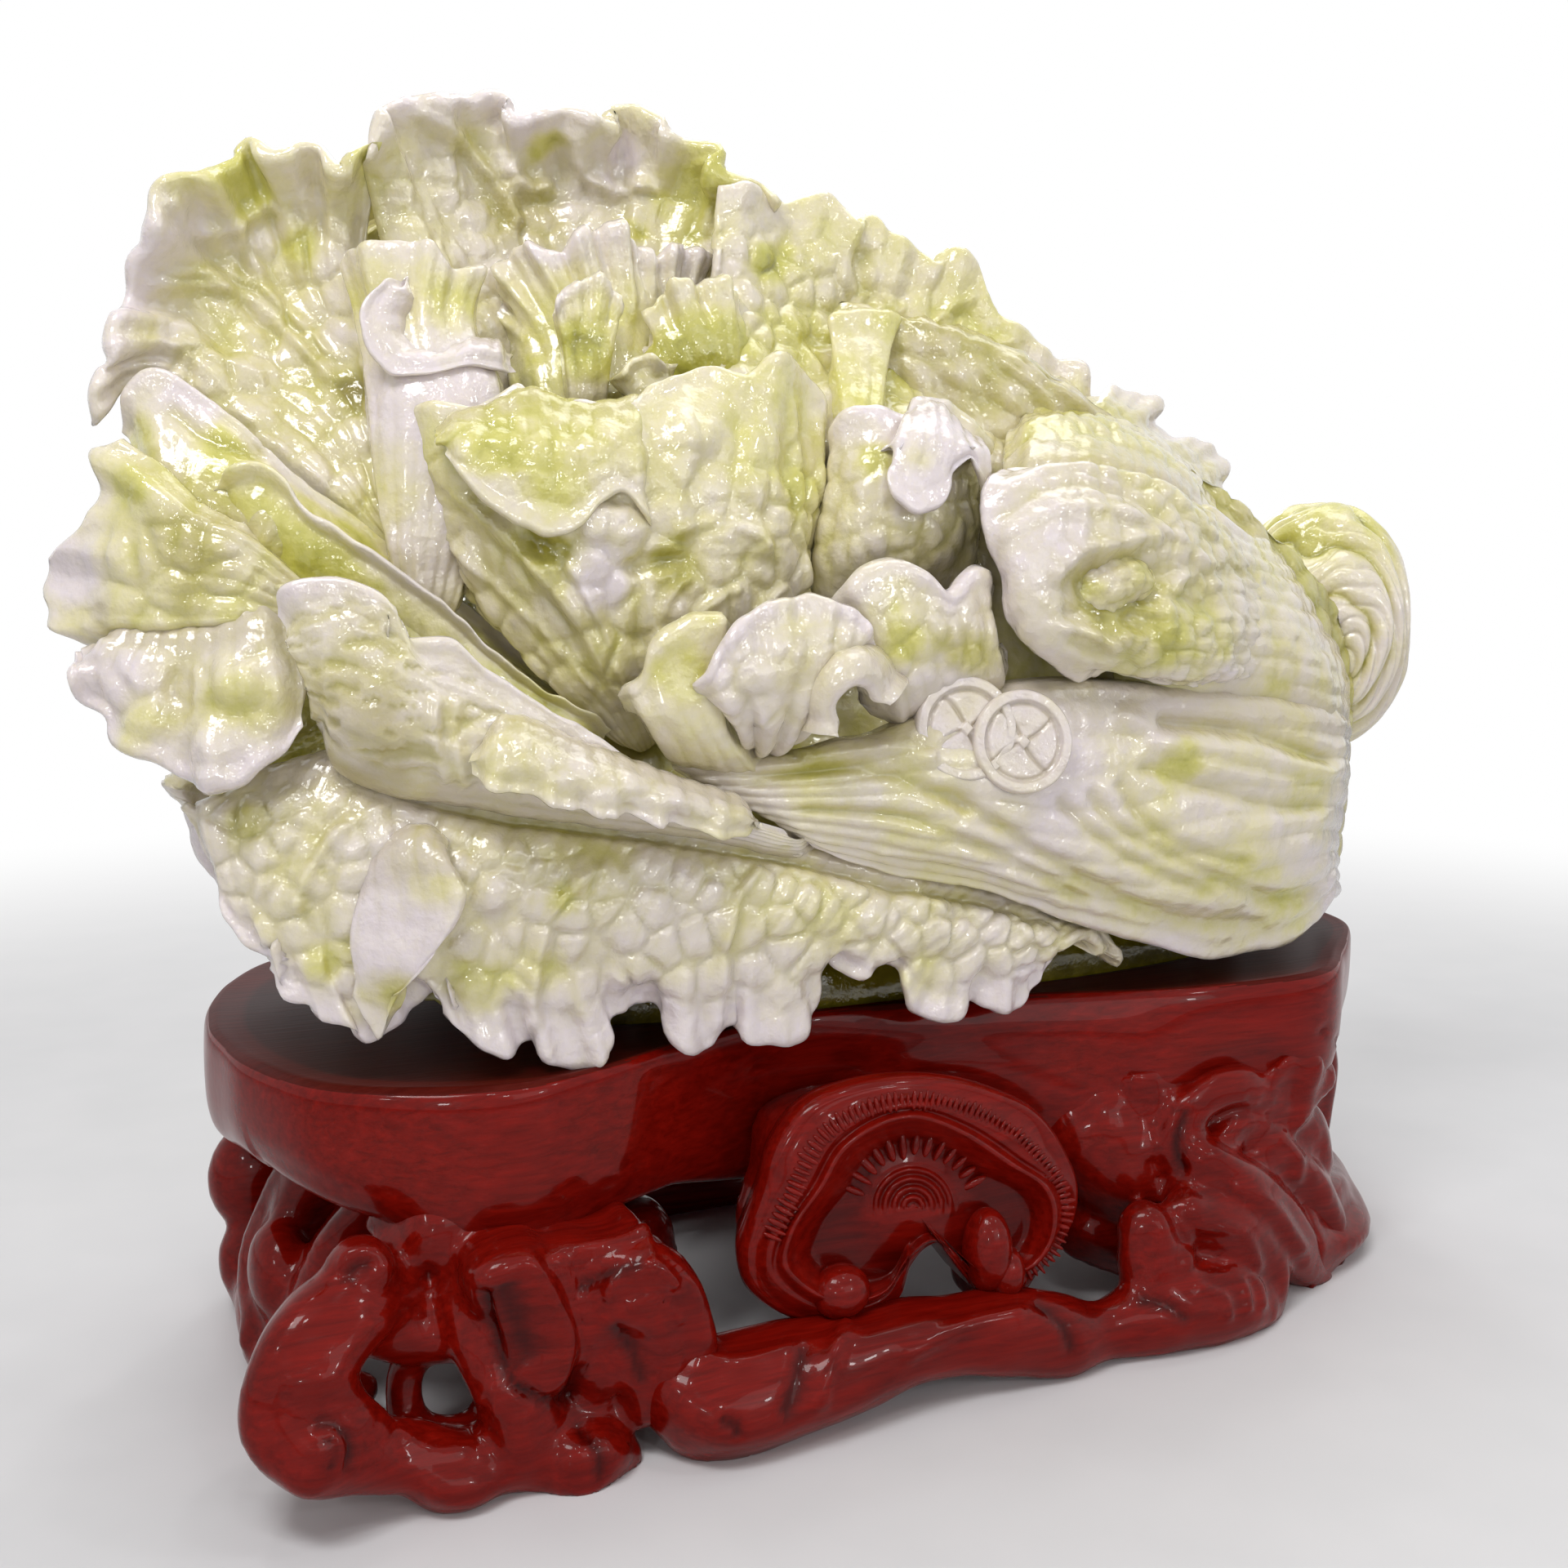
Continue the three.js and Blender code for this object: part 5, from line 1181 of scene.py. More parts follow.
# Picks of the leaves, row by row from where the leaf grows to its free edge, each row from
# left to right in the photograph.
PICKS: dict[str, tuple] = {
    "front_centre_curl": (
      ((533, 506, 4), (590, 506, 6), (650, 488, 6), (700, 500, 6), (750, 500, 6), (804, 488, 6)),
      ((538, 530, 11), (595, 545, 13), (655, 560, 14), (705, 558, 14), (755, 545, 14), (808, 550, 12)),
      ((545, 552, 12), (575, 592, 14), (615, 630, 14), (665, 652, 14), (705, 640, 14),
        (738, 605, 14), (765, 600, 14), (788, 622, 14), (812, 648, 12)),
    ),
    "small_curl": (
      ((1006, 888, 8), (1001, 850, 8), (1016, 820, 8), (1040, 803, 8), (1066, 808, 8), (1090, 845, 6)),
      ((1016, 890, 13), (1011, 855, 15), (1024, 831, 17), (1043, 817, 17), (1064, 823, 15), (1084, 854, 12)),
      ((1027, 892, 14), (1022, 862, 17), (1032, 844, 19), (1046, 836, 19), (1061, 842, 17), (1076, 864, 14)),
    ),
    "leaf_f": (
      ((890, 892, 6), (925, 905, 6), (970, 905, 6), (1010, 880, 6)),
      ((865, 866, 12), (915, 850, 14), (990, 840, 14), (1050, 815, 10)),
      ((863, 845, 14), (875, 815, 15), (901, 777, 15), (928, 756, 14), (955, 745, 13), (1000, 735, 12),
        (1030, 745, 12), (1050, 755, 12), (1065, 775, 12), (1075, 795, 12)),
    ),
    "leaf_e": (
      ((800, 925, -2), (850, 930, 0), (930, 940, 0)),
      ((775, 885, 5), (820, 880, 8), (900, 895, 6)),
      ((757, 852, 4), (784, 836, 6), (800, 799, 8), (832, 772, 8), (880, 764, 8), (901, 777, 8)),
    ),
    "leaf_g": (
      ((1085, 870, 0), (1130, 850, 2), (1190, 835, 2), (1240, 815, 2)),
      ((1060, 800, 4), (1110, 780, 8), (1170, 770, 8), (1230, 765, 4)),
      ((1030, 745, 6), (1050, 725, 8), (1065, 705, 8), (1100, 700, 8), (1140, 710, 8), (1165, 730, 8),
        (1200, 705, 6), (1228, 718, 4)),
    ),
    "rolled_leaf_ruffle": (
      ((572, 898, 14), (620, 888, 16), (700, 918, 16), (790, 948, 13), (880, 978, 9), (940, 992, 4)),
      ((570, 926, 20), (620, 926, 22), (700, 952, 21), (790, 972, 18), (880, 996, 13), (942, 1006, 8)),
      ((574, 952, 20), (612, 967, 22), (656, 971, 21), (700, 989, 20), (747, 996, 18), (800, 1000, 16),
        (853, 1014, 13), (944, 1020, 8)),
    ),
    "rolled_leaf": (
      ((376, 905, 2), (427, 945, 2), (480, 964, 2), (544, 976, 2), (690, 1001, 1), (850, 1024, 0),
        (1003, 1048, -4)),
      ((372, 860, 10), (430, 890, 12), (500, 915, 12), (600, 945, 10), (720, 975, 8), (860, 1010, 4),
        (1001, 1041, -3)),
      ((352, 790, 14), (410, 775, 14), (470, 800, 14), (550, 850, 12), (680, 915, 10), (840, 985, 6),
        (1000, 1036, -2)),
      ((333, 751, 12), (341, 729, 12), (373, 716, 12), (408, 711, 12), (443, 721, 12), (477, 740, 12),
        (488, 767, 12), (504, 788, 11), (549, 788, 10), (587, 815, 10), (613, 833, 9), (632, 849, 8),
        (700, 892, 6), (780, 940, 4), (864, 985, 2), (985, 1028, -2)),
    ),
    "left_hem_leaf": (
      ((118, 778, 0), (175, 782, 2), (245, 785, 2), (305, 775, 2), (348, 765, 2)),
      ((104, 790, 4), (150, 835, 8), (225, 860, 8), (300, 862, 8), (368, 840, 6)),
      ((88, 799, 6), (96, 831, 8), (101, 857, 8), (128, 879, 8), (133, 900, 8), (181, 924, 8),
        (205, 938, 8), (256, 953, 10), (299, 953, 10), (320, 932, 10), (352, 916, 8), (373, 895, 6)),
    ),
    "left_wing_leaf": (
      ((388, 716, -4), (366, 726, -2), (345, 742, 0), (332, 762, 0)),
      ((309, 648, 0), (300, 685, 2), (296, 725, 2), (300, 770, 2)),
      ((246, 618, 2), (222, 655, 4), (212, 712, 4), (215, 780, 2)),
      ((184, 562, 2), (165, 592, 4), (142, 640, 4), (128, 700, 4), (118, 745, 4), (128, 788, 2)),
      ((141, 548, 2), (125, 553, 2), (126, 580, 2), (114, 617, 3), (102, 645, 4), (88, 668, 4),
        (68, 692, 4), (55, 722, 4), (64, 742, 4), (72, 768, 4), (90, 786, 3)),
    ),
    "left_leaf_lip": (
      ((268, 668, -2), (330, 700, -2), (400, 738, -2), (470, 775, -2), (550, 826, -3), (645, 885, -4),
        (735, 928, -5)),
      ((262, 630, 0), (325, 645, 1), (392, 695, 1), (470, 738, 0), (550, 795, -1), (645, 862, -3),
        (742, 912, -4)),
      ((258, 598, 0), (290, 576, 2), (331, 577, 2), (352, 596, 2), (373, 625, 2), (427, 660, 2),
        (480, 697, 1), (533, 735, 0), (587, 783, -2), (640, 835, -4), (750, 892, -5)),
    ),
    "hem_fold": (
      ((440, 1085, 5), (470, 1064, 8), (515, 1058, 12), (550, 1066, 15)),
      ((434, 1125, 8), (465, 1120, 10), (510, 1115, 13), (558, 1100, 18)),
      ((431, 1165, 9), (452, 1180, 11), (495, 1182, 14), (545, 1146, 18)),
      ((440, 1218, 8), (452, 1244, 9), (465, 1266, 9), (491, 1215, 13), (526, 1174, 16)),
    ),
    "front_lower_leaf": (
      ((262, 957, -8), (373, 945, -6), (454, 957, -6), (598, 989, -6), (790, 1013, -6), (1003, 1050, -6),
        (1202, 1092, -6), (1368, 1144, -4)),
      ((225, 985, 0), (330, 1030, 2), (440, 1050, 3), (600, 1070, 3), (790, 1090, 3), (950, 1110, 3),
        (1120, 1130, 2), (1345, 1150, 0)),
      ((248, 1050, 2), (350, 1150, 4), (430, 1180, 4), (560, 1180, 5), (700, 1180, 5), (850, 1175, 5),
        (1000, 1155, 4), (1090, 1165, 3), (1200, 1175, 3), (1310, 1166, 1)),
      ((257, 1080, 2), (302, 1154, 4), (337, 1170, 4), (347, 1213, 5), (377, 1226, 6), (395, 1247, 6),
        (427, 1247, 6), (446, 1268, 6), (500, 1228, 0), (538, 1213, 5), (553, 1245, 8), (577, 1271, 10),
        (625, 1287, 10), (649, 1269, 6), (670, 1293, 10), (721, 1304, 10), (745, 1282, 8),
        (753, 1234, 2), (790, 1218, -2), (811, 1239, 2), (825, 1271, 8), (849, 1283, 10),
        (875, 1277, 8), (886, 1253, 4), (902, 1247, 2), (913, 1269, 8), (928, 1272, 9), (976, 1272, 8),
        (992, 1255, 6), (1000, 1222, 2), (1002, 1173, -2), (1046, 1194, 2), (1087, 1180, -2),
        (1103, 1189, 2), (1117, 1227, 6), (1146, 1246, 8), (1183, 1239, 6), (1190, 1222, 2),
        (1207, 1232, 5), (1249, 1227, 4), (1268, 1189, 0), (1310, 1172, 0)),
    ),
    "leaf_roll": (
      ((1515, 660, -6), (1540, 700, -2), (1560, 745, 0), (1568, 790, 0), (1560, 840, 0)),
      ((1450, 590, 6), (1450, 640, 14), (1450, 700, 16), (1470, 780, 14), (1500, 845, 6)),
      ((1350, 560, 8), (1335, 620, 18), (1330, 690, 20), (1360, 775, 18), (1430, 845, 8)),
      ((1280, 555, 6), (1258, 610, 14), (1245, 690, 16), (1270, 765, 16), (1350, 830, 8)),
      ((1235, 560, 0), (1205, 600, 6), (1210, 650, 8), (1230, 705, 8), (1240, 755, 8),
        (1270, 790, 8), (1300, 810, 6), (1340, 835, 2)),
    ),
    "right_centre_curl": (
      ((1090, 520, 4), (1120, 505, 6), (1155, 502, 6), (1190, 535, 6), (1215, 545, 4)),
      ((1082, 535, 10), (1115, 545, 14), (1150, 540, 14), (1185, 550, 14), (1222, 562, 8)),
      ((1085, 550, 10), (1095, 595, 13), (1125, 625, 14), (1155, 610, 13), (1165, 575, 12),
        (1185, 560, 12), (1210, 600, 10), (1226, 585, 8)),
    ),
    "right_centre_leaf": (
      ((972, 752, -18), (1040, 728, -5), (1120, 715, -4), (1205, 715, -8)),
      ((984, 650, -16), (1060, 650, 5), (1140, 655, 6), (1212, 660, -4)),
      ((994, 580, -15), (1066, 580, 6), (1140, 585, 7), (1215, 600, -2)),
      ((1000, 560, -15), (1018, 535, -8), (1042, 512, 0), (1075, 502, 4), (1105, 515, 4), (1120, 497, 4),
        (1155, 495, 4), (1180, 510, 3), (1205, 536, 0), (1228, 560, -6)),
    ),
    "front_centre_leaf": (
      ((728, 898, -10), (768, 906, -8), (830, 880, -8), (900, 842, -8)),
      ((588, 768, -12), (650, 772, -2), (740, 782, 3), (850, 782, 4), (940, 757, 0), (1000, 737, -6)),
      ((520, 655, -14), (610, 650, 2), (720, 655, 10), (850, 650, 10), (950, 650, 5), (1012, 650, -8)),
      ((500, 575, -14), (580, 570, 2), (700, 575, 8), (850, 560, 8), (950, 570, 2), (1020, 580, -12)),
      ((496, 556, -18), (501, 521, -16), (533, 505, -8), (581, 505, -2), (635, 476, 0), (667, 521, 2),
        (709, 495, 2), (779, 500, 2), (800, 473, 2), (832, 463, 2), (869, 449, 2), (907, 471, 0),
        (950, 440, -2), (980, 445, -5), (1005, 475, -10), (1024, 530, -16)),
    ),
    "heart_left_curl": (
      ((520, 358, 0), (500, 370, 2), (494, 395, 2), (507, 418, 2), (540, 424, 2), (590, 416, 2),
        (632, 424, 0)),
      ((510, 346, 4), (482, 360, 6), (472, 395, 8), (487, 428, 8), (530, 438, 8), (588, 428, 6),
        (636, 438, 2)),
      ((500, 334, 4), (474, 346, 6), (455, 367, 8), (448, 399, 8), (459, 433, 8), (482, 452, 8),
        (523, 455, 8), (587, 445, 6), (640, 454, 2)),
    ),
    "heart_left": (
      ((470, 690, -6), (510, 715, -2), (575, 728, -6)),
      ((446, 590, -8), (500, 600, 2), (575, 600, 0), (610, 590, -6)),
      ((436, 500, -10), (500, 500, 2), (570, 490, 2), (625, 475, -4)),
      ((425, 400, -16), (480, 390, 0), (545, 385, 0), (600, 400, -10)),
      ((416, 345, -20), (419, 313, -14), (453, 305, -4), (528, 303, 0), (549, 324, 0), (565, 332, -2),
        (592, 335, -8), (600, 375, -14)),
    ),
    "heart_b": (
      ((690, 478, 0), (720, 482, 2), (752, 478, 0)),
      ((682, 425, 0), (720, 415, 4), (758, 430, 2)),
      ((675, 385, 2), (688, 367, 4), (731, 345, 4), (752, 361, 4), (762, 390, 2)),
    ),
    "heart_d": (
      ((765, 492, 0), (800, 490, 2), (838, 478, 0)),
      ((752, 470, 2), (770, 452, 4), (795, 443, 4), (830, 463, 2)),
    ),
    "heart_c": (
      ((800, 480, -4), (860, 472, 2), (912, 474, 2), (950, 452, -6)),
      ((765, 450, -8), (830, 425, 4), (900, 425, 4), (953, 443, -10)),
      ((775, 435, -12), (789, 420, -6), (816, 356, 2), (853, 351, 4), (901, 361, 2), (905, 392, -4),
        (928, 431, -12)),
    ),
    "inner_right_leaf": (
      ((1030, 535, 0), (1058, 522, 2), (1085, 505, 0)),
      ((1015, 450, 0), (1050, 440, 2), (1095, 440, 0)),
      ((1010, 412, 0), (1020, 392, 2), (1050, 385, 2), (1085, 384, 2), (1110, 400, 0)),
    ),
    "heart_a": (
      ((640, 490, -2), (700, 490, 2), (770, 480, 2), (850, 470, -4)),
      ((612, 420, -10), (680, 400, 2), (770, 395, 2), (870, 380, -10)),
      ((603, 420, -18), (613, 356, -12), (629, 313, -6), (651, 308, -2), (688, 313, 2), (704, 300, 2),
        (715, 287, 2), (771, 281, 2), (781, 303, 0), (795, 321, -2), (821, 308, -4), (864, 313, -8),
        (885, 335, -14)),
    ),
    "right_ridge_leaf": (
      ((1232, 565, -2), (1300, 552, 4), (1370, 560, 6), (1440, 590, 4), (1510, 655, -2)),
      ((1235, 520, 0), (1300, 505, 4), (1370, 520, 4), (1430, 555, 4), (1500, 622, 0)),
      ((1240, 490, 0), (1290, 470, 0), (1342, 487, 0), (1380, 479, 0), (1415, 495, 0), (1412, 520, 0),
        (1445, 535, 0), (1502, 565, 0), (1490, 600, 0), (1512, 630, 0)),
    ),
    "left_valley_leaf": (
      ((152, 552, 0), (190, 552, 0), (230, 580, 0), (262, 600, 0), (330, 610, 0), (400, 665, -4),
        (500, 735, -6), (600, 815, -8), (745, 905, -10)),
      ((150, 530, 0), (200, 520, 0), (260, 540, 0), (330, 590, 0), (420, 650, -6), (520, 735, -10),
        (640, 825, -12), (752, 893, -12)),
      ((135, 520, 0), (180, 463, 0), (213, 466, 0), (267, 500, 0), (341, 569, 0), (440, 645, -6),
        (540, 725, -10), (650, 810, -12), (755, 872, -12)),
    ),
    "back_left_leaf": (
      ((500, 700, 0), (480, 660, 0), (475, 620, 0), (520, 560, 0)),
      ((345, 572, 6), (400, 540, 0), (440, 490, -2), (480, 400, 0)),
      ((240, 495, 10), (300, 440, 2), (350, 380, -4), (440, 320, 4)),
      ((178, 468, 14), (220, 400, 6), (255, 330, 0), (330, 265, 0), (450, 250, 10)),
      ((130, 518, 18), (125, 473, 20), (140, 441, 18), (133, 420, 16), (144, 388, 12), (163, 369, 8),
        (168, 319, 8), (179, 303, 10), (200, 228, 14), (224, 215, 12), (251, 215, 8), (299, 196, 4),
        (304, 177, 4), (339, 196, 8), (373, 188, 10), (419, 209, 14), (432, 193, 16), (468, 190, 18)),
    ),
    "back_top_leaf": (
      ((560, 470, 4), (660, 460, 0), (780, 450, 0), (900, 440, 4)),
      ((500, 330, 14), (620, 320, 0), (760, 310, 0), (900, 340, 14)),
      ((470, 230, 20), (580, 210, 2), (700, 220, 0), (800, 235, 4), (930, 285, 20)),
      ((470, 195, 24), (468, 140, 20), (501, 127, 14), (555, 124, 8), (619, 124, 4), (632, 145, 6),
        (667, 143, 10), (720, 143, 10), (744, 156, 6), (750, 138, 4), (811, 151, 8), (821, 169, 10),
        (875, 185, 14), (885, 217, 18), (928, 231, 22), (950, 249, 24)),
    ),
    "back_right_leaf": (
      ((900, 500, 4), (1000, 530, 0), (1110, 530, 0), (1220, 560, 0), (1330, 590, 4)),
      ((890, 350, 14), (980, 370, 2), (1060, 410, 0), (1150, 450, 2), (1260, 500, 4), (1340, 520, 10)),
      ((892, 225, 22), (928, 233, 16), (950, 249, 12), (1010, 247, 6), (1030, 260, 8), (1052, 285, 12),
        (1067, 269, 8), (1087, 292, 8), (1120, 305, 10), (1150, 325, 12), (1162, 312, 8),
        (1195, 325, 10), (1212, 370, 14), (1230, 402, 14), (1255, 415, 14), (1280, 435, 16),
        (1317, 445, 16), (1342, 487, 20)),
    ),
    "upper_stalk": (
      ((1395, 852, -2), (1470, 856, 0), (1560, 866, 0), (1640, 880, -2), (1655, 884, -30)),
      ((1400, 800, 0), (1480, 800, 4), (1550, 800, 4), (1620, 810, 0), (1650, 815, -30)),
      ((1420, 700, 0), (1480, 690, 2), (1540, 700, 0), (1580, 710, -10), (1600, 715, -34)),
      ((1440, 620, -4), (1480, 620, 0), (1520, 650, -4), (1550, 660, -16), (1560, 665, -36)),
    ),
    "front_stalk": (
      ((850, 940, -4), (1000, 930, 0), (1120, 895, 2), (1250, 850, 2), (1400, 850, 2), (1540, 862, 2),
        (1640, 880, 0), (1652, 885, -34)),
      ((900, 975, -2), (1010, 970, 2), (1150, 955, 6), (1300, 965, 8), (1450, 955, 8), (1560, 965, 8),
        (1640, 955, 2), (1648, 955, -34)),
      ((950, 1010, -2), (1060, 1020, 2), (1200, 1040, 6), (1350, 1060, 10), (1500, 1060, 12),
        (1600, 1040, 10), (1630, 1035, 4), (1638, 1035, -34)),
      ((1003, 1044, -4), (1105, 1070, -2), (1202, 1085, 0), (1301, 1122, 2), (1372, 1143, 4),
        (1443, 1162, 4), (1486, 1170, 4), (1533, 1160, 4), (1585, 1146, 4), (1622, 1116, 2),
        (1635, 1095, 0), (1640, 1095, -34)),
    ),
    "back_rolled_leaf": (
      ((260, 930, -2), (420, 960, -2), (598, 985, -2), (790, 1010, -2), (1003, 1045, -3)),
      ((170, 850, 6), (350, 840, 10), (560, 880, 10), (800, 950, 6), (1010, 1010, 0)),
      ((150, 740, 8), (330, 720, 13), (560, 770, 12), (800, 860, 8), (1030, 950, 2)),
      ((95, 700, 6), (140, 640, 8), (230, 610, 10), (330, 640, 12), (440, 650, 10), (560, 700, 10),
        (700, 750, 8), (850, 830, 6), (1050, 900, 2)),
    ),
    "back_middle_leaf": (
      ((270, 660, -4), (520, 720, -4), (740, 790, -4), (1000, 880, -4)),
      ((215, 560, 2), (460, 590, 6), (720, 620, 8), (1030, 760, 4)),
      ((190, 460, 2), (420, 450, 6), (700, 450, 8), (1060, 600, 4)),
      ((175, 400, 0), (230, 360, 2), (330, 350, 4), (450, 320, 6), (560, 330, 4), (680, 300, 6),
        (800, 330, 4), (900, 380, 6), (1000, 420, 4), (1080, 470, 2), (1150, 520, 0)),
    ),
    "back_crown_leaf": (
      ((200, 480, -8), (420, 420, -8), (680, 400, -8), (900, 470, -8), (1080, 560, -8)),
      ((190, 360, 0), (420, 320, 2), (680, 300, 2), (920, 350, 2), (1120, 470, 0)),
      ((190, 260, 2), (300, 215, 2), (410, 225, 2), (480, 165, 2), (600, 150, 2), (700, 165, 2),
        (810, 180, 2), (900, 240, 2), (1000, 275, 2), (1100, 330, 2), (1200, 400, 2), (1290, 470, 2)),
    ),
    "back_ridge_leaf": (
      ((1050, 900, -2), (1240, 860, 0), (1400, 850, 0), (1545, 850, -2)),
      ((1050, 780, 4), (1240, 760, 8), (1400, 740, 10), (1550, 740, 0)),
      ((1070, 660, 4), (1240, 650, 8), (1390, 640, 8), (1530, 660, -2)),
      ((1110, 580, 0), (1180, 560, 2), (1250, 570, 4), (1330, 560, 4), (1400, 590, 2), (1490, 640, -2)),
    ),
    "back_lower_leaf": (
      ((262, 957, -6), (454, 962, -6), (598, 989, -6), (790, 1013, -6), (1003, 1050, -6),
        (1202, 1092, -6), (1368, 1144, -4)),
      ((232, 1010, 1), (440, 1060, 3), (600, 1080, 3), (790, 1095, 3), (950, 1110, 3),
        (1120, 1130, 2), (1345, 1150, 0)),
      ((262, 1090, 2), (310, 1165, 4), (380, 1225, 6), (430, 1235, 2), (500, 1240, 6), (560, 1262, 8),
        (610, 1240, 2), (680, 1262, 8), (760, 1262, 8), (810, 1225, 2), (870, 1240, 8),
        (950, 1235, 8), (1000, 1190, 2), (1060, 1200, 6), (1150, 1212, 6), (1200, 1180, 2),
        (1268, 1189, 2), (1310, 1172, 0)),
    ),
}


def rib(height: float, width: float, *line: tuple[float, float]) -> Rib:
    """Draws a rib of a height and a width through pixels."""
    return Rib(line, height, width)


FRONT_RIBS = (
    rib(1.9, 1.9, (545, 600), (620, 650), (690, 730), (745, 820), (765, 860)),
    rib(1.6, 1.7, (580, 625), (650, 690), (710, 770), (752, 850)),
    rib(1.9, 1.8, (630, 610), (690, 680), (735, 760), (770, 840)),
    rib(1.6, 1.7, (520, 640), (600, 710), (680, 790), (740, 855)),
    rib(1.3, 1.3, (650, 650), (700, 730), (752, 815), (775, 850)),
    rib(1.6, 1.6, (965, 480), (975, 560), (982, 640), (990, 730)),
    rib(1.2, 1.4, (1000, 500), (1008, 600), (1006, 700)),
    rib(1.5, 1.5, (850, 700), (815, 735), (800, 790), (793, 830)),
    rib(1.5, 1.4, (905, 715), (860, 745), (835, 790)),
    rib(1.3, 1.4, (960, 710), (920, 750), (900, 775)),
    rib(1.4, 1.6, (820, 655), (870, 640), (920, 655), (950, 690)),
    rib(-1.5, 2.2, (770, 680), (780, 740), (782, 800)),
    rib(1.2, 1.8, (900, 560), (925, 620), (930, 690)),
)
LOWER_RIBS = (
    rib(-2.6, 1.7, (470, 972), (598, 1000), (790, 1026), (1003, 1062), (1105, 1090),
        (1202, 1104), (1301, 1142)),
    rib(2.2, 2.2, (481, 989), (430, 1010), (406, 1026), (374, 1079), (363, 1117)),
    rib(2.0, 2.0, (747, 1058), (700, 1085), (671, 1130), (655, 1200), (650, 1275)),
    rib(2.0, 2.0, (934, 1058), (905, 1095), (888, 1150), (878, 1215), (872, 1270)),
    rib(1.6, 1.8, (1120, 1085), (1150, 1120), (1160, 1180)),
    rib(1.2, 1.8, (1230, 1105), (1250, 1140), (1290, 1160)),
)
STALK_GROOVES = (
    rib(-2.1, 2.4, (1290, 970), (1340, 1020), (1400, 1060), (1500, 1100)),
    rib(-2.4, 2.6, (1330, 960), (1370, 1010), (1440, 1050), (1560, 1100), (1630, 1090)),
    rib(-2.4, 2.6, (1370, 950), (1400, 1000), (1460, 1040), (1540, 1060)),
    rib(-2.4, 2.8, (1150, 960), (1250, 1030), (1350, 1090), (1450, 1130), (1560, 1130)),
    rib(-2.4, 2.6, (900, 960), (1040, 940), (1120, 960), (1200, 1000)),
    rib(-1.4, 2.2, (960, 990), (1100, 1000), (1250, 1060), (1340, 1110)),
    rib(-3.0, 2.4, (1410, 880), (1520, 895), (1640, 935)),
    rib(-2.4, 2.6, (1390, 935), (1460, 960), (1560, 985), (1630, 985)),
    rib(2.4, 3.2, (1360, 870), (1440, 912), (1540, 925), (1645, 950)),
    rib(1.2, 2.0, (1400, 905), (1480, 940), (1600, 965)),
    rib(2.4, 3.2, (980, 925), (1080, 915), (1150, 930)),
    rib(1.2, 2.4, (1060, 1040), (1200, 1055), (1320, 1110)),
)
ROLL_GROOVES = (
    rib(-1.3, 1.8, (1215, 590), (1260, 560), (1330, 550), (1400, 570), (1500, 640)),
    rib(1.4, 1.8, (1212, 615), (1270, 580), (1350, 575), (1420, 600), (1500, 670)),
    rib(-1.3, 1.6, (1215, 640), (1280, 600), (1360, 600), (1440, 640)),
    rib(1.4, 1.8, (1220, 665), (1280, 628), (1360, 625), (1440, 660), (1500, 710)),
    rib(2.2, 2.4, (1290, 720), (1320, 680), (1380, 665), (1420, 655)),
    rib(-2.4, 3.2, (1300, 745), (1350, 765), (1410, 740), (1430, 690)),
    rib(1.8, 2.4, (1245, 760), (1300, 810), (1350, 835), (1400, 845)),
    rib(-1.3, 2.0, (1450, 720), (1500, 700), (1545, 705)),
)
BACK_LEFT_RIBS = (
    rib(2.2, 2.3, (171, 350), (240, 350), (300, 365), (340, 400), (380, 440), (420, 480)),
    rib(2.0, 2.0, (190, 330), (300, 345), (360, 390), (415, 450)),
    rib(2.8, 3.0, (200, 235), (240, 285), (300, 265), (340, 245)),
    rib(1.4, 2.0, (205, 420), (270, 440), (330, 470)),
    rib(1.4, 2.2, (430, 330), (440, 400), (450, 460)),
)
BACK_TOP_RIBS = (
    rib(2.0, 2.2, (500, 130), (560, 170), (600, 220), (640, 290)),
    rib(2.0, 2.0, (555, 153), (587, 207), (640, 287)),
    rib(3.2, 3.4, (605, 150), (610, 200), (650, 235), (680, 225)),
    rib(3.2, 3.4, (690, 150), (720, 220), (770, 235), (800, 220)),
    rib(1.4, 1.6, (745, 150), (752, 200), (790, 235)),
    rib(2.2, 3.0, (860, 190), (880, 230), (930, 260)),
    rib(1.4, 2.2, (780, 250), (770, 300), (760, 350)),
)
BACK_RIGHT_RIBS = (
    rib(1.8, 1.8, (1080, 470), (1110, 420), (1160, 380), (1200, 360)),
    rib(1.6, 1.8, (1060, 440), (1080, 400), (1110, 370)),
    rib(1.8, 2.0, (1010, 400), (1030, 460), (1060, 510)),
    rib(1.6, 1.8, (1110, 450), (1170, 425), (1240, 420)),
    rib(1.4, 1.8, (1120, 480), (1180, 465), (1240, 460)),
    rib(-1.6, 2.6, (1060, 300), (1058, 350), (1070, 380)),
    rib(1.2, 2.0, (960, 380), (985, 430), (1030, 500)),
)


# The walls of a curl, a leaf, a heart and a leaf that lies close on the stone, in millimetres.
CURL, BLADE, HEART, STOUT = 4.5, 7.0, 9.0, 13.0


def leaf(name: str, slot: Slot, layers: float | tuple[float, ...], wall: float,
         **relief: object) -> Leaf:
    """Makes a leaf from its picks.

    Args:
        name: the leaf's node, which also names its picks.
        slot: the slot of its finish.
        layers: how far towards the front of the lump it lies, whole or row by row.
        wall: its thickness.
        **relief: the rest of Leaf's fields, and the name of its picks if it isn't its own.

    Returns:
        The leaf.
    """
    rows = PICKS[relief.pop("picks", name)]
    layers = layers if isinstance(layers, tuple) else (layers,)
    return Leaf(name, rows, layers, wall, slot, **relief)


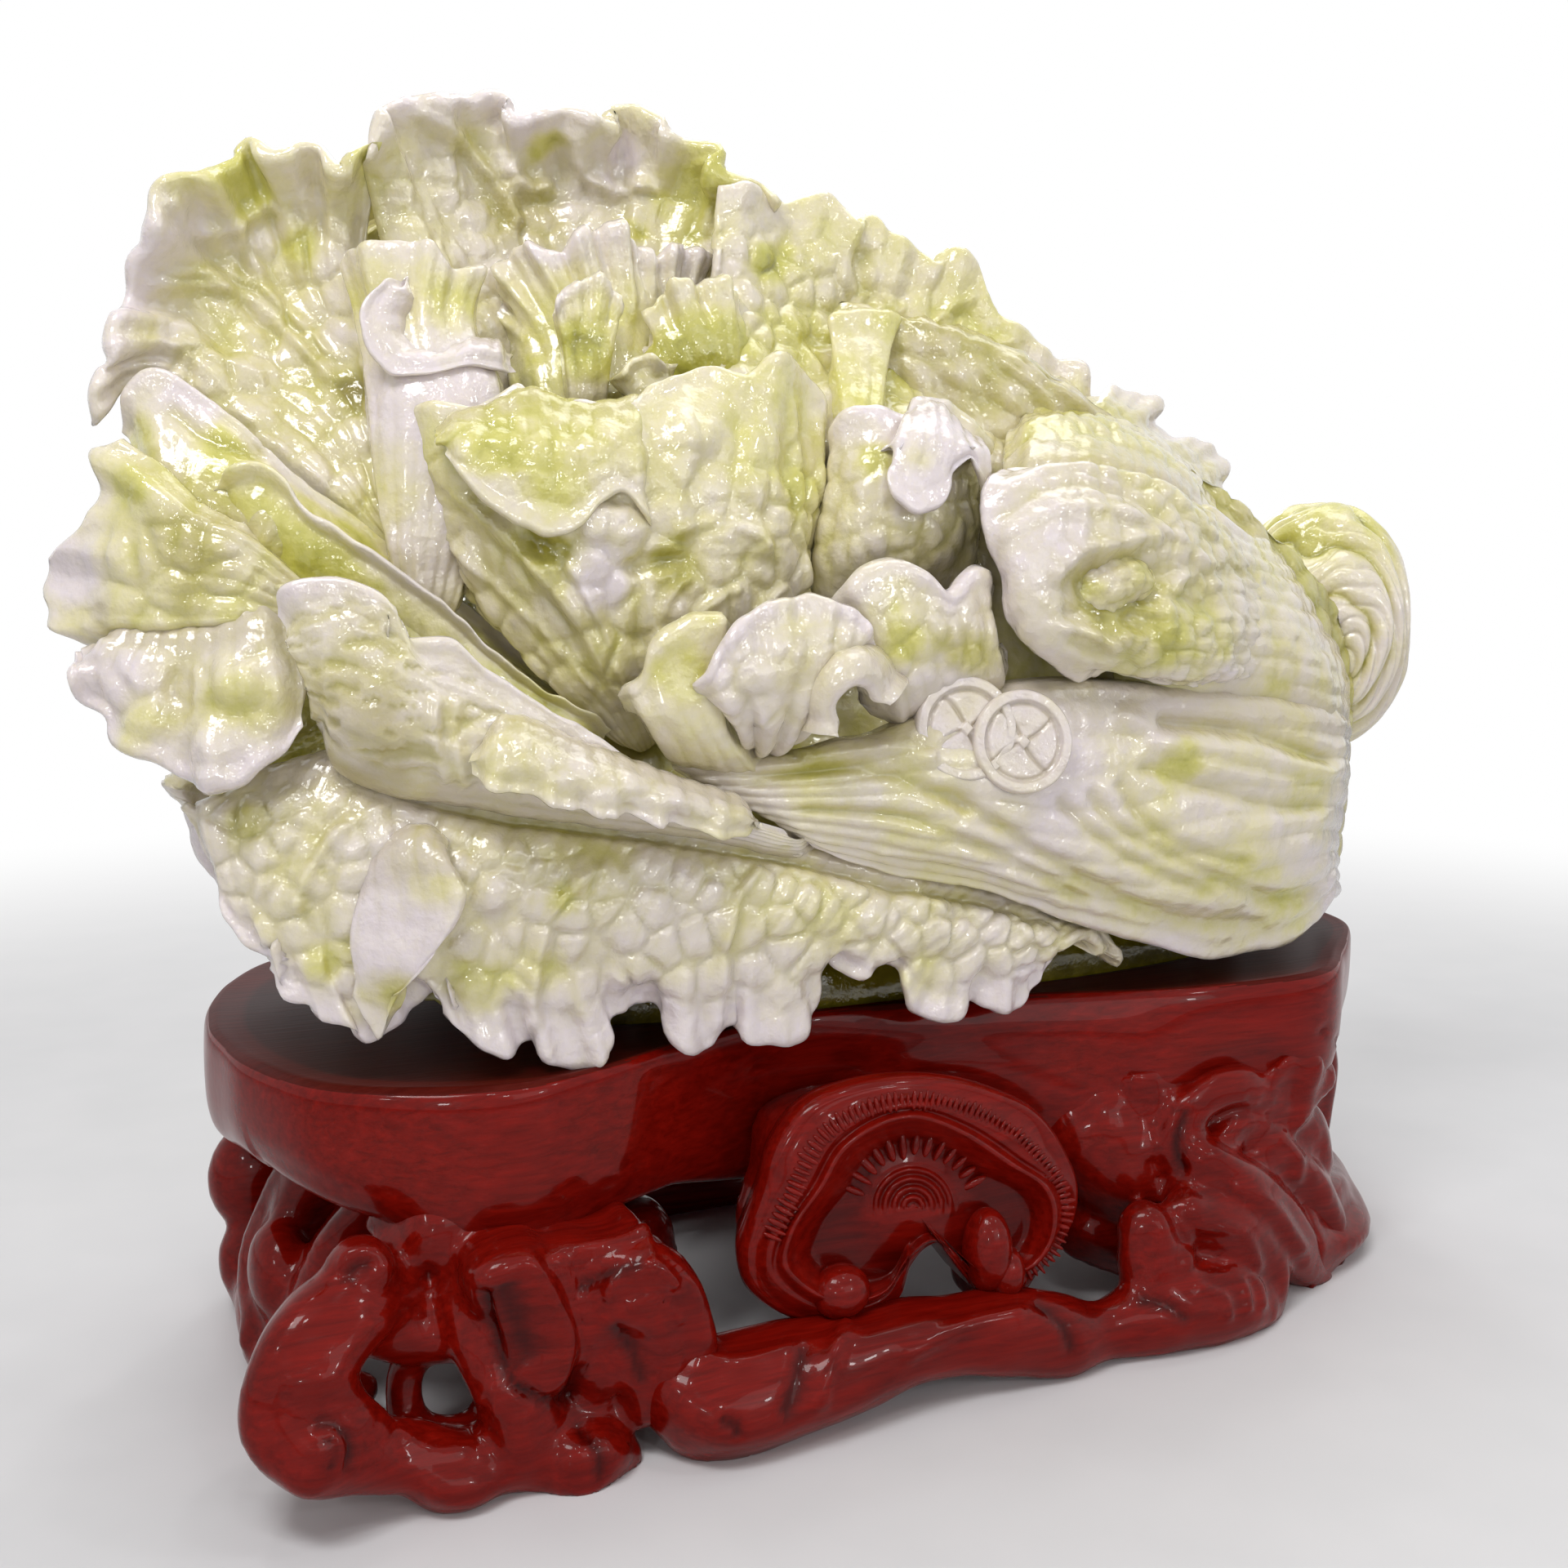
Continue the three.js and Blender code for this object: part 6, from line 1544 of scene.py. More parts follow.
PALE, GREEN, LILAC = Slot.JADE_PALE, Slot.JADE_GREEN, Slot.JADE_LILAC
FRONT_LEAVES = (
    leaf("front_centre_curl", GREEN, 0.8, CURL, green=0.42, edge_green=-0.15, lip=1.2, blister=0.8,
         patches=(Patch(610, 545, 35, 0.25), Patch(690, 610, 28, 0.2), Patch(765, 630, 22, 0.15, 0.4))),
    leaf("small_curl", LILAC, 1.0, CURL, green=0.1, lip=0.8),
    leaf("leaf_f", PALE, 1.0, BLADE, green=0.2, blister=1.2, lip=0.6, ruffle=1.0, ruffle_length=16,
         streak=2.6, streak_width=12.5, swell=1.6,
         ribs=(rib(1.2, 2.2, (905, 830), (925, 860), (935, 890)), rib(1.4, 2.2, (980, 760), (975, 830)),
               rib(1.4, 2.2, (1035, 770), (1020, 830)))),
    leaf("leaf_e", PALE, 1.0, STOUT, green=0.4, lip=0.8, patches=(Patch(840, 830, 42, 0.3, 0.1),)),
    leaf("leaf_g", PALE, 1.0, STOUT, green=0.22, lip=0.8, blister=1.2, swell=1.8,
         patches=(Patch(1110, 790, 36, 0.35), Patch(1190, 800, 30, 0.3, 0.3))),
    leaf("rolled_leaf_ruffle", GREEN, 1.0, CURL, green=0.22, edge_green=0.1, blister=0.8, ruffle=1.6,
         ruffle_length=18, lip=1.0),
    leaf("rolled_leaf", PALE, 1.0, BLADE, green=0.3, streak=0.0, flow=0.4, flow_width=5.0, lip=1.6,
         dash=0.9, swell=1.2,
         ribs=(rib(2.2, 2.4, (535, 850), (532, 900), (550, 965)),
               rib(2.0, 2.2, (560, 850), (556, 905), (575, 970)),
               rib(2.0, 3.0, (345, 760), (370, 830), (375, 900))),
         patches=(Patch(430, 860, 90, 0.15, 0.3), Patch(480, 930, 60, 0.1, 0.3))),
    leaf("left_hem_leaf", GREEN, 1.0, BLADE, green=0.28, edge_green=-0.1, blister=2.0, swell=2.0,
         blister_size=15, ruffle=2.0, lip=1.2,
         dents=(Dent(290, 840, 40, 34, -4.0, 0), Dent(215, 860, 24, 60, 3.5, 10),
                Dent(255, 930, 26, 50, -3.5, 0)),
         patches=(Patch(170, 895, 32, 0.35), Patch(300, 850, 40, 0.2), Patch(125, 830, 38, -0.3))),
    leaf("left_wing_leaf", GREEN, 0.95, BLADE, green=0.55, edge_green=-0.15, blister=1.8,
         blister_size=13, ruffle=1.6, lip=1.4,
         patches=(Patch(240, 680, 60, 0.2, 0.45), Patch(80, 700, 36, -0.4), Patch(160, 595, 30, 0.2))),
    leaf("left_leaf_lip", GREEN, 0.85, CURL, green=0.55, edge_green=-0.2, lip=2.8, streak=0.2,
         swell=1.4,
         patches=(Patch(400, 680, 60, 0.25),)),
    leaf("hem_fold", LILAC, 1.0, CURL, green=0.08, lip=1.5, tuck=0.3, streak=0.2,
         patches=(Patch(484, 1218, 36, 0.6, 0.3), Patch(535, 1085, 26, 0.35))),
    leaf("front_lower_leaf", PALE, 1.0, BLADE, green=0.3, edge_green=-0.24, blister=2.4,
         blister_size=10.5, ruffle=1.2, ruffle_length=22, lip=1.0, ribs=LOWER_RIBS,
         patches=(Patch(585, 1215, 40, 0.35), Patch(675, 1190, 34, 0.35), Patch(1130, 1190, 34, 0.3),
                  Patch(690, 1100, 28, 0.3), Patch(1200, 1060, 30, 0.3), Patch(395, 1180, 30, 0.25),
                  Patch(300, 1010, 26, 0.35, 0.3), Patch(430, 1240, 22, 0.3))),
    leaf("leaf_roll", PALE, 1.0, BLADE, green=0.24, blister=1.4, blister_size=8, lip=1.2,
         ribs=ROLL_GROOVES, swell=1.4,
         dents=(Dent(1366, 714, 84, 46, 6.0, -14), Dent(1400, 762, 26, 18, 3.0, 0),
                Dent(1470, 735, 40, 22, 2.5, 10), Dent(1330, 790, 34, 14, 1.8, 20)),
         patches=(Patch(1350, 715, 48, 0.35, 0.5), Patch(1380, 790, 60, 0.3, 0.2),
                  Patch(1470, 790, 50, 0.3), Patch(1240, 620, 50, 0.12))),
    leaf("right_centre_curl", LILAC, 0.85, CURL, green=0.1, lip=1.2,
         patches=(Patch(1130, 560, 26, 0.4), Patch(1190, 590, 26, 0.3, 0.3))),
    leaf("right_centre_leaf", PALE, 0.82, STOUT, green=0.26, blister=1.2, lip=1.0, ruffle=0.8,
         swell=1.4,
         patches=(Patch(1070, 560, 30, 0.4), Patch(1140, 670, 60, 0.1, 0.2))),
    leaf("front_centre_leaf", PALE, 0.8, BLADE, green=0.3, edge_green=0.12, blister=2.0, blister_size=12,
         ruffle=1.5, ruffle_length=42, lip=1.0, ribs=FRONT_RIBS, swell=2.2, streak=0.2,
         dents=(Dent(740, 640, 60, 30, -3.0, 10), Dent(850, 520, 40, 55, -3.5, 8),
                Dent(930, 560, 30, 60, -2.5, -4), Dent(665, 668, 44, 20, 3.5, 20),
                Dent(800, 690, 46, 18, 3.0, -10), Dent(905, 660, 60, 22, -2.0, 0)),
         patches=(Patch(740, 715, 44, -0.5, -0.4), Patch(665, 665, 34, 0.3, 0.4),
                  Patch(825, 690, 30, 0.35, 0.4), Patch(620, 545, 50, 0.2), Patch(975, 600, 30, 0.2))),
    leaf("heart_left_curl", LILAC, 0.5, CURL, green=0.02, lip=1.0),
    leaf("heart_left", GREEN, (0.7, 0.65, 0.6, 0.5, 0.5), 5.0, green=0.2, edge_green=0.25, lip=0.8,
         ruffle=1.4, ruffle_length=18,
         patches=(Patch(550, 490, 90, -0.3), Patch(560, 375, 44, 0.25), Patch(480, 600, 60, 0.3))),
    leaf("heart_b", GREEN, 0.5, HEART, green=0.42, lip=1.0, ruffle=1.4, ruffle_length=9, blister=0.8,
         swell=1.4, patches=(Patch(710, 425, 34, 0.4),)),
    leaf("heart_d", GREEN, 0.58, HEART, green=0.42, lip=1.0, ruffle=1.8, ruffle_length=11,
         blister=0.8, swell=1.4),
    leaf("heart_c", GREEN, 0.45, HEART, green=0.66, edge_green=-0.4, lip=1.2, ruffle=2.4,
         ruffle_length=13, swell=1.6,
         patches=(Patch(840, 450, 70, 0.2, 0.15),)),
    leaf("inner_right_leaf", GREEN, (0.7, 0.5, 0.4), HEART, green=0.45, lip=0.8),
    leaf("heart_a", GREEN, (0.4, 0.3, 0.3), HEART, green=0.52, edge_green=-0.2, lip=1.2, ruffle=2.6,
         ruffle_length=15, swell=1.4,
         patches=(Patch(665, 300, 26, -0.4), Patch(750, 370, 90, 0.2), Patch(740, 300, 40, -0.1))),
    leaf("right_ridge_leaf", PALE, (0.9, 0.6, 0.3), BLADE, green=0.3, blister=1.0, lip=1.0, ruffle=1.4,
         ribs=(rib(1.6, 2.2, (1240, 530), (1320, 515), (1400, 545), (1480, 610)),
               rib(-1.2, 2.2, (1250, 505), (1320, 495), (1400, 515)))),
    leaf("left_valley_leaf", GREEN, (0.8, 0.7, 0.6), BLADE, green=0.55, edge_green=-0.3, streak=0.3,
         lip=1.2,
         ribs=(rib(-1.6, 2.4, (200, 495), (260, 540), (330, 560)),
               rib(1.6, 2.0, (400, 640), (500, 730), (620, 820), (740, 890))),
         patches=(Patch(480, 630, 90, 0.2), Patch(230, 510, 44, -0.4))),
    leaf("back_left_leaf", PALE, (0.5, 0.3, 0, -0.1, 0), BLADE, green=0.25, edge_green=0.0, blister=2.0,
         blister_size=11, ruffle=2.2, ruffle_length=26, lip=1.4, ribs=BACK_LEFT_RIBS,
         patches=(Patch(297, 215, 50, 0.35), Patch(465, 205, 38, 0.3), Patch(365, 305, 26, 0.35),
                  Patch(432, 482, 26, 0.3, 0.8), Patch(165, 410, 30, 0.3), Patch(240, 275, 40, -0.25),
                  Patch(475, 640, 60, 0.25))),
    leaf("back_top_leaf", GREEN, (0.1, -0.1, -0.3, -0.3), BLADE, green=0.25, edge_green=0.0, blister=1.5,
         blister_size=11, ruffle=2.4, ruffle_length=28, lip=1.6, ribs=BACK_TOP_RIBS,
         patches=(Patch(660, 180, 20, 0.45), Patch(770, 185, 32, -0.4), Patch(860, 220, 60, 0.35),
                  Patch(640, 270, 60, 0.1, 0.35), Patch(910, 310, 26, 0.6))),
    leaf("back_right_leaf", PALE, (0.6, 0.2, -0.1), BLADE, green=0.3, edge_green=0.08, blister=2.1,
         blister_size=10, ruffle=1.5, ruffle_length=36, lip=1.2, ribs=BACK_RIGHT_RIBS, streak=0.2,
         swell=1.4,
         patches=(Patch(1100, 465, 44, 0.3), Patch(935, 320, 30, 0.5), Patch(1040, 350, 50, -0.2),
                  Patch(1200, 420, 60, 0.15), Patch(960, 430, 50, 0.25))),
    leaf("upper_stalk", PALE, 1.0, STOUT, green=0.28, blister=0.7, blister_size=12, lip=0.0,
         streak=0.0, flow=0.6, frill=0.0, tuck=2.0, root=0.0, ribs=ROLL_GROOVES,
         patches=(Patch(1560, 850, 34, 0.3), Patch(1450, 790, 60, 0.25))),
    leaf("front_stalk", LILAC, 1.0, STOUT, green=0.2, streak=0.0, flow=0.9, flow_width=9.0, lip=0.0,
         frill=0.0, tuck=2.0, root=0.0,
         ribs=STALK_GROOVES,
         patches=(Patch(1440, 930, 30, 0.4), Patch(1580, 1120, 50, 0.35), Patch(1000, 950, 60, 0.15),
                  Patch(1430, 890, 44, -0.2))),
)
BACK_LEAVES = (
    leaf("back_rolled_leaf", PALE, 1.0, STOUT, behind=True, green=0.32, blister=1.6, ruffle=2.2, lip=1.4,
         ribs=(rib(2.4, 3.0, (1000, 1000), (760, 900), (520, 800), (330, 690)),
               rib(1.6, 2.2, (760, 900), (600, 780), (520, 710)),
               rib(1.6, 2.2, (640, 850), (440, 800), (250, 740)))),
    leaf("back_lower_leaf", PALE, 1.0, STOUT, behind=True, green=0.28, edge_green=-0.2, blister=2.2,
         blister_size=10.5, ruffle=1.4, ruffle_length=24, lip=1.0, ribs=LOWER_RIBS,
         patches=(Patch(600, 1200, 40, 0.3), Patch(930, 1150, 40, 0.3))),
    leaf("back_ridge_leaf", PALE, 1.0, STOUT, behind=True, green=0.26, blister=1.0, ruffle=1.4, lip=1.2,
         ribs=(rib(1.8, 2.6, (1500, 860), (1400, 760), (1340, 640)),
               rib(1.6, 2.2, (1420, 850), (1300, 760), (1230, 650)))),
    leaf("back_middle_leaf", PALE, 0.95, STOUT, behind=True, green=0.34, edge_green=0.1, blister=1.6,
         ruffle=2.4, lip=1.4,
         ribs=(rib(2.4, 3.0, (1000, 860), (800, 700), (640, 520), (560, 360)),
               rib(1.7, 2.2, (800, 700), (560, 600), (380, 470)),
               rib(1.7, 2.2, (900, 780), (860, 600), (820, 420))),
         patches=(Patch(450, 400, 60, 0.3), Patch(900, 450, 50, 0.3))),
    leaf("back_crown_leaf", GREEN, (0.8, 0.8, 0.5), STOUT, behind=True, green=0.4, edge_green=0.15,
         blister=1.4, ruffle=2.6, lip=1.4,
         ribs=(rib(2.0, 2.2, (700, 400), (600, 300), (540, 200)),
               rib(2.0, 2.2, (900, 440), (900, 340), (880, 260)),
               rib(1.8, 2.2, (420, 400), (340, 320), (280, 250)))),
    leaf("back_stalk", LILAC, 1.0, STOUT, behind=True, picks="front_stalk", green=0.2, streak=0.0,
         flow=0.9, flow_width=9.0, lip=0.0, frill=0.0, tuck=2.0, root=0.0, ribs=STALK_GROOVES),
)


def wrapped_normals(rings: np.ndarray) -> np.ndarray:
    """Works out normals of closed rings.

    Args:
        rings: the places, first axis from ring to ring.

    Returns:
        The unit normal at each place.
    """
    down = np.gradient(rings, axis=0)
    across = np.roll(rings, -1, axis=1) - np.roll(rings, 1, axis=1)
    normal = unit(np.cross(across, down))
    outward = rings - rings.mean(axis=(0, 1))
    return normal if (normal * outward).sum() > 0 else -normal


def closed_loft(rings: np.ndarray, green: np.ndarray, shade: np.ndarray) -> Skin:
    """Joins rings into one closed skin, each end closed by a fan.

    Args:
        rings: the places, first axis from ring to ring.
        green: how green each place is.
        shade: how deep in shade each place is.

    Returns:
        The skin.
    """
    count, sides = rings.shape[:2]
    index = np.arange(count * sides).reshape(count, sides)
    after = np.roll(index, -1, axis=1)
    quads = np.stack([index[:-1], after[:-1], after[1:], index[1:]], axis=-1).reshape(-1, 4)
    start, stop = count * sides, count * sides + 1
    faces = [tuple(face) for face in quads.tolist()]
    faces += [(start, b, a) for a, b in zip(index[0].tolist(), after[0].tolist())]
    faces += [(stop, a, b) for a, b in zip(index[-1].tolist(), after[-1].tolist())]
    ends = np.stack([rings[0].mean(axis=0), rings[-1].mean(axis=0)])
    return Skin(
        np.concatenate([rings.reshape(-1, 3), ends]),
        faces,
        np.concatenate([green.ravel(), [green[0].mean(), green[-1].mean()]]),
        np.concatenate([shade.ravel(), [shade[0].mean(), shade[-1].mean()]]),
    )


def joined(*skins: Skin) -> Skin:
    """Puts several skins into one.

    Args:
        *skins: the closed skins.

    Returns:
        The skin of them all, each with its faces outwards.
    """
    faces: list[tuple[int, ...]] = []
    start = 0
    for skin in skins:
        turned = skin.faces if skin.volume() > 0 else [face[::-1] for face in skin.faces]
        faces += [tuple(corner + start for corner in face) for face in turned]
        start += len(skin.places)
    return Skin(
        np.concatenate([skin.places for skin in skins]),
        faces,
        np.concatenate([skin.green for skin in skins]),
        np.concatenate([skin.shade for skin in skins]),
    )


# How many places go round a ball, and how far from its poles its rings begin, in radians.
BALL_SIDES = 36
POLE_GAP = 0.02


def ball(centre: np.ndarray, radii: tuple[float, float, float]) -> Skin:
    """Makes an ellipsoid.

    Args:
        centre: its middle.
        radii: its half sizes.

    Returns:
        The skin.
    """
    down = np.linspace(POLE_GAP, math.pi - POLE_GAP, BALL_SIDES // 2)[:, None]
    turn = circle(BALL_SIDES)[None, :]
    rings = np.stack([
        np.sin(down) * np.cos(turn),
        np.sin(down) * np.sin(turn),
        np.cos(down) * np.ones_like(turn),
    ], axis=-1) * np.array(radii) + centre
    zeros = np.zeros(rings.shape[:2])
    return closed_loft(rings, zeros, zeros)


# The outline of the stone's foot, which the seat follows, and the depth of the seat.
FOOT_CENTRE = (25.0, 10.0)
FOOT_HALVES = (150.0, 46.0)
FOOT_POWER = 2.6
SEAT_DEPTH = 3.0


def foot_outline(turn: np.ndarray, grow: float) -> np.ndarray:
    """Draws the outline of the stone's foot.

    Args:
        turn: the directions from its middle, in radians.
        grow: how much longer its half sizes are.

    Returns:
        The x and y of a place in each direction.
    """
    half_x, half_y = FOOT_HALVES[0] + grow, FOOT_HALVES[1] + grow
    total = (np.abs(np.cos(turn)) / half_x) ** FOOT_POWER
    total = total + (np.abs(np.sin(turn)) / half_y) ** FOOT_POWER
    reach = total ** (-1 / FOOT_POWER)
    return np.array(FOOT_CENTRE) + np.column_stack([reach * np.cos(turn), reach * np.sin(turn)])


@dataclass(frozen=True)
class StoneCore:
    """The block inside the leaves, with the foot that stands in the slab's seat.

    Low and high say how much of the lump's depth it fills at its foot and at its crown.
    """

    half_length: float = 214.0
    end_power: float = 6.0
    across: int = 26
    base: float = 4.0
    crown: float = 26.0
    tuck: float = 0.6
    back_fill: float = 0.88
    low: tuple[tuple[float, float], ...] = ((-190, 0.8), (-60, 0.84), (240, 0.86))
    high: tuple[tuple[float, float], ...] = (
        (-190, -0.3), (-80, -0.3), (-20, 0.0), (30, 0.4), (80, 0.6), (240, 0.86),
    )
    stations: int = 210
    last_turn: float = 1.54
    levels: int = 118
    crest_rise: float = 4.0
    seat_gap: float = 0.3
    foot_rise: float = 22.0
    blister: float = 2.4
    fold: float = 2.4
    packed_from: float = -130.0
    packed_to: float = -180.0
    ridge_rise: float = 2.6
    ridge_width: float = 2.6
    ridges: tuple[tuple[tuple[float, float], ...], ...] = (
        ((1100, 405), (1122, 460), (1150, 520)), ((1128, 398), (1160, 448), (1190, 505)),
        ((1165, 405), (1205, 452), (1240, 500)), ((1200, 420), (1245, 465), (1290, 500)),
        ((1245, 445), (1290, 480), (1330, 505)), ((1290, 480), (1320, 500), (1350, 530)),
    )

    def ring(self, x: float) -> np.ndarray:
        """Cuts the block across.

        Args:
            x: where.

        Returns:
            The places up its front, over its crest, down its back and under its sole.
        """
        along = abs(x - LUMP.x) / self.half_length
        full_round = math.sqrt(max(1 - along**self.end_power, 0))
        full = float(LUMP.top(np.array(x))) - self.crown
        middle = (full + self.base) / 2
        base = middle + (self.base - middle) * full_round
        top = middle + (full - middle) * full_round
        level = (1 - np.cos(np.linspace(0, math.pi, self.levels))) / 2
        z = base + (top - base) * level
        low = np.interp(x, *np.array(self.low).T)
        high = np.interp(x, *np.array(self.high).T)
        fill = low + (high - low) * smooth_step(0.1, 0.8, level)
        tuck = float(np.interp(x, (120, 190), (self.tuck, 0.97)))
        tuck = tuck + (1 - tuck) * smooth_step(0, 0.2, level)
        depth = LUMP.depth(np.full_like(z, x), z) * tuck * full_round
        front = np.stack([np.full_like(z, x), LUMP.y - fill * depth, SLAB_TOP + z], axis=1)
        back = np.stack([np.full_like(z, x), LUMP.y + self.back_fill * depth, SLAB_TOP + z],
                        axis=1)
        share = np.linspace(0, 1, self.across + 2)[1:-1, None]
        crest = front[-1] * (1 - share) + back[-1] * share
        crest[:, 2] += self.crest_rise * np.sin(math.pi * share[:, 0]) * full_round
        sole = back[0] * (1 - share) + front[0] * share
        return np.concatenate([front, crest, back[::-1], sole])

    def foot(self) -> Skin:
        """Builds the foot.

        Returns:
            A closed skin that stands in the seat and reaches up into the block.
        """
        turn = circle(160)
        low = SLAB_TOP - SEAT_DEPTH + self.seat_gap
        levels = ((low, 1.0), (low + 0.4, 0.3), (low + 1, 0.0), (low + self.foot_rise, 0.0))
        grid = np.stack([
            np.column_stack([foot_outline(turn, -inset), np.full_like(turn, z)])
            for z, inset in levels
        ])
        # Painted shade: the foot is fully green and fully shaded, a dark olive, as it stands in the shadow
        # under the hems.
        flat = np.ones(grid.shape[:2])
        return closed_loft(grid, flat, flat)

    def build(self, dresser: Dresser) -> None:
        """Makes the piece."""
        turns = np.linspace(-self.last_turn, self.last_turn, self.stations)
        rings = np.stack([self.ring(x) for x in LUMP.x + self.half_length * np.sin(turns)])
        domes = pebbles(rings, 12.0, 5.0)
        rise = self.blister * domes - self.blister / 2 + 1.6 * soft_noise(rings, 30, 6.0)
        spots = SIGHT.pixels(rings)
        for line in self.ridges:
            apart, _ = millimetres_apart(spots, line)
            rise += self.ridge_rise * bell(apart, self.ridge_width) * (rings[..., 1] < LUMP.y)
        packed = smooth_step(self.packed_from, self.packed_to, rings[..., 0])
        folds = np.sin(rings[..., 1] * 0.7 + 6 * soft_noise(rings, 34, 2.0))
        rise = rise * (1 - 0.7 * packed) + self.fold * folds * packed
        rise = rise * (1 - smooth_step(1.2, self.last_turn, turns))[:, None]
        rings = rings + wrapped_normals(rings) * rise[..., None]
        # Painted shade: the creases between the domes are greener and darker, the troughs of the packed
        # end's folds darker, and the whole block a little darker as it lies deep among the leaves.
        green = 0.48 + 0.25 * soft_noise(rings, 30, 7.0) + 0.2 * (1 - domes)
        shade = 0.22 + 0.3 * (1 - domes) * (1 - packed) - 0.22 * folds * packed
        skin = joined(closed_loft(rings, green, shade), self.foot())
        piece = skin.to_object("carved_stone_core", dresser.finish(Slot.JADE_PALE))
        settle(piece, Body.CABBAGE, Slot.JADE_PALE, "stone_core")


@dataclass(frozen=True)
class Coin:
    """An old cash coin carved on the stalk, with a rim and a small middle."""

    name: str
    pick: tuple[float, float, float]
    facing: tuple[float, float, float] = (-0.16, -0.97, 0.18)
    radius: float = 16.0
    half: float = 4.0
    rim_width: float = 3.0
    rim_rise: float = 1.0
    spokes: tuple[float, ...] = (1.9, 3.4, 5.1, 0.35)
    spoke_depth: float = 0.75
    spoke_width: float = 0.65
    hub_rise: float = 0.7

    def height(self, across: np.ndarray, up: np.ndarray) -> np.ndarray:
        """Works out the relief of the coin's face.

        Args:
            across: how far right of its middle each place lies.
            up: how far above it.

        Returns:
            The rise over the half thickness.
        """
        reach = np.hypot(across, up)
        turn = np.arctan2(up, across)
        rim = smooth_step(self.radius - self.rim_width - 0.7, self.radius - self.rim_width, reach)
        rise = self.rim_rise * rim * (1 - 0.4 * smooth_step(self.radius - 0.8, self.radius, reach))
        rise -= 0.5 * bell(reach - self.radius + self.rim_width + 1.4, 0.6)
        for spoke in self.spokes:
            bend = turn - spoke - 0.35 * (reach / self.radius)
            apart = reach * np.abs(np.sin(bend / 2)) * 2
            inside = smooth_step(1.6, 2.4, reach) * (1 - smooth_step(11.4, 12.4, reach))
            rise -= self.spoke_depth * bell(apart, self.spoke_width) * inside
        square = np.abs(across) + np.abs(up)
        rise += self.hub_rise * (1 - smooth_step(1.8, 2.6, square))
        return rise + 0.25 * soft_noise(np.stack([across, up, up * 0], axis=-1), 5.0, 3.0)

    def build(self, dresser: Dresser) -> None:
        """Makes the piece."""
        centre = picked_place(self.pick)
        axis = np.array(self.facing) / np.linalg.norm(self.facing)
        right = np.cross([0.0, 0.0, 1.0], axis)
        right = right / np.linalg.norm(right)
        up = np.cross(axis, right)
        turn = circle(160)[None, :]
        face_reach = np.linspace(0.02, self.radius - 0.5, 60)[:, None]
        across, rise = face_reach * np.cos(turn), face_reach * np.sin(turn)
        forward = self.half + self.height(across, rise)
        profile = ((self.radius - 0.15, self.half + self.rim_rise * 0.35),
                   (self.radius, self.half), (self.radius, -self.half),
                   (self.radius - 0.6, -self.half - 0.1), (0.5, -self.half - 0.1))
        for reach, high in profile:
            across = np.concatenate([across, reach * np.cos(turn)])
            rise = np.concatenate([rise, reach * np.sin(turn)])
            forward = np.concatenate([forward, np.full_like(turn, high)])
        rings = centre + across[..., None] * right + rise[..., None] * up
        rings = rings + forward[..., None] * axis
        green = 0.12 + 0.14 * soft_noise(rings, 9, 2.0)
        # Painted shade: darker in the cut spokes and the groove inside the rim, and a little darker all
        # over.
        shade = 0.2 + 0.3 * smooth_step(0.1, -0.6, self.height(across, rise))
        piece = closed_loft(rings, green, shade).to_object(
            f"carved_{self.name}", dresser.finish(Slot.JADE_LILAC))
        settle(piece, Body.CABBAGE, Slot.JADE_LILAC, self.name)


@dataclass(frozen=True)
class OvalBud:
    """The oval bud inside the rolled leaf."""

    pick: tuple[float, float, float] = (1356, 718, 10.5)
    length: float = 30.0
    width: float = 17.0
    slope: float = 0.16

    def build(self, dresser: Dresser) -> None:
        """Makes the piece."""
        centre = picked_place(self.pick)
        down = np.linspace(0.03, math.pi - 0.03, 50)[:, None]
        turn = circle(72)[None, :]
        seam = 1 - 0.05 * bell(np.sin(turn - 0.6), 0.12) * np.sin(down)
        thick = self.width / 2 * seam * np.sin(down) ** 0.9
        rings = np.stack([
            -self.length / 2 * np.cos(down) * np.ones_like(turn),
            thick * np.cos(turn),
            thick * np.sin(turn),
        ], axis=-1) + centre
        rings[..., 2] += (rings[..., 0] - centre[0]) * self.slope
        rise = 1.1 * pebbles(rings, 6.0, 2.0) + 0.8 * soft_noise(rings, 9, 3.0)
        rings = rings + wrapped_normals(rings) * rise[..., None]
        green = 0.5 + 0.25 * soft_noise(rings, 6, 1.0)
        # Painted shade: darker in the hollows between the bud's domes.
        skin = closed_loft(rings, green, 0.3 - 0.12 * rise)
        piece = skin.to_object("carved_oval_bud", dresser.finish(Slot.JADE_PALE))
        settle(piece, Body.CABBAGE, Slot.JADE_PALE, "oval_bud")


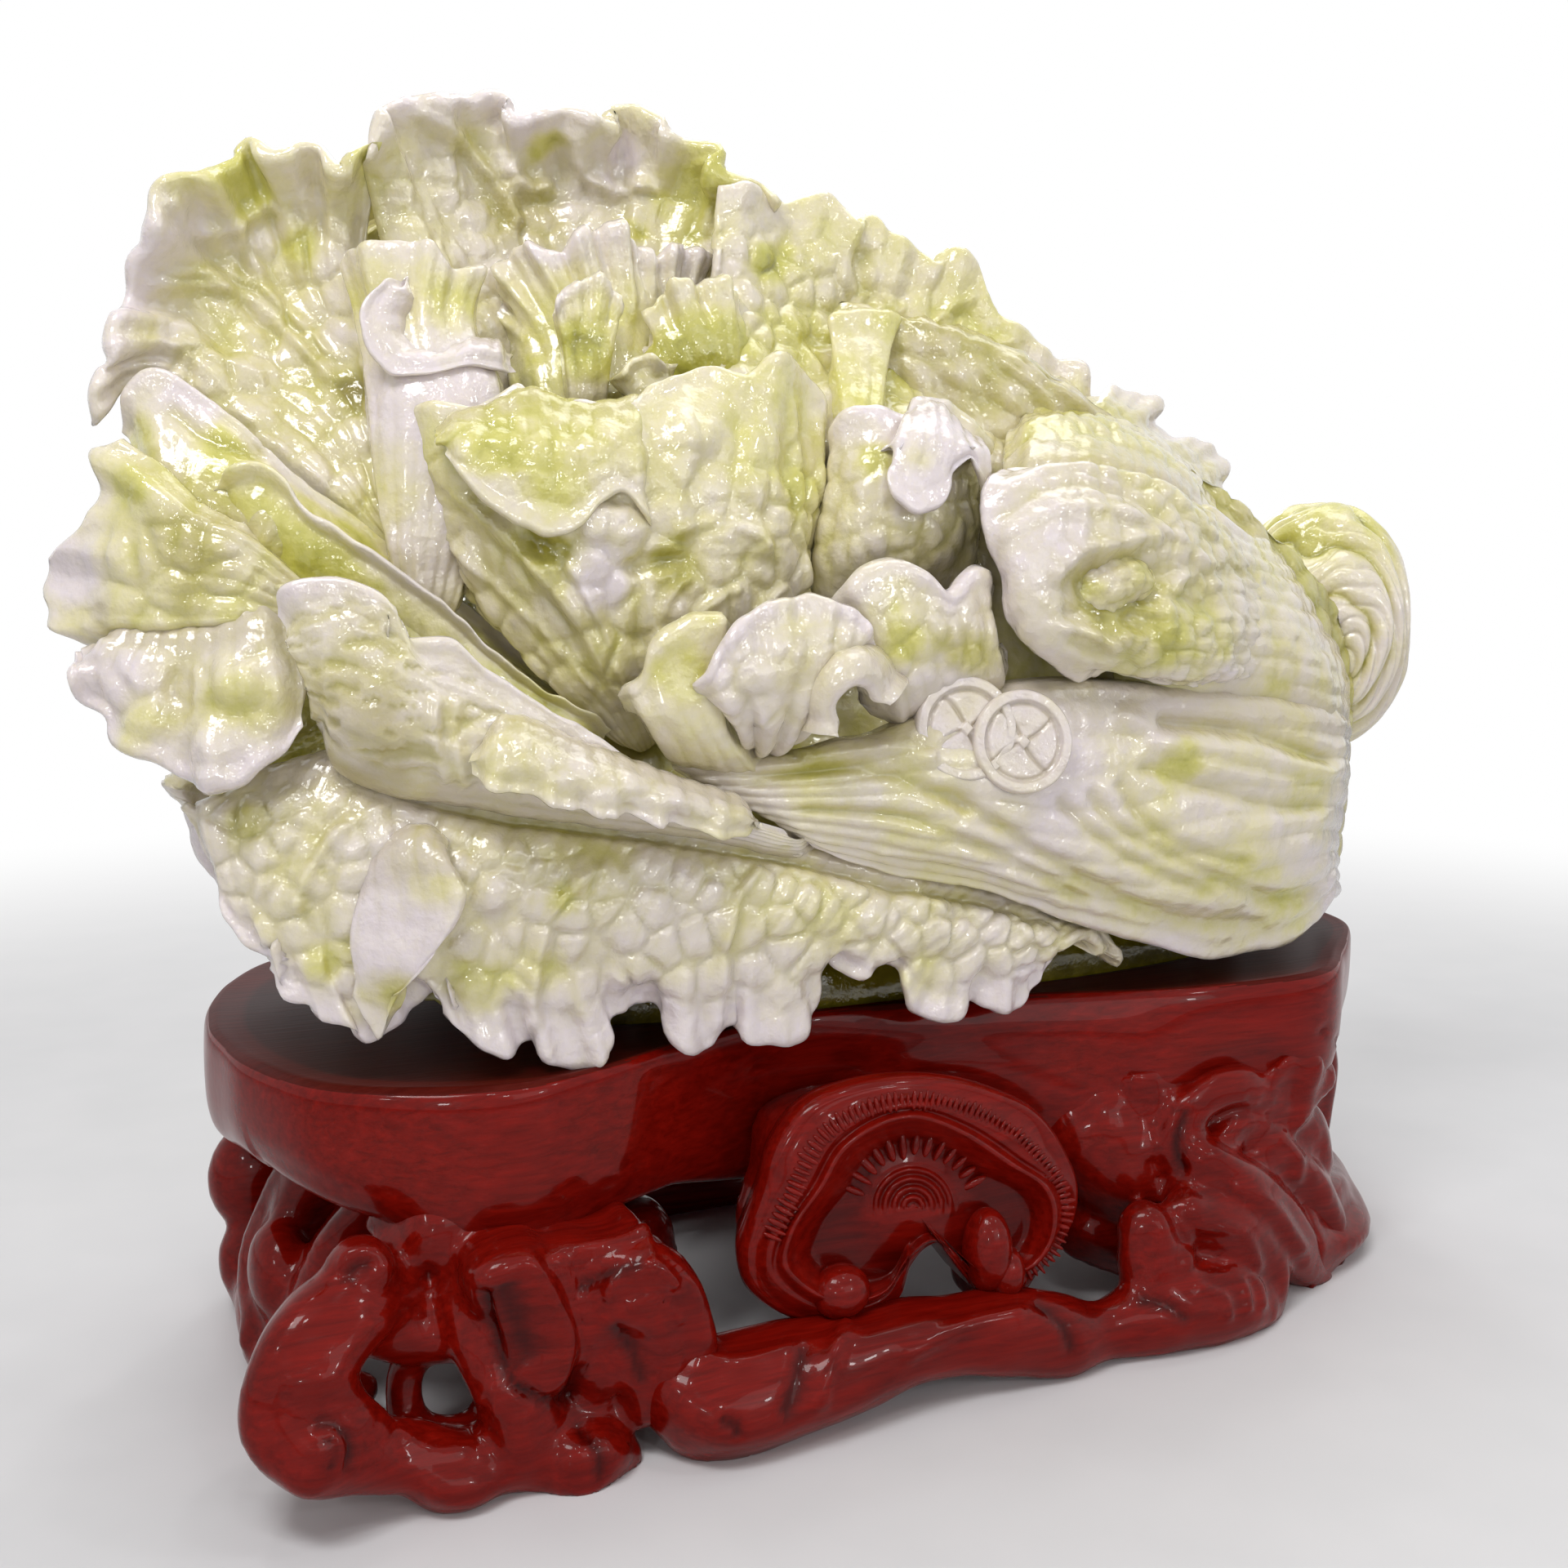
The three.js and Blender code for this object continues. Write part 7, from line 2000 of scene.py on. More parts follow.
@dataclass(frozen=True)
class RootKnot:
    """The knot of roots at the stalk's end: a ball wound with thick strands round its hub.

    The strands run in rings from the hub to its far side, turned into a spiral with arms.
    The hollow is a pixel and two half sizes in pixels, a greener pool crossed by bars.
    """

    pick: tuple[float, float, float] = (1612, 768, 0)
    halves: tuple[float, float, float] = (33.0, 39.0, 50.0)
    rise: float = 5.0
    fine_rise: float = 1.3
    hub: tuple[float, float, float] = (-0.52, -0.84, -0.16)
    rings: float = 9.0
    arms: int = 2
    top_spread: float = 0.3
    hollow: tuple[float, float, float, float] = (1622, 802, 17, 21)
    hollow_depth: float = 3.0
    down_steps: int = 260
    turn_steps: int = 240
    span: float = 40.0

    def build(self, dresser: Dresser) -> None:
        """Makes the piece."""
        centre = picked_place(self.pick, 0.0)
        hub = Vector(self.hub).normalized()
        spin = np.array(Vector((0.0, 1.0, 0.0)).rotation_difference(hub).to_matrix())
        fall = np.linspace(0.004, 0.996, self.down_steps)[:, None]
        turn = np.linspace(-0.5, 0.5, self.turn_steps, endpoint=False)[None, :]
        across = np.sin(math.pi * fall) * np.ones_like(turn)
        flat = np.stack([
            across * np.cos(math.tau * turn),
            np.cos(math.pi * fall) * np.ones_like(turn),
            across * np.sin(math.tau * turn),
        ], axis=-1)
        point = flat @ spin.T
        spread = point * self.span
        wander = 0.5 * soft_noise(spread, 24, 3.0) + 0.3 * soft_noise(spread, 12, 8.0)
        rings = self.rings * fall * (1 - self.top_spread * point[..., 2]) + wander
        wave = np.abs(np.sin(math.pi * (rings + self.arms * turn)))
        fine = np.abs(np.sin(math.pi * (2.7 * rings - 3 * turn)))
        ridge = np.minimum(1, 3 * across) * wave**0.75
        lift = 0.75 + 0.35 * soft_noise(spread, 18, 9.0)
        sunk = -self.rise * (1 - ridge) * lift - self.fine_rise * (1 - fine) ** 2
        sunk += 1.6 * soft_noise(spread, 22, 5.0) + 0.5 * soft_noise(spread, 7, 4.0)
        grid = centre + point * (np.array(self.halves) + sunk[..., None])
        # Painted shade: the grooves between the strands are greener and darker.
        green = 0.22 + 0.32 * smooth_step(0.1, 0.9, point[..., 2]) + 0.5 * (1 - ridge) ** 2
        green += 0.15 * soft_noise(grid, 16, 6.0)
        shade = 0.5 * (1 - ridge) ** 2
        spots = SIGHT.pixels(grid)
        front = smooth_step(0.1, 0.4, point @ np.array(hub))
        u, v, wide, high = self.hollow
        bars = np.cos((spots[..., 0] - u + 1.2 * (spots[..., 1] - v)) / 7.5)
        far = np.hypot((spots[..., 0] - u) / wide, (spots[..., 1] - v) / high)
        far = far + 0.25 * soft_noise(grid, 7, 12.0)
        pool = (1 - smooth_step(0.5, 1.3, far)) * front * (1 - 0.7 * smooth_step(0.3, 0.9, bars))
        grid = grid - point * (self.hollow_depth * pool)[..., None]
        green += 0.45 * pool
        piece = closed_loft(grid, green, shade).to_object(
            "carved_root_knot", dresser.finish(Slot.JADE_PALE))
        settle(piece, Body.CABBAGE, Slot.JADE_PALE, "root_knot")


# How many places go round a tube, and a direction that no tube starts in.
TUBE_SIDES = 28
TUBE_START = (0.3, 0.9, 0.31)


def tube_skin(path: np.ndarray, radii: np.ndarray, lobes: float, seed: float) -> Skin:
    """Makes a closed tube along a path.

    Args:
        path: the places along its middle.
        radii: its radius at each.
        lobes: how far its outline swells and sinks, as a share of the radius.
        seed: a number that shifts the lobes.

    Returns:
        The skin.
    """
    along = unit(np.gradient(path, axis=0))
    side = np.cross(along[0], TUBE_START)
    turn = circle(TUBE_SIDES)
    rings = []
    for i, (place, radius) in enumerate(zip(path, radii)):
        side = side - along[i] * (side @ along[i])
        side = side / max(np.linalg.norm(side), TINY)
        over = np.cross(along[i], side)
        share = i / max(len(path) - 1, 1)
        swell = radius * (1 + lobes * np.sin(3 * turn + 5 * share + seed)
                          + 0.6 * lobes * np.sin(5 * turn - 7 * share + 2 * seed))
        rings.append(place + np.outer(swell * np.cos(turn), side)
                     + np.outer(swell * np.sin(turn), over))
    zeros = np.zeros((len(path), TUBE_SIDES))
    return closed_loft(np.stack(rings), zeros, zeros)


# The stand's middle and half sizes seen from above, and the radius of a root of thickness 1.
STAND_CENTRE = (13.0, 18.0)
STAND_HALVES = (218.0, 92.0)
ROOT_RADIUS = 16.0


def stand_place(share: tuple[float, ...]) -> np.ndarray:
    """Turns shares of the stand to a place.

    Args:
        share: the shares of its half length, its half depth and its height under the slab.

    Returns:
        The place.
    """
    return np.array([
        STAND_CENTRE[0] + share[0] * STAND_HALVES[0],
        STAND_CENTRE[1] + share[1] * STAND_HALVES[1],
        share[2] * SLAB_BOTTOM,
    ])


@dataclass(frozen=True)
class Slab:
    """The thick slab of the stand, with the seat that the stone's foot stands in.

    The outline is in shares of the stand's half sizes. The profile runs up the side: shares of
    the height, and how far each is drawn in as a share of the thickness. The front floor gives
    how low the front hangs at each x. Pits are pixels with a size in pixels.
    """

    outline: tuple[tuple[float, float], ...] = (
        (-1, 0.12), (-0.995, -0.14), (-0.97, -0.42), (-0.9, -0.75), (-0.81, -0.9), (-0.66, -1),
        (-0.54, -0.93), (-0.39, -0.77), (-0.17, -0.63), (0, -0.68), (0.18, -0.74), (0.43, -0.9),
        (0.68, -0.91), (0.83, -0.63), (0.97, -0.29), (1, -0.07), (0.985, 0.29), (0.83, 0.65),
        (0.54, 0.89), (0.17, 0.93), (-0.24, 0.87), (-0.56, 0.98), (-0.82, 1), (-0.95, 0.66),
    )
    profile: tuple[tuple[float, float], ...] = (
        (0, 0.32), (0.02, 0.22), (0.06, 0.13), (0.14, 0.065), (0.3, 0.02), (0.55, 0), (0.78, 0),
        (0.92, 0.012), (0.97, 0.035), (1, 0.09),
    )
    front_floor: tuple[tuple[float, float], ...] = (
        (-208, 94), (-200, 84), (-190, 80), (-167, 73), (-153, 65), (-143, 60), (-122, 63),
        (-104, 68), (-77, 68), (-49, 62), (-21, 58), (8, 58), (37, 54), (67, 46), (90, 38),
        (107, 36), (122, 44), (140, 56), (174, 68), (209, 78),
    )
    pits: tuple[tuple[float, float, float], ...] = (
        (735, 1408, 5), (700, 1455, 5), (742, 1450, 4), (775, 1425, 4), (1620, 1262, 4),
        (1640, 1275, 4), (1655, 1265, 3), (1592, 1310, 4), (925, 1305, 5),
    )
    folds: tuple[Rib, ...] = (
        rib(1.4, 5.0, (1020, 1400), (1060, 1330), (1160, 1300), (1300, 1340), (1400, 1400)),
        rib(1.6, 4.0, (1340, 1430), (1380, 1470), (1430, 1500)),
        rib(-3.0, 7.0, (1470, 1380), (1500, 1320), (1560, 1300), (1590, 1340)),
        rib(-0.9, 4.0, (290, 1400), (420, 1465), (560, 1520), (700, 1480), (850, 1435)),
    )
    drape_centre: tuple[float, float] = (1235, 1310)
    drape_halves: tuple[float, float] = (210, 75)
    drape_rise: float = 3.2
    pit_depth: float = 1.6
    pit_stretch: float = 1.4
    front_until: float = -20.0
    thickness: float = 40.0
    seat_clearance: float = 0.8
    around: int = 420
    under_rings: int = 30
    top_rings: int = 34
    seat_rings: int = 24

    def rim(self, inset: float) -> np.ndarray:
        """Draws the outline.

        Args:
            inset: how far it is drawn in, as a share of the thickness.

        Returns:
            The x and y of its places.
        """
        points = np.array(self.outline)
        wrapped = np.concatenate([points[-3:], points, points[:4]])
        line = smooth_line(wrapped, 30)[3 * 30 : (3 + len(points)) * 30]
        line = even_line(np.concatenate([line, line[:1]]), self.around)[:-1]
        return np.stack([
            STAND_CENTRE[0] + line[:, 0] * (STAND_HALVES[0] - inset * self.thickness),
            STAND_CENTRE[1] + line[:, 1] * (STAND_HALVES[1] - inset * self.thickness),
        ], axis=1)

    def relief(self, rings: np.ndarray) -> np.ndarray:
        """Works out the soft facets, and the drape, the folds and the pits of the front.

        Args:
            rings: the slab's places.

        Returns:
            The rise along the normal at each.
        """
        rise = 1.6 * soft_noise(rings, 75, 3.0) + 0.5 * soft_noise(rings, 22, 4.0)
        spots = SIGHT.pixels(rings)
        front = rings[..., 1] < self.front_until
        far = (spots - np.array(self.drape_centre)) / np.array(self.drape_halves)
        drape = np.exp(-(far[..., 0] ** 4) - (far[..., 1] ** 4))
        rise += np.where(front, self.drape_rise * drape, 0)
        for fold in self.folds:
            apart, _ = millimetres_apart(spots, fold.line)
            rise += np.where(front, fold.height * bell(apart, fold.width), 0)
        for u, v, size in self.pits:
            far = np.hypot((spots[..., 0] - u) / self.pit_stretch, spots[..., 1] - v)
            rise -= np.where(front, self.pit_depth * bell(far, size), 0)
        return rise

    def grid(self, profile: np.ndarray) -> np.ndarray:
        """Lays the slab's places before its relief.

        Args:
            profile: the height and the inset of each ring of the side.

        Returns:
            The rings from under its middle, up its side and over its top to the seat's middle.
        """
        rings = [self.level(share) for share in np.linspace(0.02, 0.97, self.under_rings)]
        for rise, inset in profile:
            outline = self.rim(inset)
            floor = self.floor_height(outline)
            rings.append(np.column_stack([outline, floor + rise * (SLAB_TOP - floor)]))
        seat = self.seat()
        edge = rings[-1]
        for share in np.linspace(0.03, 1, self.top_rings):
            place = edge * (1 - share) + np.column_stack([seat, edge[:, 2]]) * share
            place[:, 2] = SLAB_TOP - 0.7 * math.sin(math.pi * share) ** 0.5
            rings.append(place)
        centre = np.array([*FOOT_CENTRE, SLAB_TOP - SEAT_DEPTH])
        floor = np.column_stack([seat, np.full(len(seat), SLAB_TOP - SEAT_DEPTH)])
        rings.append(floor + np.array([0, 0, 0.3]))
        for share in np.linspace(0, 0.97, self.seat_rings):
            rings.append(floor * (1 - share) + centre * share)
        return np.stack(rings)

    def build(self, dresser: Dresser) -> None:
        """Makes the piece, with the darker, duller brown finish on its level top faces."""
        profile = smooth_line(np.array(self.profile), 6)
        grid = self.grid(profile)
        first, last = self.under_rings, self.under_rings + len(profile)
        mask = np.zeros(len(grid))
        mask[first:last] = 1
        mask[last : last + 6] = np.linspace(0.8, 0.1, 6)
        mask[first - 12 : first] = np.linspace(0.1, 1, 12)
        rise = self.relief(grid) * mask[:, None]
        normals = wrapped_normals(grid)
        normals[..., 2] *= 0.2
        grid = grid + normals * rise[..., None]
        # Painted shade: the top and the seat are darkened, the underside a little less, and the hollows of
        # the relief more.
        shade = np.zeros(grid.shape[:2])
        shade[last + 3 :] = 0.55
        shade[:first] = 0.4
        shade = shade + 0.15 * np.clip(-rise, 0, 1)
        skin = closed_loft(grid, np.zeros_like(shade), shade)
        piece = skin.to_object("lacquered_slab", dresser.finish(Slot.LACQUERED_WOOD))
        piece.data.materials.append(dresser.coat(DULL_TOP_WOOD))
        top = (SLAB_TOP - 4.5) * MILLIMETRE
        for face in piece.data.polygons:
            face.material_index = int(face.center.z > top and face.normal.z > 0.75)
        settle(piece, Body.STAND, Slot.LACQUERED_WOOD, "stand_slab")

    def floor_height(self, outline: np.ndarray) -> np.ndarray:
        """Finds how low the underside hangs: lower where the front bulges.

        Args:
            outline: the x and y of places.

        Returns:
            The height of the underside at each.
        """
        front = np.interp(outline[:, 0], *np.array(self.front_floor).T)
        share = smooth_step(35, -25, outline[:, 1])
        return SLAB_BOTTOM + (front - SLAB_BOTTOM) * share

    def level(self, share: float) -> np.ndarray:
        """Lays a ring of the underside.

        Args:
            share: its size as a share of the outline's.

        Returns:
            Its places.
        """
        outline = self.rim(self.profile[0][1])
        centre = np.array(STAND_CENTRE)
        inner = centre + (outline - centre) * share
        height = SLAB_BOTTOM + (self.floor_height(outline) - SLAB_BOTTOM) * share**4
        return np.column_stack([inner, height])

    def seat(self) -> np.ndarray:
        """Draws the seat's outline.

        Returns:
            The x and y of a place in the direction of each place of the rim.
        """
        offset = self.rim(0.1) - np.array(FOOT_CENTRE)
        return foot_outline(np.arctan2(offset[:, 1], offset[:, 0]), self.seat_clearance)


def within(u: np.ndarray, v: np.ndarray, outline: np.ndarray) -> np.ndarray:
    """Tells which pixels lie within an outline.

    Args:
        u: the columns.
        v: the rows.
        outline: the outline's pixels, the last the same as the first.

    Returns:
        True at each pixel within it.
    """
    inside = np.zeros(u.shape, bool)
    for (au, av), (bu, bv) in zip(outline[:-1], outline[1:]):
        crosses = (av > v) != (bv > v)
        inside ^= crosses & (u < au + (v - av) * (bu - au) / (bv - av if bv != av else 1))
    return inside


@dataclass(frozen=True)
class Plate:
    """A carved member of the front: an outline of pixels, pillowed towards its rim.

    Near and far are its face's and its back's y, and round is how wide and deep the pillow is.
    """

    outline: tuple[tuple[float, float], ...]
    near: float = -88.0
    far: float = -56.0
    round_pixels: float = 34.0
    round_depth: float = 15.0
    step: float = 4.0

    def skin(self) -> Skin:
        """Builds the plate.

        Returns:
            A closed height field over its outline.
        """
        points = np.array(self.outline, float)
        wrapped = np.concatenate([points[-2:], points, points[:3]])
        line = smooth_line(wrapped, 5)[10 : 10 + 5 * len(points)]
        low, high = line.min(axis=0) - self.step, line.max(axis=0) + self.step
        u, v = np.meshgrid(np.arange(low[0], high[0], self.step),
                           np.arange(low[1], high[1], self.step))
        spots = np.stack([u, v], axis=-1)
        closed = np.concatenate([line, line[:1]])
        apart, _ = line_distance(spots, closed)
        inside = within(u, v, closed)
        reach = np.clip(np.abs(apart) / self.round_pixels, 0, 1)
        drop = self.round_depth * (1 - np.sqrt(1 - (1 - reach) ** 2))
        near = SIGHT.at_depth(u, v, self.near + drop)
        far = near.copy()
        far[..., 1] = self.far - 0.35 * drop
        count = u.size
        index = np.arange(count).reshape(u.shape)
        cells = inside[:-1, :-1] & inside[1:, :-1] & inside[:-1, 1:] & inside[1:, 1:]
        faces: list[tuple[int, ...]] = []
        padded = np.pad(cells, 1)
        for row, column in np.argwhere(cells).tolist():
            a, b = index[row, column], index[row, column + 1]
            c, d = index[row + 1, column + 1], index[row + 1, column]
            faces += [(a, b, c, d), (a + count, d + count, c + count, b + count)]
            beside = (
                (padded[row, column + 1], a, b), (padded[row + 1, column + 2], b, c),
                (padded[row + 2, column + 1], c, d), (padded[row + 1, column], d, a),
            )
            faces += [(q, p, p + count, q + count) for inner, p, q in beside if not inner]
        places = np.concatenate([near.reshape(-1, 3), far.reshape(-1, 3)])
        used = sorted({corner for face in faces for corner in face})
        fresh = {corner: place for place, corner in enumerate(used)}
        zeros = np.zeros(len(used))
        return Skin(places[used], [tuple(fresh[corner] for corner in face) for face in faces],
                    zeros, zeros)


@dataclass(frozen=True)
class Root:
    """A root through shares of the stand, the fourth number being its thickness."""

    shares: tuple[tuple[float, float, float, float], ...]
    lobes: float = 0.1

    def skin(self) -> Skin:
        """Builds the root.

        Returns:
            A closed tube.
        """
        line = np.array([[*stand_place(share), share[3] * ROOT_RADIUS] for share in self.shares])
        smooth = smooth_line(line, 12)
        return tube_skin(smooth[:, :3], smooth[:, 3], self.lobes, line[0, 0])


@dataclass(frozen=True)
class Knob:
    """A knob where a root rolls up, at a share of the stand, sized like the root radius."""

    share: tuple[float, float, float]
    size: float
    wide: float = 0.9
    deep: float = 0.7

    def skin(self) -> Skin:
        """Builds the knob."""
        half = self.size * ROOT_RADIUS
        return ball(stand_place(self.share), (half * self.wide, half * self.deep, half))


@dataclass(frozen=True)
class RoundLump:
    """A rounded lump at a pixel and a depth, with its half sizes."""

    u: float
    v: float
    y: float
    radii: tuple[float, float, float]

    def skin(self) -> Skin:
        """Builds the lump."""
        centre = SIGHT.at_depth(np.array([self.u]), np.array([self.v]), np.array([self.y]))[0]
        return ball(centre, self.radii)


@dataclass(frozen=True)
class Limb:
    """A root seen from the front, through points of pixel, pixel, y and radius."""

    points: tuple[tuple[float, float, float, float], ...]
    lobes: float = 0.07

    def skin(self) -> Skin:
        """Builds the limb.

        Returns:
            A closed tube with round ends.
        """
        line = smooth_line(np.array(self.points, float), 10)
        path = SIGHT.at_depth(line[:, 0], line[:, 1], line[:, 2])
        first, last = path[0] - path[1], path[-1] - path[-2]
        first, last = first / np.linalg.norm(first), last / np.linalg.norm(last)
        radii = line[:, 3]
        swell = np.linspace(0.15, 0.95, 5)
        near = path[0] + np.outer(radii[0] * np.sqrt(1 - swell**2), first)
        far = path[-1] + np.outer(radii[-1] * np.sqrt(1 - swell[::-1] ** 2), last)
        places = np.concatenate([near, path, far])
        sizes = np.concatenate([radii[0] * swell, radii, radii[-1] * swell[::-1]])
        return tube_skin(places, sizes, self.lobes, float(line[0, 0]))


def vertex_vectors(mesh: bpy.types.Mesh, name: str) -> np.ndarray:
    """Reads a vector of each vertex.

    Args:
        mesh: the mesh.
        name: what is read, such as "co" or "normal".

    Returns:
        The vectors, one row for each vertex.
    """
    values = np.zeros(len(mesh.vertices) * 3, np.float32)
    mesh.vertices.foreach_get(name, values)
    return values.reshape(-1, 3).astype(float)


def finished_mesh(holder: bpy.types.Object) -> bpy.types.Mesh:
    """Takes what an object's modifiers make of its mesh, and removes both.

    Args:
        holder: the object.

    Returns:
        The new mesh.
    """
    raw = holder.data
    graph = bpy.context.evaluated_depsgraph_get()
    mesh = bpy.data.meshes.new_from_object(holder.evaluated_get(graph))
    bpy.data.objects.remove(holder)
    bpy.data.meshes.remove(raw)
    return mesh


@dataclass(frozen=True)
class RootWork:
    """A stretch of the root carving, merged from its members and carved with lines.

    It is melted in cells of a voxel's millimetres and smoothed in rounds. The lines are carved
    where it faces the front, from a y of carve_until on.
    """

    name: str
    nodes: tuple[str, ...]
    members: tuple[Plate | Root | Knob | RoundLump | Limb, ...]
    lines: tuple[Rib, ...] = ()
    voxel: float = 2.0
    rounds: int = 7
    carve_until: float = -50.0
    carve_fade: float = 12.0

    def merged(self) -> bpy.types.Mesh:
        """Melts the members into one closed skin with rounded edges.

        Returns:
            The mesh, in metres of the row frame.
        """
        raw = bpy.data.meshes.new(f"{self.name}_raw")
        edit = bmesh.new()
        for member in self.members:
            skin = member.skin()
            corners = [edit.verts.new(place) for place in row_frame(skin.places).tolist()]
            made = [edit.faces.new([corners[k] for k in face]) for face in skin.faces]
            bmesh.ops.recalc_face_normals(edit, faces=made)
        edit.to_mesh(raw)
        edit.free()
        holder = add_piece(f"{self.name}_raw", raw)
        melt = holder.modifiers.new("melt", "REMESH")
        melt.mode = "VOXEL"
        melt.voxel_size = self.voxel * MILLIMETRE
        soften = holder.modifiers.new("soften", "SMOOTH")
        soften.factor = 0.5
        soften.iterations = self.rounds
        return finished_mesh(holder)

    def build(self, dresser: Dresser) -> None:
        """Makes the piece."""
        mesh = self.merged()
        places = vertex_vectors(mesh, "co") / MILLIMETRE - SHIFT
        normals = vertex_vectors(mesh, "normal")
        rise = 0.9 * soft_noise(places, 26, 2.0) + 0.3 * soft_noise(places, 9, 3.0)
        # Painted shade: darker in the hollows of the relief and in the carved grooves.
        shade = 0.25 * np.clip(-rise, 0, 1)
        spots = SIGHT.pixels(places)
        near = smooth_step(self.carve_until, self.carve_until - self.carve_fade, places[:, 1])
        near = near * smooth_step(0.25, -0.25, normals[:, 1])
        for drawn in self.lines:
            apart, along = millimetres_apart(spots, drawn.line)
            taper = smooth_step(0, 0.1, along) * (1 - smooth_step(0.9, 1, along))
            shape = bell(apart, drawn.width) * taper * near
            rise = rise + drawn.height * shape
            shade = shade + (0.7 * shape if drawn.height < 0 else 0)
        places = places + normals * rise[:, None]
        places[:, 2] = np.maximum(places[:, 2], 0)
        mesh.vertices.foreach_set("co", row_frame(places).astype(np.float32).ravel())
        dress_mesh(mesh, dresser.finish(Slot.LACQUERED_WOOD), np.zeros(len(places)), shade)
        piece = add_piece(self.name, mesh)
        settle(piece, Body.STAND, Slot.LACQUERED_WOOD, *self.nodes)


FRONT_LEFT_WORK = RootWork(
    "front_left_roots",
    ("left_front_foot", "left_front_tongue", "front_strut"),
    (
        Plate(((430, 1500), (560, 1530), (700, 1500), (800, 1470), (826, 1500), (820, 1570),
               (700, 1575), (560, 1600), (440, 1590)), -38, -16, 50, 14),
        Plate(((566, 1566), (596, 1532), (660, 1520), (700, 1577), (722, 1639), (706, 1700),
               (664, 1727), (626, 1700), (590, 1625)), -92, -58, 40, 13),
        Plate(((672, 1528), (756, 1512), (786, 1496), (806, 1541), (780, 1572), (712, 1592)),
              -86, -50, 16, 5),
        Plate(((690, 1560), (830, 1540), (846, 1640), (846, 1716), (790, 1730), (716, 1724)),
              -74, -44, 30, 10),
        Limb(((496, 1560, -54, 10), (432, 1600, -70, 12.5), (376, 1660, -78, 14.5),
              (362, 1725, -80, 15), (392, 1765, -82, 15))),
        Limb(((392, 1762, -84, 15), (455, 1782, -82, 10), (505, 1785, -80, 10),
              (556, 1805, -82, 11.5), (612, 1790, -80, 9.5), (660, 1786, -80, 10),
              (712, 1784, -82, 13), (748, 1786, -78, 9))),
        Limb(((578, 1582, -68, 11), (606, 1640, -76, 12), (632, 1710, -80, 12),
              (640, 1770, -80, 11))),
        Limb(((440, 1600, -68, 11), (500, 1618, -64, 11), (575, 1622, -66, 11))),
        Limb(((492, 1700, -64, 5), (505, 1660, -62, 5), (545, 1640, -60, 5), (590, 1655, -62, 5),
              (603, 1700, -64, 5), (590, 1745, -66, 6), (545, 1760, -68, 6), (505, 1745, -66, 5.5),
              (492, 1705, -64, 5)), 0.0),
        Limb(((705, 1596, -80, 6), (745, 1560, -86, 6.5), (790, 1550, -88, 7), (826, 1572, -86, 8),
              (844, 1620, -84, 8), (842, 1670, -80, 9))),
        Limb(((722, 1640, -80, 6), (752, 1600, -87, 6.5), (786, 1596, -88, 7),
              (812, 1640, -84, 8), (812, 1696, -80, 9))),
        Limb(((728, 1690, -78, 7), (762, 1650, -84, 6.5), (782, 1680, -82, 7),
              (790, 1712, -78, 8))),
        Limb(((640, 1740, -78, 10), (690, 1748, -76, 10), (735, 1735, -74, 10))),
        RoundLump(440, 1560, -70, (10, 9, 11)),
        RoundLump(392, 1762, -84, (15, 13, 14)),
        Root(((-0.7, -0.7, 1.1, 1.4), (-0.77, -0.76, 0.8, 1.1)), 0.08),
    ),
    (
        rib(-2.2, 1.6, (380, 1742), (415, 1745), (432, 1772), (425, 1805)),
        rib(-1.6, 1.3, (392, 1762), (408, 1768), (410, 1790), (398, 1806)),
        rib(1.4, 4.0, (340, 1700), (400, 1690), (450, 1720), (480, 1760)),
        rib(1.8, 2.0, (640, 1530), (676, 1585), (698, 1640), (684, 1690), (652, 1706)),
        rib(-2.4, 6.0, (612, 1570), (634, 1625), (652, 1675)),
        rib(-2.2, 1.8, (590, 1570), (600, 1625), (630, 1695), (690, 1714), (716, 1660)),
        rib(1.8, 2.2, (672, 1530), (700, 1575), (722, 1640), (716, 1700)),
        rib(1.8, 1.6, (700, 1532), (770, 1515), (790, 1500)),
        rib(1.4, 1.6, (790, 1500), (800, 1545), (830, 1580)),
        rib(-1.8, 1.8, (705, 1580), (745, 1560), (790, 1545)),
        rib(2.0, 1.6, (745, 1600), (755, 1560), (800, 1550), (835, 1580)),
        rib(2.0, 1.6, (770, 1600), (800, 1590), (840, 1622)),
        rib(-1.2, 2.4, (748, 1620), (772, 1650), (790, 1700)),
        rib(1.8, 1.8, (420, 1560), (428, 1538), (452, 1532), (468, 1552), (460, 1582)),
        rib(-2.0, 2.0, (424, 1572), (436, 1552), (452, 1550)),
        rib(1.2, 2.2, (480, 1745), (520, 1775), (560, 1775), (600, 1750)),
        rib(-1.4, 1.8, (700, 1740), (735, 1780), (735, 1815)),
        rib(1.4, 2.0, (585, 1720), (600, 1700), (612, 1740)),
    ),
)
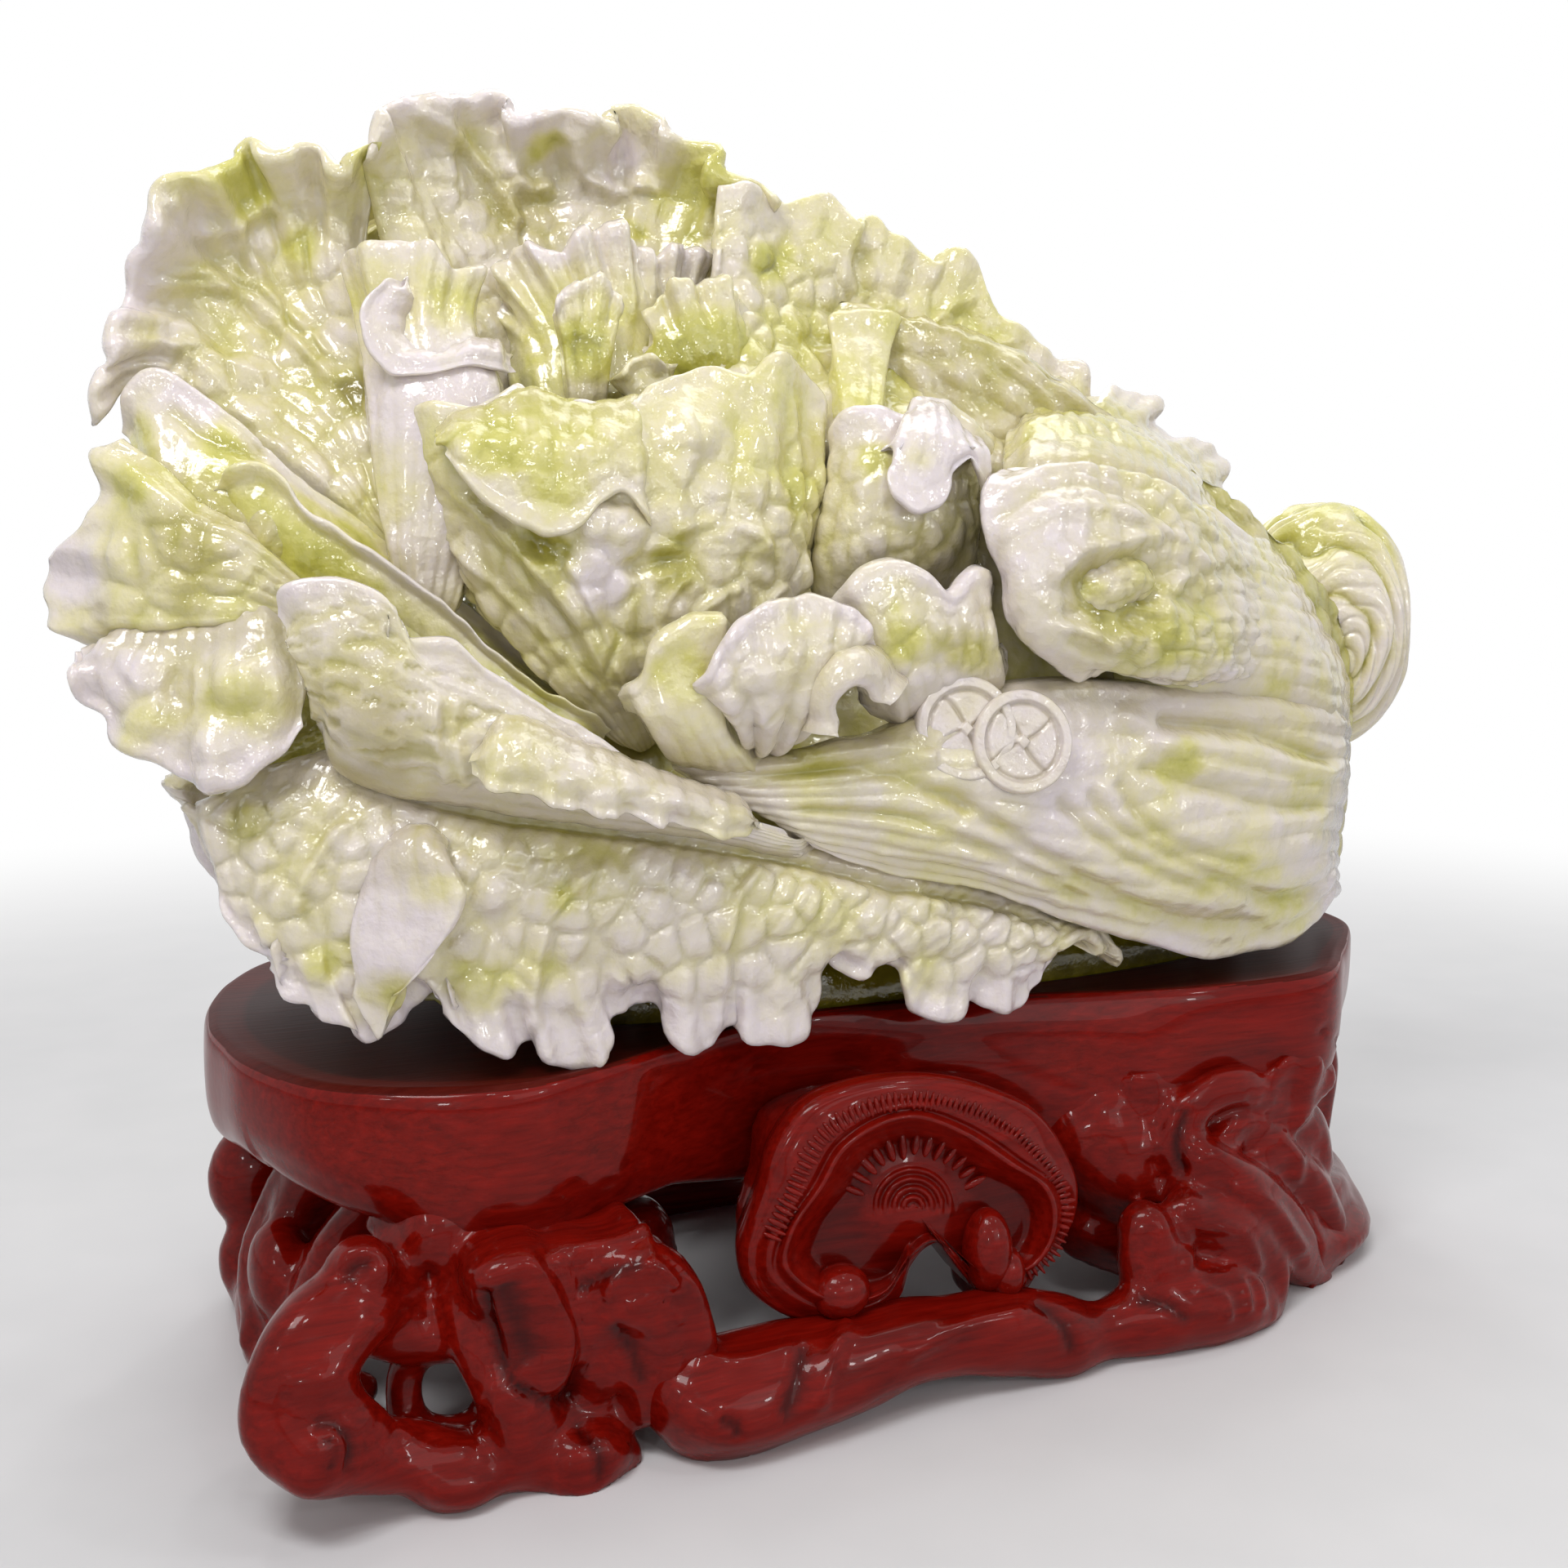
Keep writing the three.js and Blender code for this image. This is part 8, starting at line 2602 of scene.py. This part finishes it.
FRONT_RIGHT_WORK = RootWork(
    "front_right_roots",
    ("front_rail", "fungus_stem", "fungus_side_root", "right_strut", "right_front_foot"),
    (
        Limb(((846, 1700, -82, 16), (875, 1714, -84, 18), (967, 1690, -84, 16.5),
              (1047, 1666, -84, 16), (1100, 1646, -84, 14), (1167, 1633, -84, 12.5),
              (1233, 1630, -84, 14), (1300, 1632, -84, 13.5), (1344, 1627, -84, 10),
              (1389, 1615, -84, 12), (1433, 1600, -84, 14), (1491, 1592, -82, 14),
              (1532, 1594, -80, 10)), 0.05),
        Plate(((960, 1370), (1140, 1340), (1290, 1380), (1310, 1450), (1290, 1530), (1240, 1600),
               (1200, 1600), (1192, 1545), (1150, 1508), (1112, 1545), (1095, 1600), (1040, 1615),
               (970, 1590), (930, 1540), (940, 1450)), -70, -46, 20, 6),
        Limb(((1340, 1370, -46, 22), (1368, 1424, -50, 20), (1402, 1464, -56, 15),
              (1432, 1498, -63, 8), (1443, 1516, -67, 4))),
        Limb(((1330, 1500, -44, 12), (1390, 1520, -46, 13), (1440, 1540, -50, 13))),
        Plate(((1440, 1330), (1560, 1330), (1618, 1385), (1606, 1430), (1560, 1480), (1500, 1540),
               (1450, 1570), (1392, 1560), (1394, 1527), (1440, 1490)), -66, -20, 50, 16),
        Limb(((1400, 1500, -80, 9), (1410, 1550, -80, 12), (1440, 1590, -82, 13))),
        Limb(((1470, 1420, -74, 9), (1520, 1468, -72, 12), (1568, 1520, -66, 12),
              (1604, 1562, -60, 8))),
        Limb(((1450, 1480, -80, 8), (1500, 1510, -78, 11), (1540, 1560, -74, 11),
              (1540, 1596, -76, 10))),
        Limb(((1540, 1360, -56, 10), (1592, 1385, -50, 10), (1606, 1418, -48, 8))),
        Limb(((1530, 1400, -62, 10), (1580, 1440, -56, 12), (1612, 1500, -52, 11),
              (1618, 1552, -52, 8))),
        Limb(((1442, 1450, -66, 8), (1440, 1396, -68, 8), (1462, 1350, -68, 7.5),
              (1506, 1328, -66, 7), (1556, 1342, -60, 7), (1594, 1384, -54, 7)), 0.1),
        Limb(((1478, 1462, -68, 8), (1482, 1412, -68, 7), (1508, 1380, -66, 6.5),
              (1552, 1388, -60, 7), (1588, 1430, -54, 8)), 0.1),
        RoundLump(1500, 1592, -80, (13, 11, 10)),
        Root(((0.62, -0.66, 1.1, 1.5), (0.68, -0.72, 0.8, 1.2)), 0.1),
        Root(((0.36, -0.7, 1.1, 1.2), (0.37, -0.8, 0.75, 1.0)), 0.1),
    ),
    (
        rib(1.2, 2.4, (836, 1655), (900, 1668), (980, 1645)),
        rib(2.2, 2.6, (1040, 1610), (1020, 1660), (1000, 1730)),
        rib(-1.8, 2.4, (985, 1640), (975, 1700), (960, 1740)),
        rib(2.0, 2.6, (1100, 1665), (1180, 1625), (1260, 1605)),
        rib(-1.3, 2.0, (1262, 1592), (1302, 1622), (1316, 1662)),
        rib(-2.4, 1.6, (880, 1740), (900, 1745), (905, 1765)),
        rib(-1.4, 1.8, (1450, 1440), (1440, 1400), (1456, 1356)),
        rib(1.8, 2.0, (1440, 1490), (1455, 1520), (1450, 1560)),
        rib(1.8, 1.8, (1460, 1500), (1520, 1510), (1545, 1560)),
        rib(1.5, 1.3, (1480, 1560), (1520, 1570), (1530, 1610)),
        rib(1.5, 1.3, (1500, 1550), (1540, 1570), (1545, 1605)),
        rib(1.5, 1.3, (1460, 1575), (1500, 1590), (1505, 1620)),
        rib(1.8, 2.2, (1500, 1450), (1560, 1480), (1600, 1540)),
        rib(1.6, 2.0, (1560, 1380), (1590, 1420), (1585, 1450)),
        rib(-1.6, 2.0, (1390, 1590), (1430, 1600), (1460, 1620)),
    ),
)
LEFT_WORK = RootWork(
    "left_side_roots",
    ("left_rear_foot", "left_side_rail", "left_side_root"),
    (
        Root(((-0.76, 0.45, 1.1, 1.4), (-0.85, 0.6, 0.75, 1.2), (-0.89, 0.62, 0.42, 1.1),
              (-0.88, 0.58, 0.17, 1.0)), 0.14),
        Root(((-0.88, -0.6, 0.18, 0.85), (-0.91, -0.4, 0.14, 0.8), (-0.91, 0, 0.14, 0.8),
              (-0.9, 0.5, 0.16, 0.9)), 0.16),
        Root(((-0.78, 0, 1.1, 1.2), (-0.88, -0.02, 0.7, 1.0), (-0.91, -0.1, 0.4, 0.9),
              (-0.92, -0.12, 0.18, 0.8)), 0.14),
        Root(((-0.7, -0.5, 1.1, 1.1), (-0.82, -0.45, 0.75, 0.9), (-0.88, -0.35, 0.45, 0.8),
              (-0.91, -0.2, 0.2, 0.8)), 0.14),
        Knob((-0.91, 0.55, 0.62), 1.3), Knob((-0.91, 0.5, 0.25), 1.2),
        Knob((-0.93, -0.2, 0.55), 1.0, 0.6, 0.9),
    ),
)
RIGHT_WORK = RootWork(
    "right_side_roots",
    ("right_rear_foot", "right_side_rail", "right_side_root"),
    (
        Root(((0.72, 0.5, 1.1, 1.5), (0.84, 0.64, 0.7, 1.3), (0.86, 0.68, 0.38, 1.2),
              (0.82, 0.66, 0.17, 1.1)), 0.14),
        Root(((0.64, -0.85, 0.17, 1.0), (0.82, -0.6, 0.16, 0.95), (0.92, -0.05, 0.15, 0.95),
              (0.84, 0.62, 0.17, 1.0)), 0.16),
        Root(((0.78, -0.1, 1.1, 1.4), (0.9, -0.14, 0.7, 1.2), (0.92, -0.1, 0.4, 1.0),
              (0.91, -0.06, 0.18, 0.9)), 0.14),
        Knob((0.9, 0.6, 0.6), 1.5), Knob((0.93, -0.1, 0.45), 1.2, 0.5, 0.9),
    ),
)
BACK_WORK = RootWork(
    "back_roots",
    ("back_rail", "back_left_root", "back_right_root"),
    (
        Root(((-0.9, 0.66, 0.17, 1.0), (-0.62, 0.86, 0.15, 0.95), (-0.2, 0.84, 0.16, 1.0),
              (0.3, 0.86, 0.15, 0.95), (0.6, 0.85, 0.16, 1.0), (0.82, 0.68, 0.17, 1.0)), 0.16),
        Root(((-0.4, 0.55, 1.1, 1.4), (-0.42, 0.76, 0.7, 1.15), (-0.38, 0.83, 0.4, 1.0),
              (-0.36, 0.84, 0.18, 0.95)), 0.14),
        Root(((0.3, 0.6, 1.1, 1.4), (0.34, 0.78, 0.7, 1.15), (0.3, 0.84, 0.4, 1.0),
              (0.28, 0.85, 0.18, 0.95)), 0.14),
        Root(((-0.1, 0.5, 1.1, 1.3), (-0.05, 0.74, 0.75, 1.0), (0.05, 0.82, 0.45, 0.9),
              (0.1, 0.84, 0.2, 0.9)), 0.14),
        Root(((-0.64, 0.5, 1.1, 1.2), (-0.6, 0.74, 0.75, 1.0), (-0.62, 0.84, 0.45, 0.9),
              (-0.58, 0.85, 0.2, 0.9)), 0.14),
        Knob((-0.38, 0.86, 0.5), 1.25, 0.9, 0.5), Knob((0.32, 0.87, 0.5), 1.3, 0.9, 0.5),
    ),
)


@dataclass(frozen=True)
class RidgeRow:
    """Small carved ridges that repeat across a line, made with geometry nodes."""

    name: str
    count: int
    size: tuple[float, float, float]
    facing: tuple[float, float, float] = (-0.4, -0.9, 0.15)
    seed: int = 7

    def tree(self) -> bpy.types.NodeTree:
        """Builds the node tree.

        Returns:
            A tree that stands a ridge at each place of a line, each a little uneven in size.
        """
        tree = bpy.data.node_groups.new(f"{self.name}_rows", "GeometryNodeTree")
        for name, kind in (
            ("Line", "Geometry"), ("Count", "Int"), ("Size", "Vector"), ("Facing", "Vector"),
            ("Seed", "Int"), ("Finish", "Material"),
        ):
            tree.interface.new_socket(name, in_out="INPUT", socket_type=f"NodeSocket{kind}")
        tree.interface.new_socket("Ridges", in_out="OUTPUT", socket_type="NodeSocketGeometry")
        given = add_node(tree, "NodeGroupInput").outputs
        curve = add_node(tree, "GeometryNodeMeshToCurve", {"Mesh": given["Line"]})
        even = add_node(tree, "GeometryNodeResampleCurve", {
            "Curve": curve.outputs["Curve"], "Count": given["Count"]})
        along = add_node(tree, "GeometryNodeInputTangent").outputs["Tangent"]
        turned = add_node(tree, "FunctionNodeAxesToRotation", {
            "Primary Axis": given["Facing"], "Secondary Axis": along},
            primary_axis="Z", secondary_axis="X")
        uneven = add_node(tree, "FunctionNodeRandomValue", {
            "Min": (0.8, 0.7, 0.7), "Max": (1.2, 1.15, 1.1), "Seed": given["Seed"]},
            data_type="FLOAT_VECTOR")
        scale = add_node(tree, "ShaderNodeVectorMath", {
            0: given["Size"], 1: uneven.outputs[0]}, operation="MULTIPLY")
        pill = add_node(tree, "GeometryNodeMeshUVSphere", {
            "Segments": 12, "Rings": 8, "Radius": 1.0})
        placed = add_node(tree, "GeometryNodeInstanceOnPoints", {
            "Points": even.outputs["Curve"], "Instance": pill.outputs["Mesh"],
            "Rotation": turned.outputs["Rotation"], "Scale": scale.outputs["Vector"]})
        real = add_node(tree, "GeometryNodeRealizeInstances", {
            "Geometry": placed.outputs["Instances"]})
        smooth = add_node(tree, "GeometryNodeSetShadeSmooth", {
            "Geometry": real.outputs["Geometry"]})
        dressed = add_node(tree, "GeometryNodeSetMaterial", {
            "Geometry": smooth.outputs[0], "Material": given["Finish"]})
        add_node(tree, "NodeGroupOutput", {"Ridges": dressed.outputs["Geometry"]})
        return tree

    def build(self, places: np.ndarray, finish: bpy.types.Material) -> bpy.types.Object:
        """Makes the piece.

        Args:
            places: the line that the ridges stand on, in the carving's own frame.
            finish: their material.

        Returns:
            The object, at the origin.
        """
        line = bpy.data.meshes.new(f"{self.name}_line")
        edges = [(i, i + 1) for i in range(len(places) - 1)]
        line.from_pydata(row_frame(places).tolist(), edges, [])
        holder = add_piece(f"{self.name}_line", line)
        tree = self.tree()
        rows = holder.modifiers.new("rows", "NODES")
        rows.node_group = tree
        values = {
            "Count": self.count, "Size": tuple(part * MILLIMETRE for part in self.size),
            "Facing": self.facing, "Seed": self.seed, "Finish": finish,
        }
        for item in tree.interface.items_tree:
            if item.name in values and item.in_out == "INPUT":
                rows[item.identifier] = values[item.name]
        mesh = finished_mesh(holder)
        mesh.name = self.name
        return add_piece(self.name, mesh)


@dataclass(frozen=True)
class Fungus:
    """The fungus boss: a scalloped fan with a hatched, rolled rim and folds at its hub.

    The outer outline is the rim's edge and the inner one its crest, both in pixels.
    """

    hub: tuple[float, float] = (1118, 1478)
    outer: tuple[tuple[float, float], ...] = (
        (1142, 1522), (1116, 1548), (1100, 1590), (1056, 1612), (1016, 1617), (967, 1608),
        (927, 1577), (918, 1537), (927, 1506), (944, 1461), (958, 1412), (998, 1359),
        (1069, 1332), (1149, 1328), (1211, 1341), (1269, 1368), (1300, 1408), (1318, 1452),
        (1316, 1488), (1296, 1528), (1269, 1559), (1238, 1577), (1207, 1581), (1188, 1572),
        (1180, 1545), (1162, 1524),
    )
    inner: tuple[tuple[float, float], ...] = (
        (1142, 1518), (1110, 1542), (1085, 1580), (1040, 1594), (1000, 1585), (962, 1550),
        (971, 1506), (1007, 1452),
        (1033, 1408), (1078, 1377), (1122, 1368), (1176, 1386), (1238, 1426), (1278, 1452),
        (1291, 1479), (1287, 1519), (1264, 1550), (1225, 1562), (1196, 1560), (1176, 1535),
    )
    base: float = -66.0
    reach_steps: int = 90
    turn_steps: int = 360

    def reaches(self, line: tuple[tuple[float, float], ...], turn: np.ndarray) -> np.ndarray:
        """Measures an outline from the hub.

        Args:
            line: its pixels.
            turn: the directions, in radians.

        Returns:
            How many pixels it lies from the hub in each direction.
        """
        points = np.array(line, float)
        wrapped = np.concatenate([points[-3:], points, points[:4]])
        smooth = smooth_line(wrapped, 12)[36 : 36 + 12 * len(points)] - np.array(self.hub)
        angles = np.arctan2(smooth[:, 1], smooth[:, 0])
        order = np.argsort(angles)
        return np.interp(turn, angles[order], np.linalg.norm(smooth, axis=1)[order],
                         period=math.tau)

    def skin(self) -> Skin:
        """Builds the fan.

        Returns:
            A closed height field over the pixels round its hub.
        """
        turn = np.linspace(-math.pi, math.pi, self.turn_steps, endpoint=False)
        outer = self.reaches(self.outer, turn)[None, :]
        inner = self.reaches(self.inner, turn)[None, :] / outer
        share = np.linspace(0.01, 1, self.reach_steps)[:, None] ** 0.9
        pixels = share * outer
        band = smooth_step(0, 1, (share - inner) / np.maximum(1 - inner, 0.05))
        lip = bell(share - inner, 0.03)
        rise = 10 + 3.5 * np.exp(-((pixels / 60) ** 4)) + 7.0 * smooth_step(-0.2, 0, share - inner)
        rise = rise + 1.8 * lip - 5.0 * band**2 - 1.4 * bell(share - inner - 0.06, 0.022)
        upper = smooth_step(0.35, -0.15, np.sin(turn))[None, :]
        arcs = np.cos(pixels / 11.5 * math.tau)
        rise = rise + 0.9 * arcs * upper * (1 - smooth_step(44, 56, pixels))
        u = self.hub[0] + pixels * np.cos(turn)[None, :]
        v = self.hub[1] + pixels * np.sin(turn)[None, :]
        face = SIGHT.at_depth(u, v, self.base - rise)
        rim = SIGHT.at_depth(u[-1:], v[-1:], self.base - rise[-1:])
        rims = []
        for out, down in ((1.6, 2.0), (2.2, 5.0), (1.2, 9.0), (-2.0, 16.0)):
            ring = rim.copy()
            ring[..., 0] += out * np.cos(turn)
            ring[..., 2] -= out * np.sin(turn)
            ring[..., 1] += down
            rims.append(ring)
        last = rims[-1]
        centre = last.mean(axis=1, keepdims=True)
        rims.append(last * 0.3 + centre * 0.7)
        grid = np.concatenate([face, *rims])
        # Painted shade: the low middle of the fan, inside its rim, is darkened.
        shade = np.zeros(grid.shape[:2])
        shade[: self.reach_steps] = 0.5 * (1 - band) * smooth_step(14, 9, rise)
        return closed_loft(grid, np.zeros_like(shade), shade)

    def arc(self, first: float, last: float, share: float, depth: float) -> np.ndarray:
        """Gives places on an arc round the hub, for ridges to stand on.

        Args:
            first: the angle in degrees at which it starts, 270 being straight up.
            last: the angle at which it stops.
            share: how far out it lies between the inner and the outer outline. Below 0 it
                lies at the gills' own 78 pixels from the hub.
            depth: how far its places stand before the base plane.

        Returns:
            The places, first axis along the arc.
        """
        turn = np.radians(np.linspace(first, last, 90))
        inner, outer = self.reaches(self.inner, turn), self.reaches(self.outer, turn)
        pixels = inner + share * (outer - inner) if share >= 0 else np.full_like(turn, 78)
        u = self.hub[0] + pixels * np.cos(turn)
        v = self.hub[1] + pixels * np.sin(turn)
        return SIGHT.at_depth(u, v, np.full(len(turn), self.base - depth))

    def ridges(self, dresser: Dresser) -> None:
        """Makes the hatching of the rolled rim and the gills above the hub."""
        finish = dresser.finish(Slot.LACQUERED_WOOD)
        for name, places, count, size in (
            ("fungus_hatching", self.arc(168, 392, 0.5, 15.9), 80, (0.8, 3.4, 0.9)),
            ("fungus_gills", self.arc(196, 338, -1, 10.4), 13, (1.25, 4.6, 2.2)),
        ):
            piece = RidgeRow(name, count, size).build(places, finish)
            settle(piece, Body.STAND, Slot.LACQUERED_WOOD, "fungus_cap")

    def build(self, dresser: Dresser) -> None:
        """Makes the piece."""
        self.ridges(dresser)
        skin = joined(
            self.skin(),
            RoundLump(1029, 1581, -80, (9.5, 8, 8.5)).skin(),
            RoundLump(1208, 1530, -79, (8, 9, 14)).skin(),
            RoundLump(1228, 1556, -80, (7, 8, 9)).skin(),
        )
        piece = skin.to_object("fungus_boss", dresser.finish(Slot.LACQUERED_WOOD))
        settle(piece, Body.STAND, Slot.LACQUERED_WOOD, "fungus_cap")


@dataclass(frozen=True)
class StudioStage:
    """The camera, the lamps, the floor and the white surround."""

    floor_colour: str = "#DADBDD"
    floor_half: float = 6.0
    glint_places: tuple[tuple[float, float, float], ...] = (
        (-0.55, -0.35, 0.95), (-0.2, -0.7, 1.0), (0.15, -0.45, 1.05), (0.5, -0.55, 0.8),
        (-0.35, 0.1, 1.1), (0.3, 0.7, 0.9), (-0.75, -0.6, 0.55), (-0.1, -0.95, 0.6),
        (0.4, -0.9, 0.35), (-0.5, -0.9, 0.3),
    )
    near_reach: float = 0.42
    far_reach: float = 1.1

    def build(self) -> None:
        """Makes the stage."""
        self.camera()
        self.floor()
        self.surround()
        self.lamp("key_softbox", (-0.5, -0.5, 1.1), (0.4, 0.3), 5.4)
        self.lamp("top_softbox", (0.3, 0.2, 1.15), (0.8, 0.5), 3.0)
        self.lamp("fill_softbox", (0.35, -1.2, 0.55), (0.7, 0.5), 1.4)
        for number, place in enumerate(self.glint_places):
            self.lamp(f"glint_lamp_{number}", place, (0.06, 0.06), 0.42)
        self.lamp("back_softbox", (0.2, 0.9, 0.8), (0.8, 0.4), 2.2)

    def camera(self) -> None:
        """Places the camera where the photograph was taken."""
        data = bpy.data.cameras.new("camera")
        data.lens = SIGHT.focal_pixels / SIGHT.frame_pixels * SIGHT.sensor
        data.sensor_width = SIGHT.sensor
        data.clip_start, data.clip_end = 0.01, 40.0
        camera = add_piece("camera", data)
        camera.location = row_frame(np.array([SIGHT.x, SIGHT.y, SIGHT.z])).tolist()
        camera.rotation_euler = (
            math.radians(90 - SIGHT.tilt_degrees), 0.0, math.radians(SIGHT.turn_degrees))
        bpy.context.scene.camera = camera

    def lamp(self, name: str, place: tuple[float, float, float], size: tuple[float, float],
             power: float) -> None:
        """Adds a soft lamp that faces the carving.

        Args:
            name: its name.
            place: where it hangs, in metres.
            size: its width and height, in metres.
            power: its power in watts.
        """
        data = bpy.data.lights.new(name, "AREA")
        data.shape = "RECTANGLE"
        data.size, data.size_y = size
        data.energy = power
        lamp = add_piece(name, data)
        lamp.location = place
        aim = Vector((0.0, 0.0, 0.2)) - Vector(place)
        lamp.rotation_euler = aim.to_track_quat("-Z", "Y").to_euler()

    def floor(self) -> None:
        """Lays the floor."""
        mesh = bpy.data.meshes.new("floor")
        half = self.floor_half
        corners = [(-half, -half, 0), (half, -half, 0), (half, half, 0), (-half, half, 0)]
        mesh.from_pydata(corners, [], [(0, 1, 2, 3)])
        made = bpy.data.materials.new("floor_matt_paper")
        made.use_nodes = True
        tree = made.node_tree
        shader = tree.nodes["Principled BSDF"]
        place = add_node(tree, "ShaderNodeTexCoord").outputs["Object"]
        grain = noise(tree, place, 40, 2.0).outputs["Fac"]
        ramp = add_node(tree, "ShaderNodeValToRGB", {"Fac": grain})
        set_stops(ramp, ((0.0, self.floor_colour), (1.0, "#E2E2E4")))
        tree.links.new(ramp.outputs["Color"], shader.inputs["Base Color"])
        set_sockets(shader, {"Roughness": 0.55})
        reach = add_node(tree, "ShaderNodeVectorMath", {0: place}, operation="LENGTH")
        fade = add_node(tree, "ShaderNodeMapRange", {
            "Value": reach.outputs["Value"], "From Min": self.near_reach,
            "From Max": self.far_reach,
        }, interpolation_type="SMOOTHSTEP")
        path = add_node(tree, "ShaderNodeLightPath")
        seen = add_node(tree, "ShaderNodeMath", {
            0: fade.outputs["Result"], 1: path.outputs["Is Camera Ray"]}, operation="MULTIPLY")
        white = add_node(tree, "ShaderNodeEmission", {"Color": colour("#FFFFFF"),
                                                      "Strength": 1.0})
        mixed = add_node(tree, "ShaderNodeMixShader", {
            0: seen.outputs[0], 1: shader.outputs[0], 2: white.outputs[0]})
        tree.links.new(mixed.outputs[0], tree.nodes["Material Output"].inputs["Surface"])
        mesh.materials.append(made)
        floor = add_piece("floor", mesh)

    def surround(self) -> None:
        """Makes the surround white to the camera and softer as a light."""
        world = bpy.data.worlds.new("surround")
        bpy.context.scene.world = world
        world.use_nodes = True
        tree = world.node_tree
        tree.nodes.clear()
        out = add_node(tree, "ShaderNodeOutputWorld")
        light = add_node(tree, "ShaderNodeBackground", {"Color": colour("#EAE6E4"),
                                                        "Strength": 0.36})
        white = add_node(tree, "ShaderNodeBackground", {"Color": colour("#FFFFFF"),
                                                        "Strength": 1.0})
        path = add_node(tree, "ShaderNodeLightPath")
        seen = add_node(tree, "ShaderNodeMath", {
            0: path.outputs["Is Camera Ray"], 1: path.outputs["Is Glossy Ray"]},
            operation="MAXIMUM")
        shown = add_node(tree, "ShaderNodeMath", {
            0: seen.outputs[0], 1: path.outputs["Is Transmission Ray"]}, operation="MAXIMUM")
        mixed = add_node(tree, "ShaderNodeMixShader", {
            0: shown.outputs[0], 1: light.outputs[0], 2: white.outputs[0]})
        tree.links.new(mixed.outputs[0], out.inputs["Surface"])


def main() -> None:
    """Builds the stage and every piece."""
    logging.basicConfig(level=logging.INFO, format="%(message)s")
    bpy.context.scene.view_settings.view_transform = "Standard"
    StudioStage().build()
    dresser = Dresser()
    StoneCore().build(dresser)
    for carved in FRONT_LEAVES + BACK_LEAVES:
        piece = carved.skin().to_object(f"carved_{carved.name}", dresser.finish(carved.slot))
        settle(piece, Body.CABBAGE, carved.slot, carved.name)
    Coin("coin_front", (1247, 909, 5.2)).build(dresser)
    Coin("coin_back", (1178, 893, 0.6)).build(dresser)
    OvalBud().build(dresser)
    RootKnot().build(dresser)
    Slab().build(dresser)
    for work in (FRONT_LEFT_WORK, FRONT_RIGHT_WORK, LEFT_WORK, RIGHT_WORK, BACK_WORK):
        work.build(dresser)
    Fungus().build(dresser)


if __name__ == "__main__":
    main()
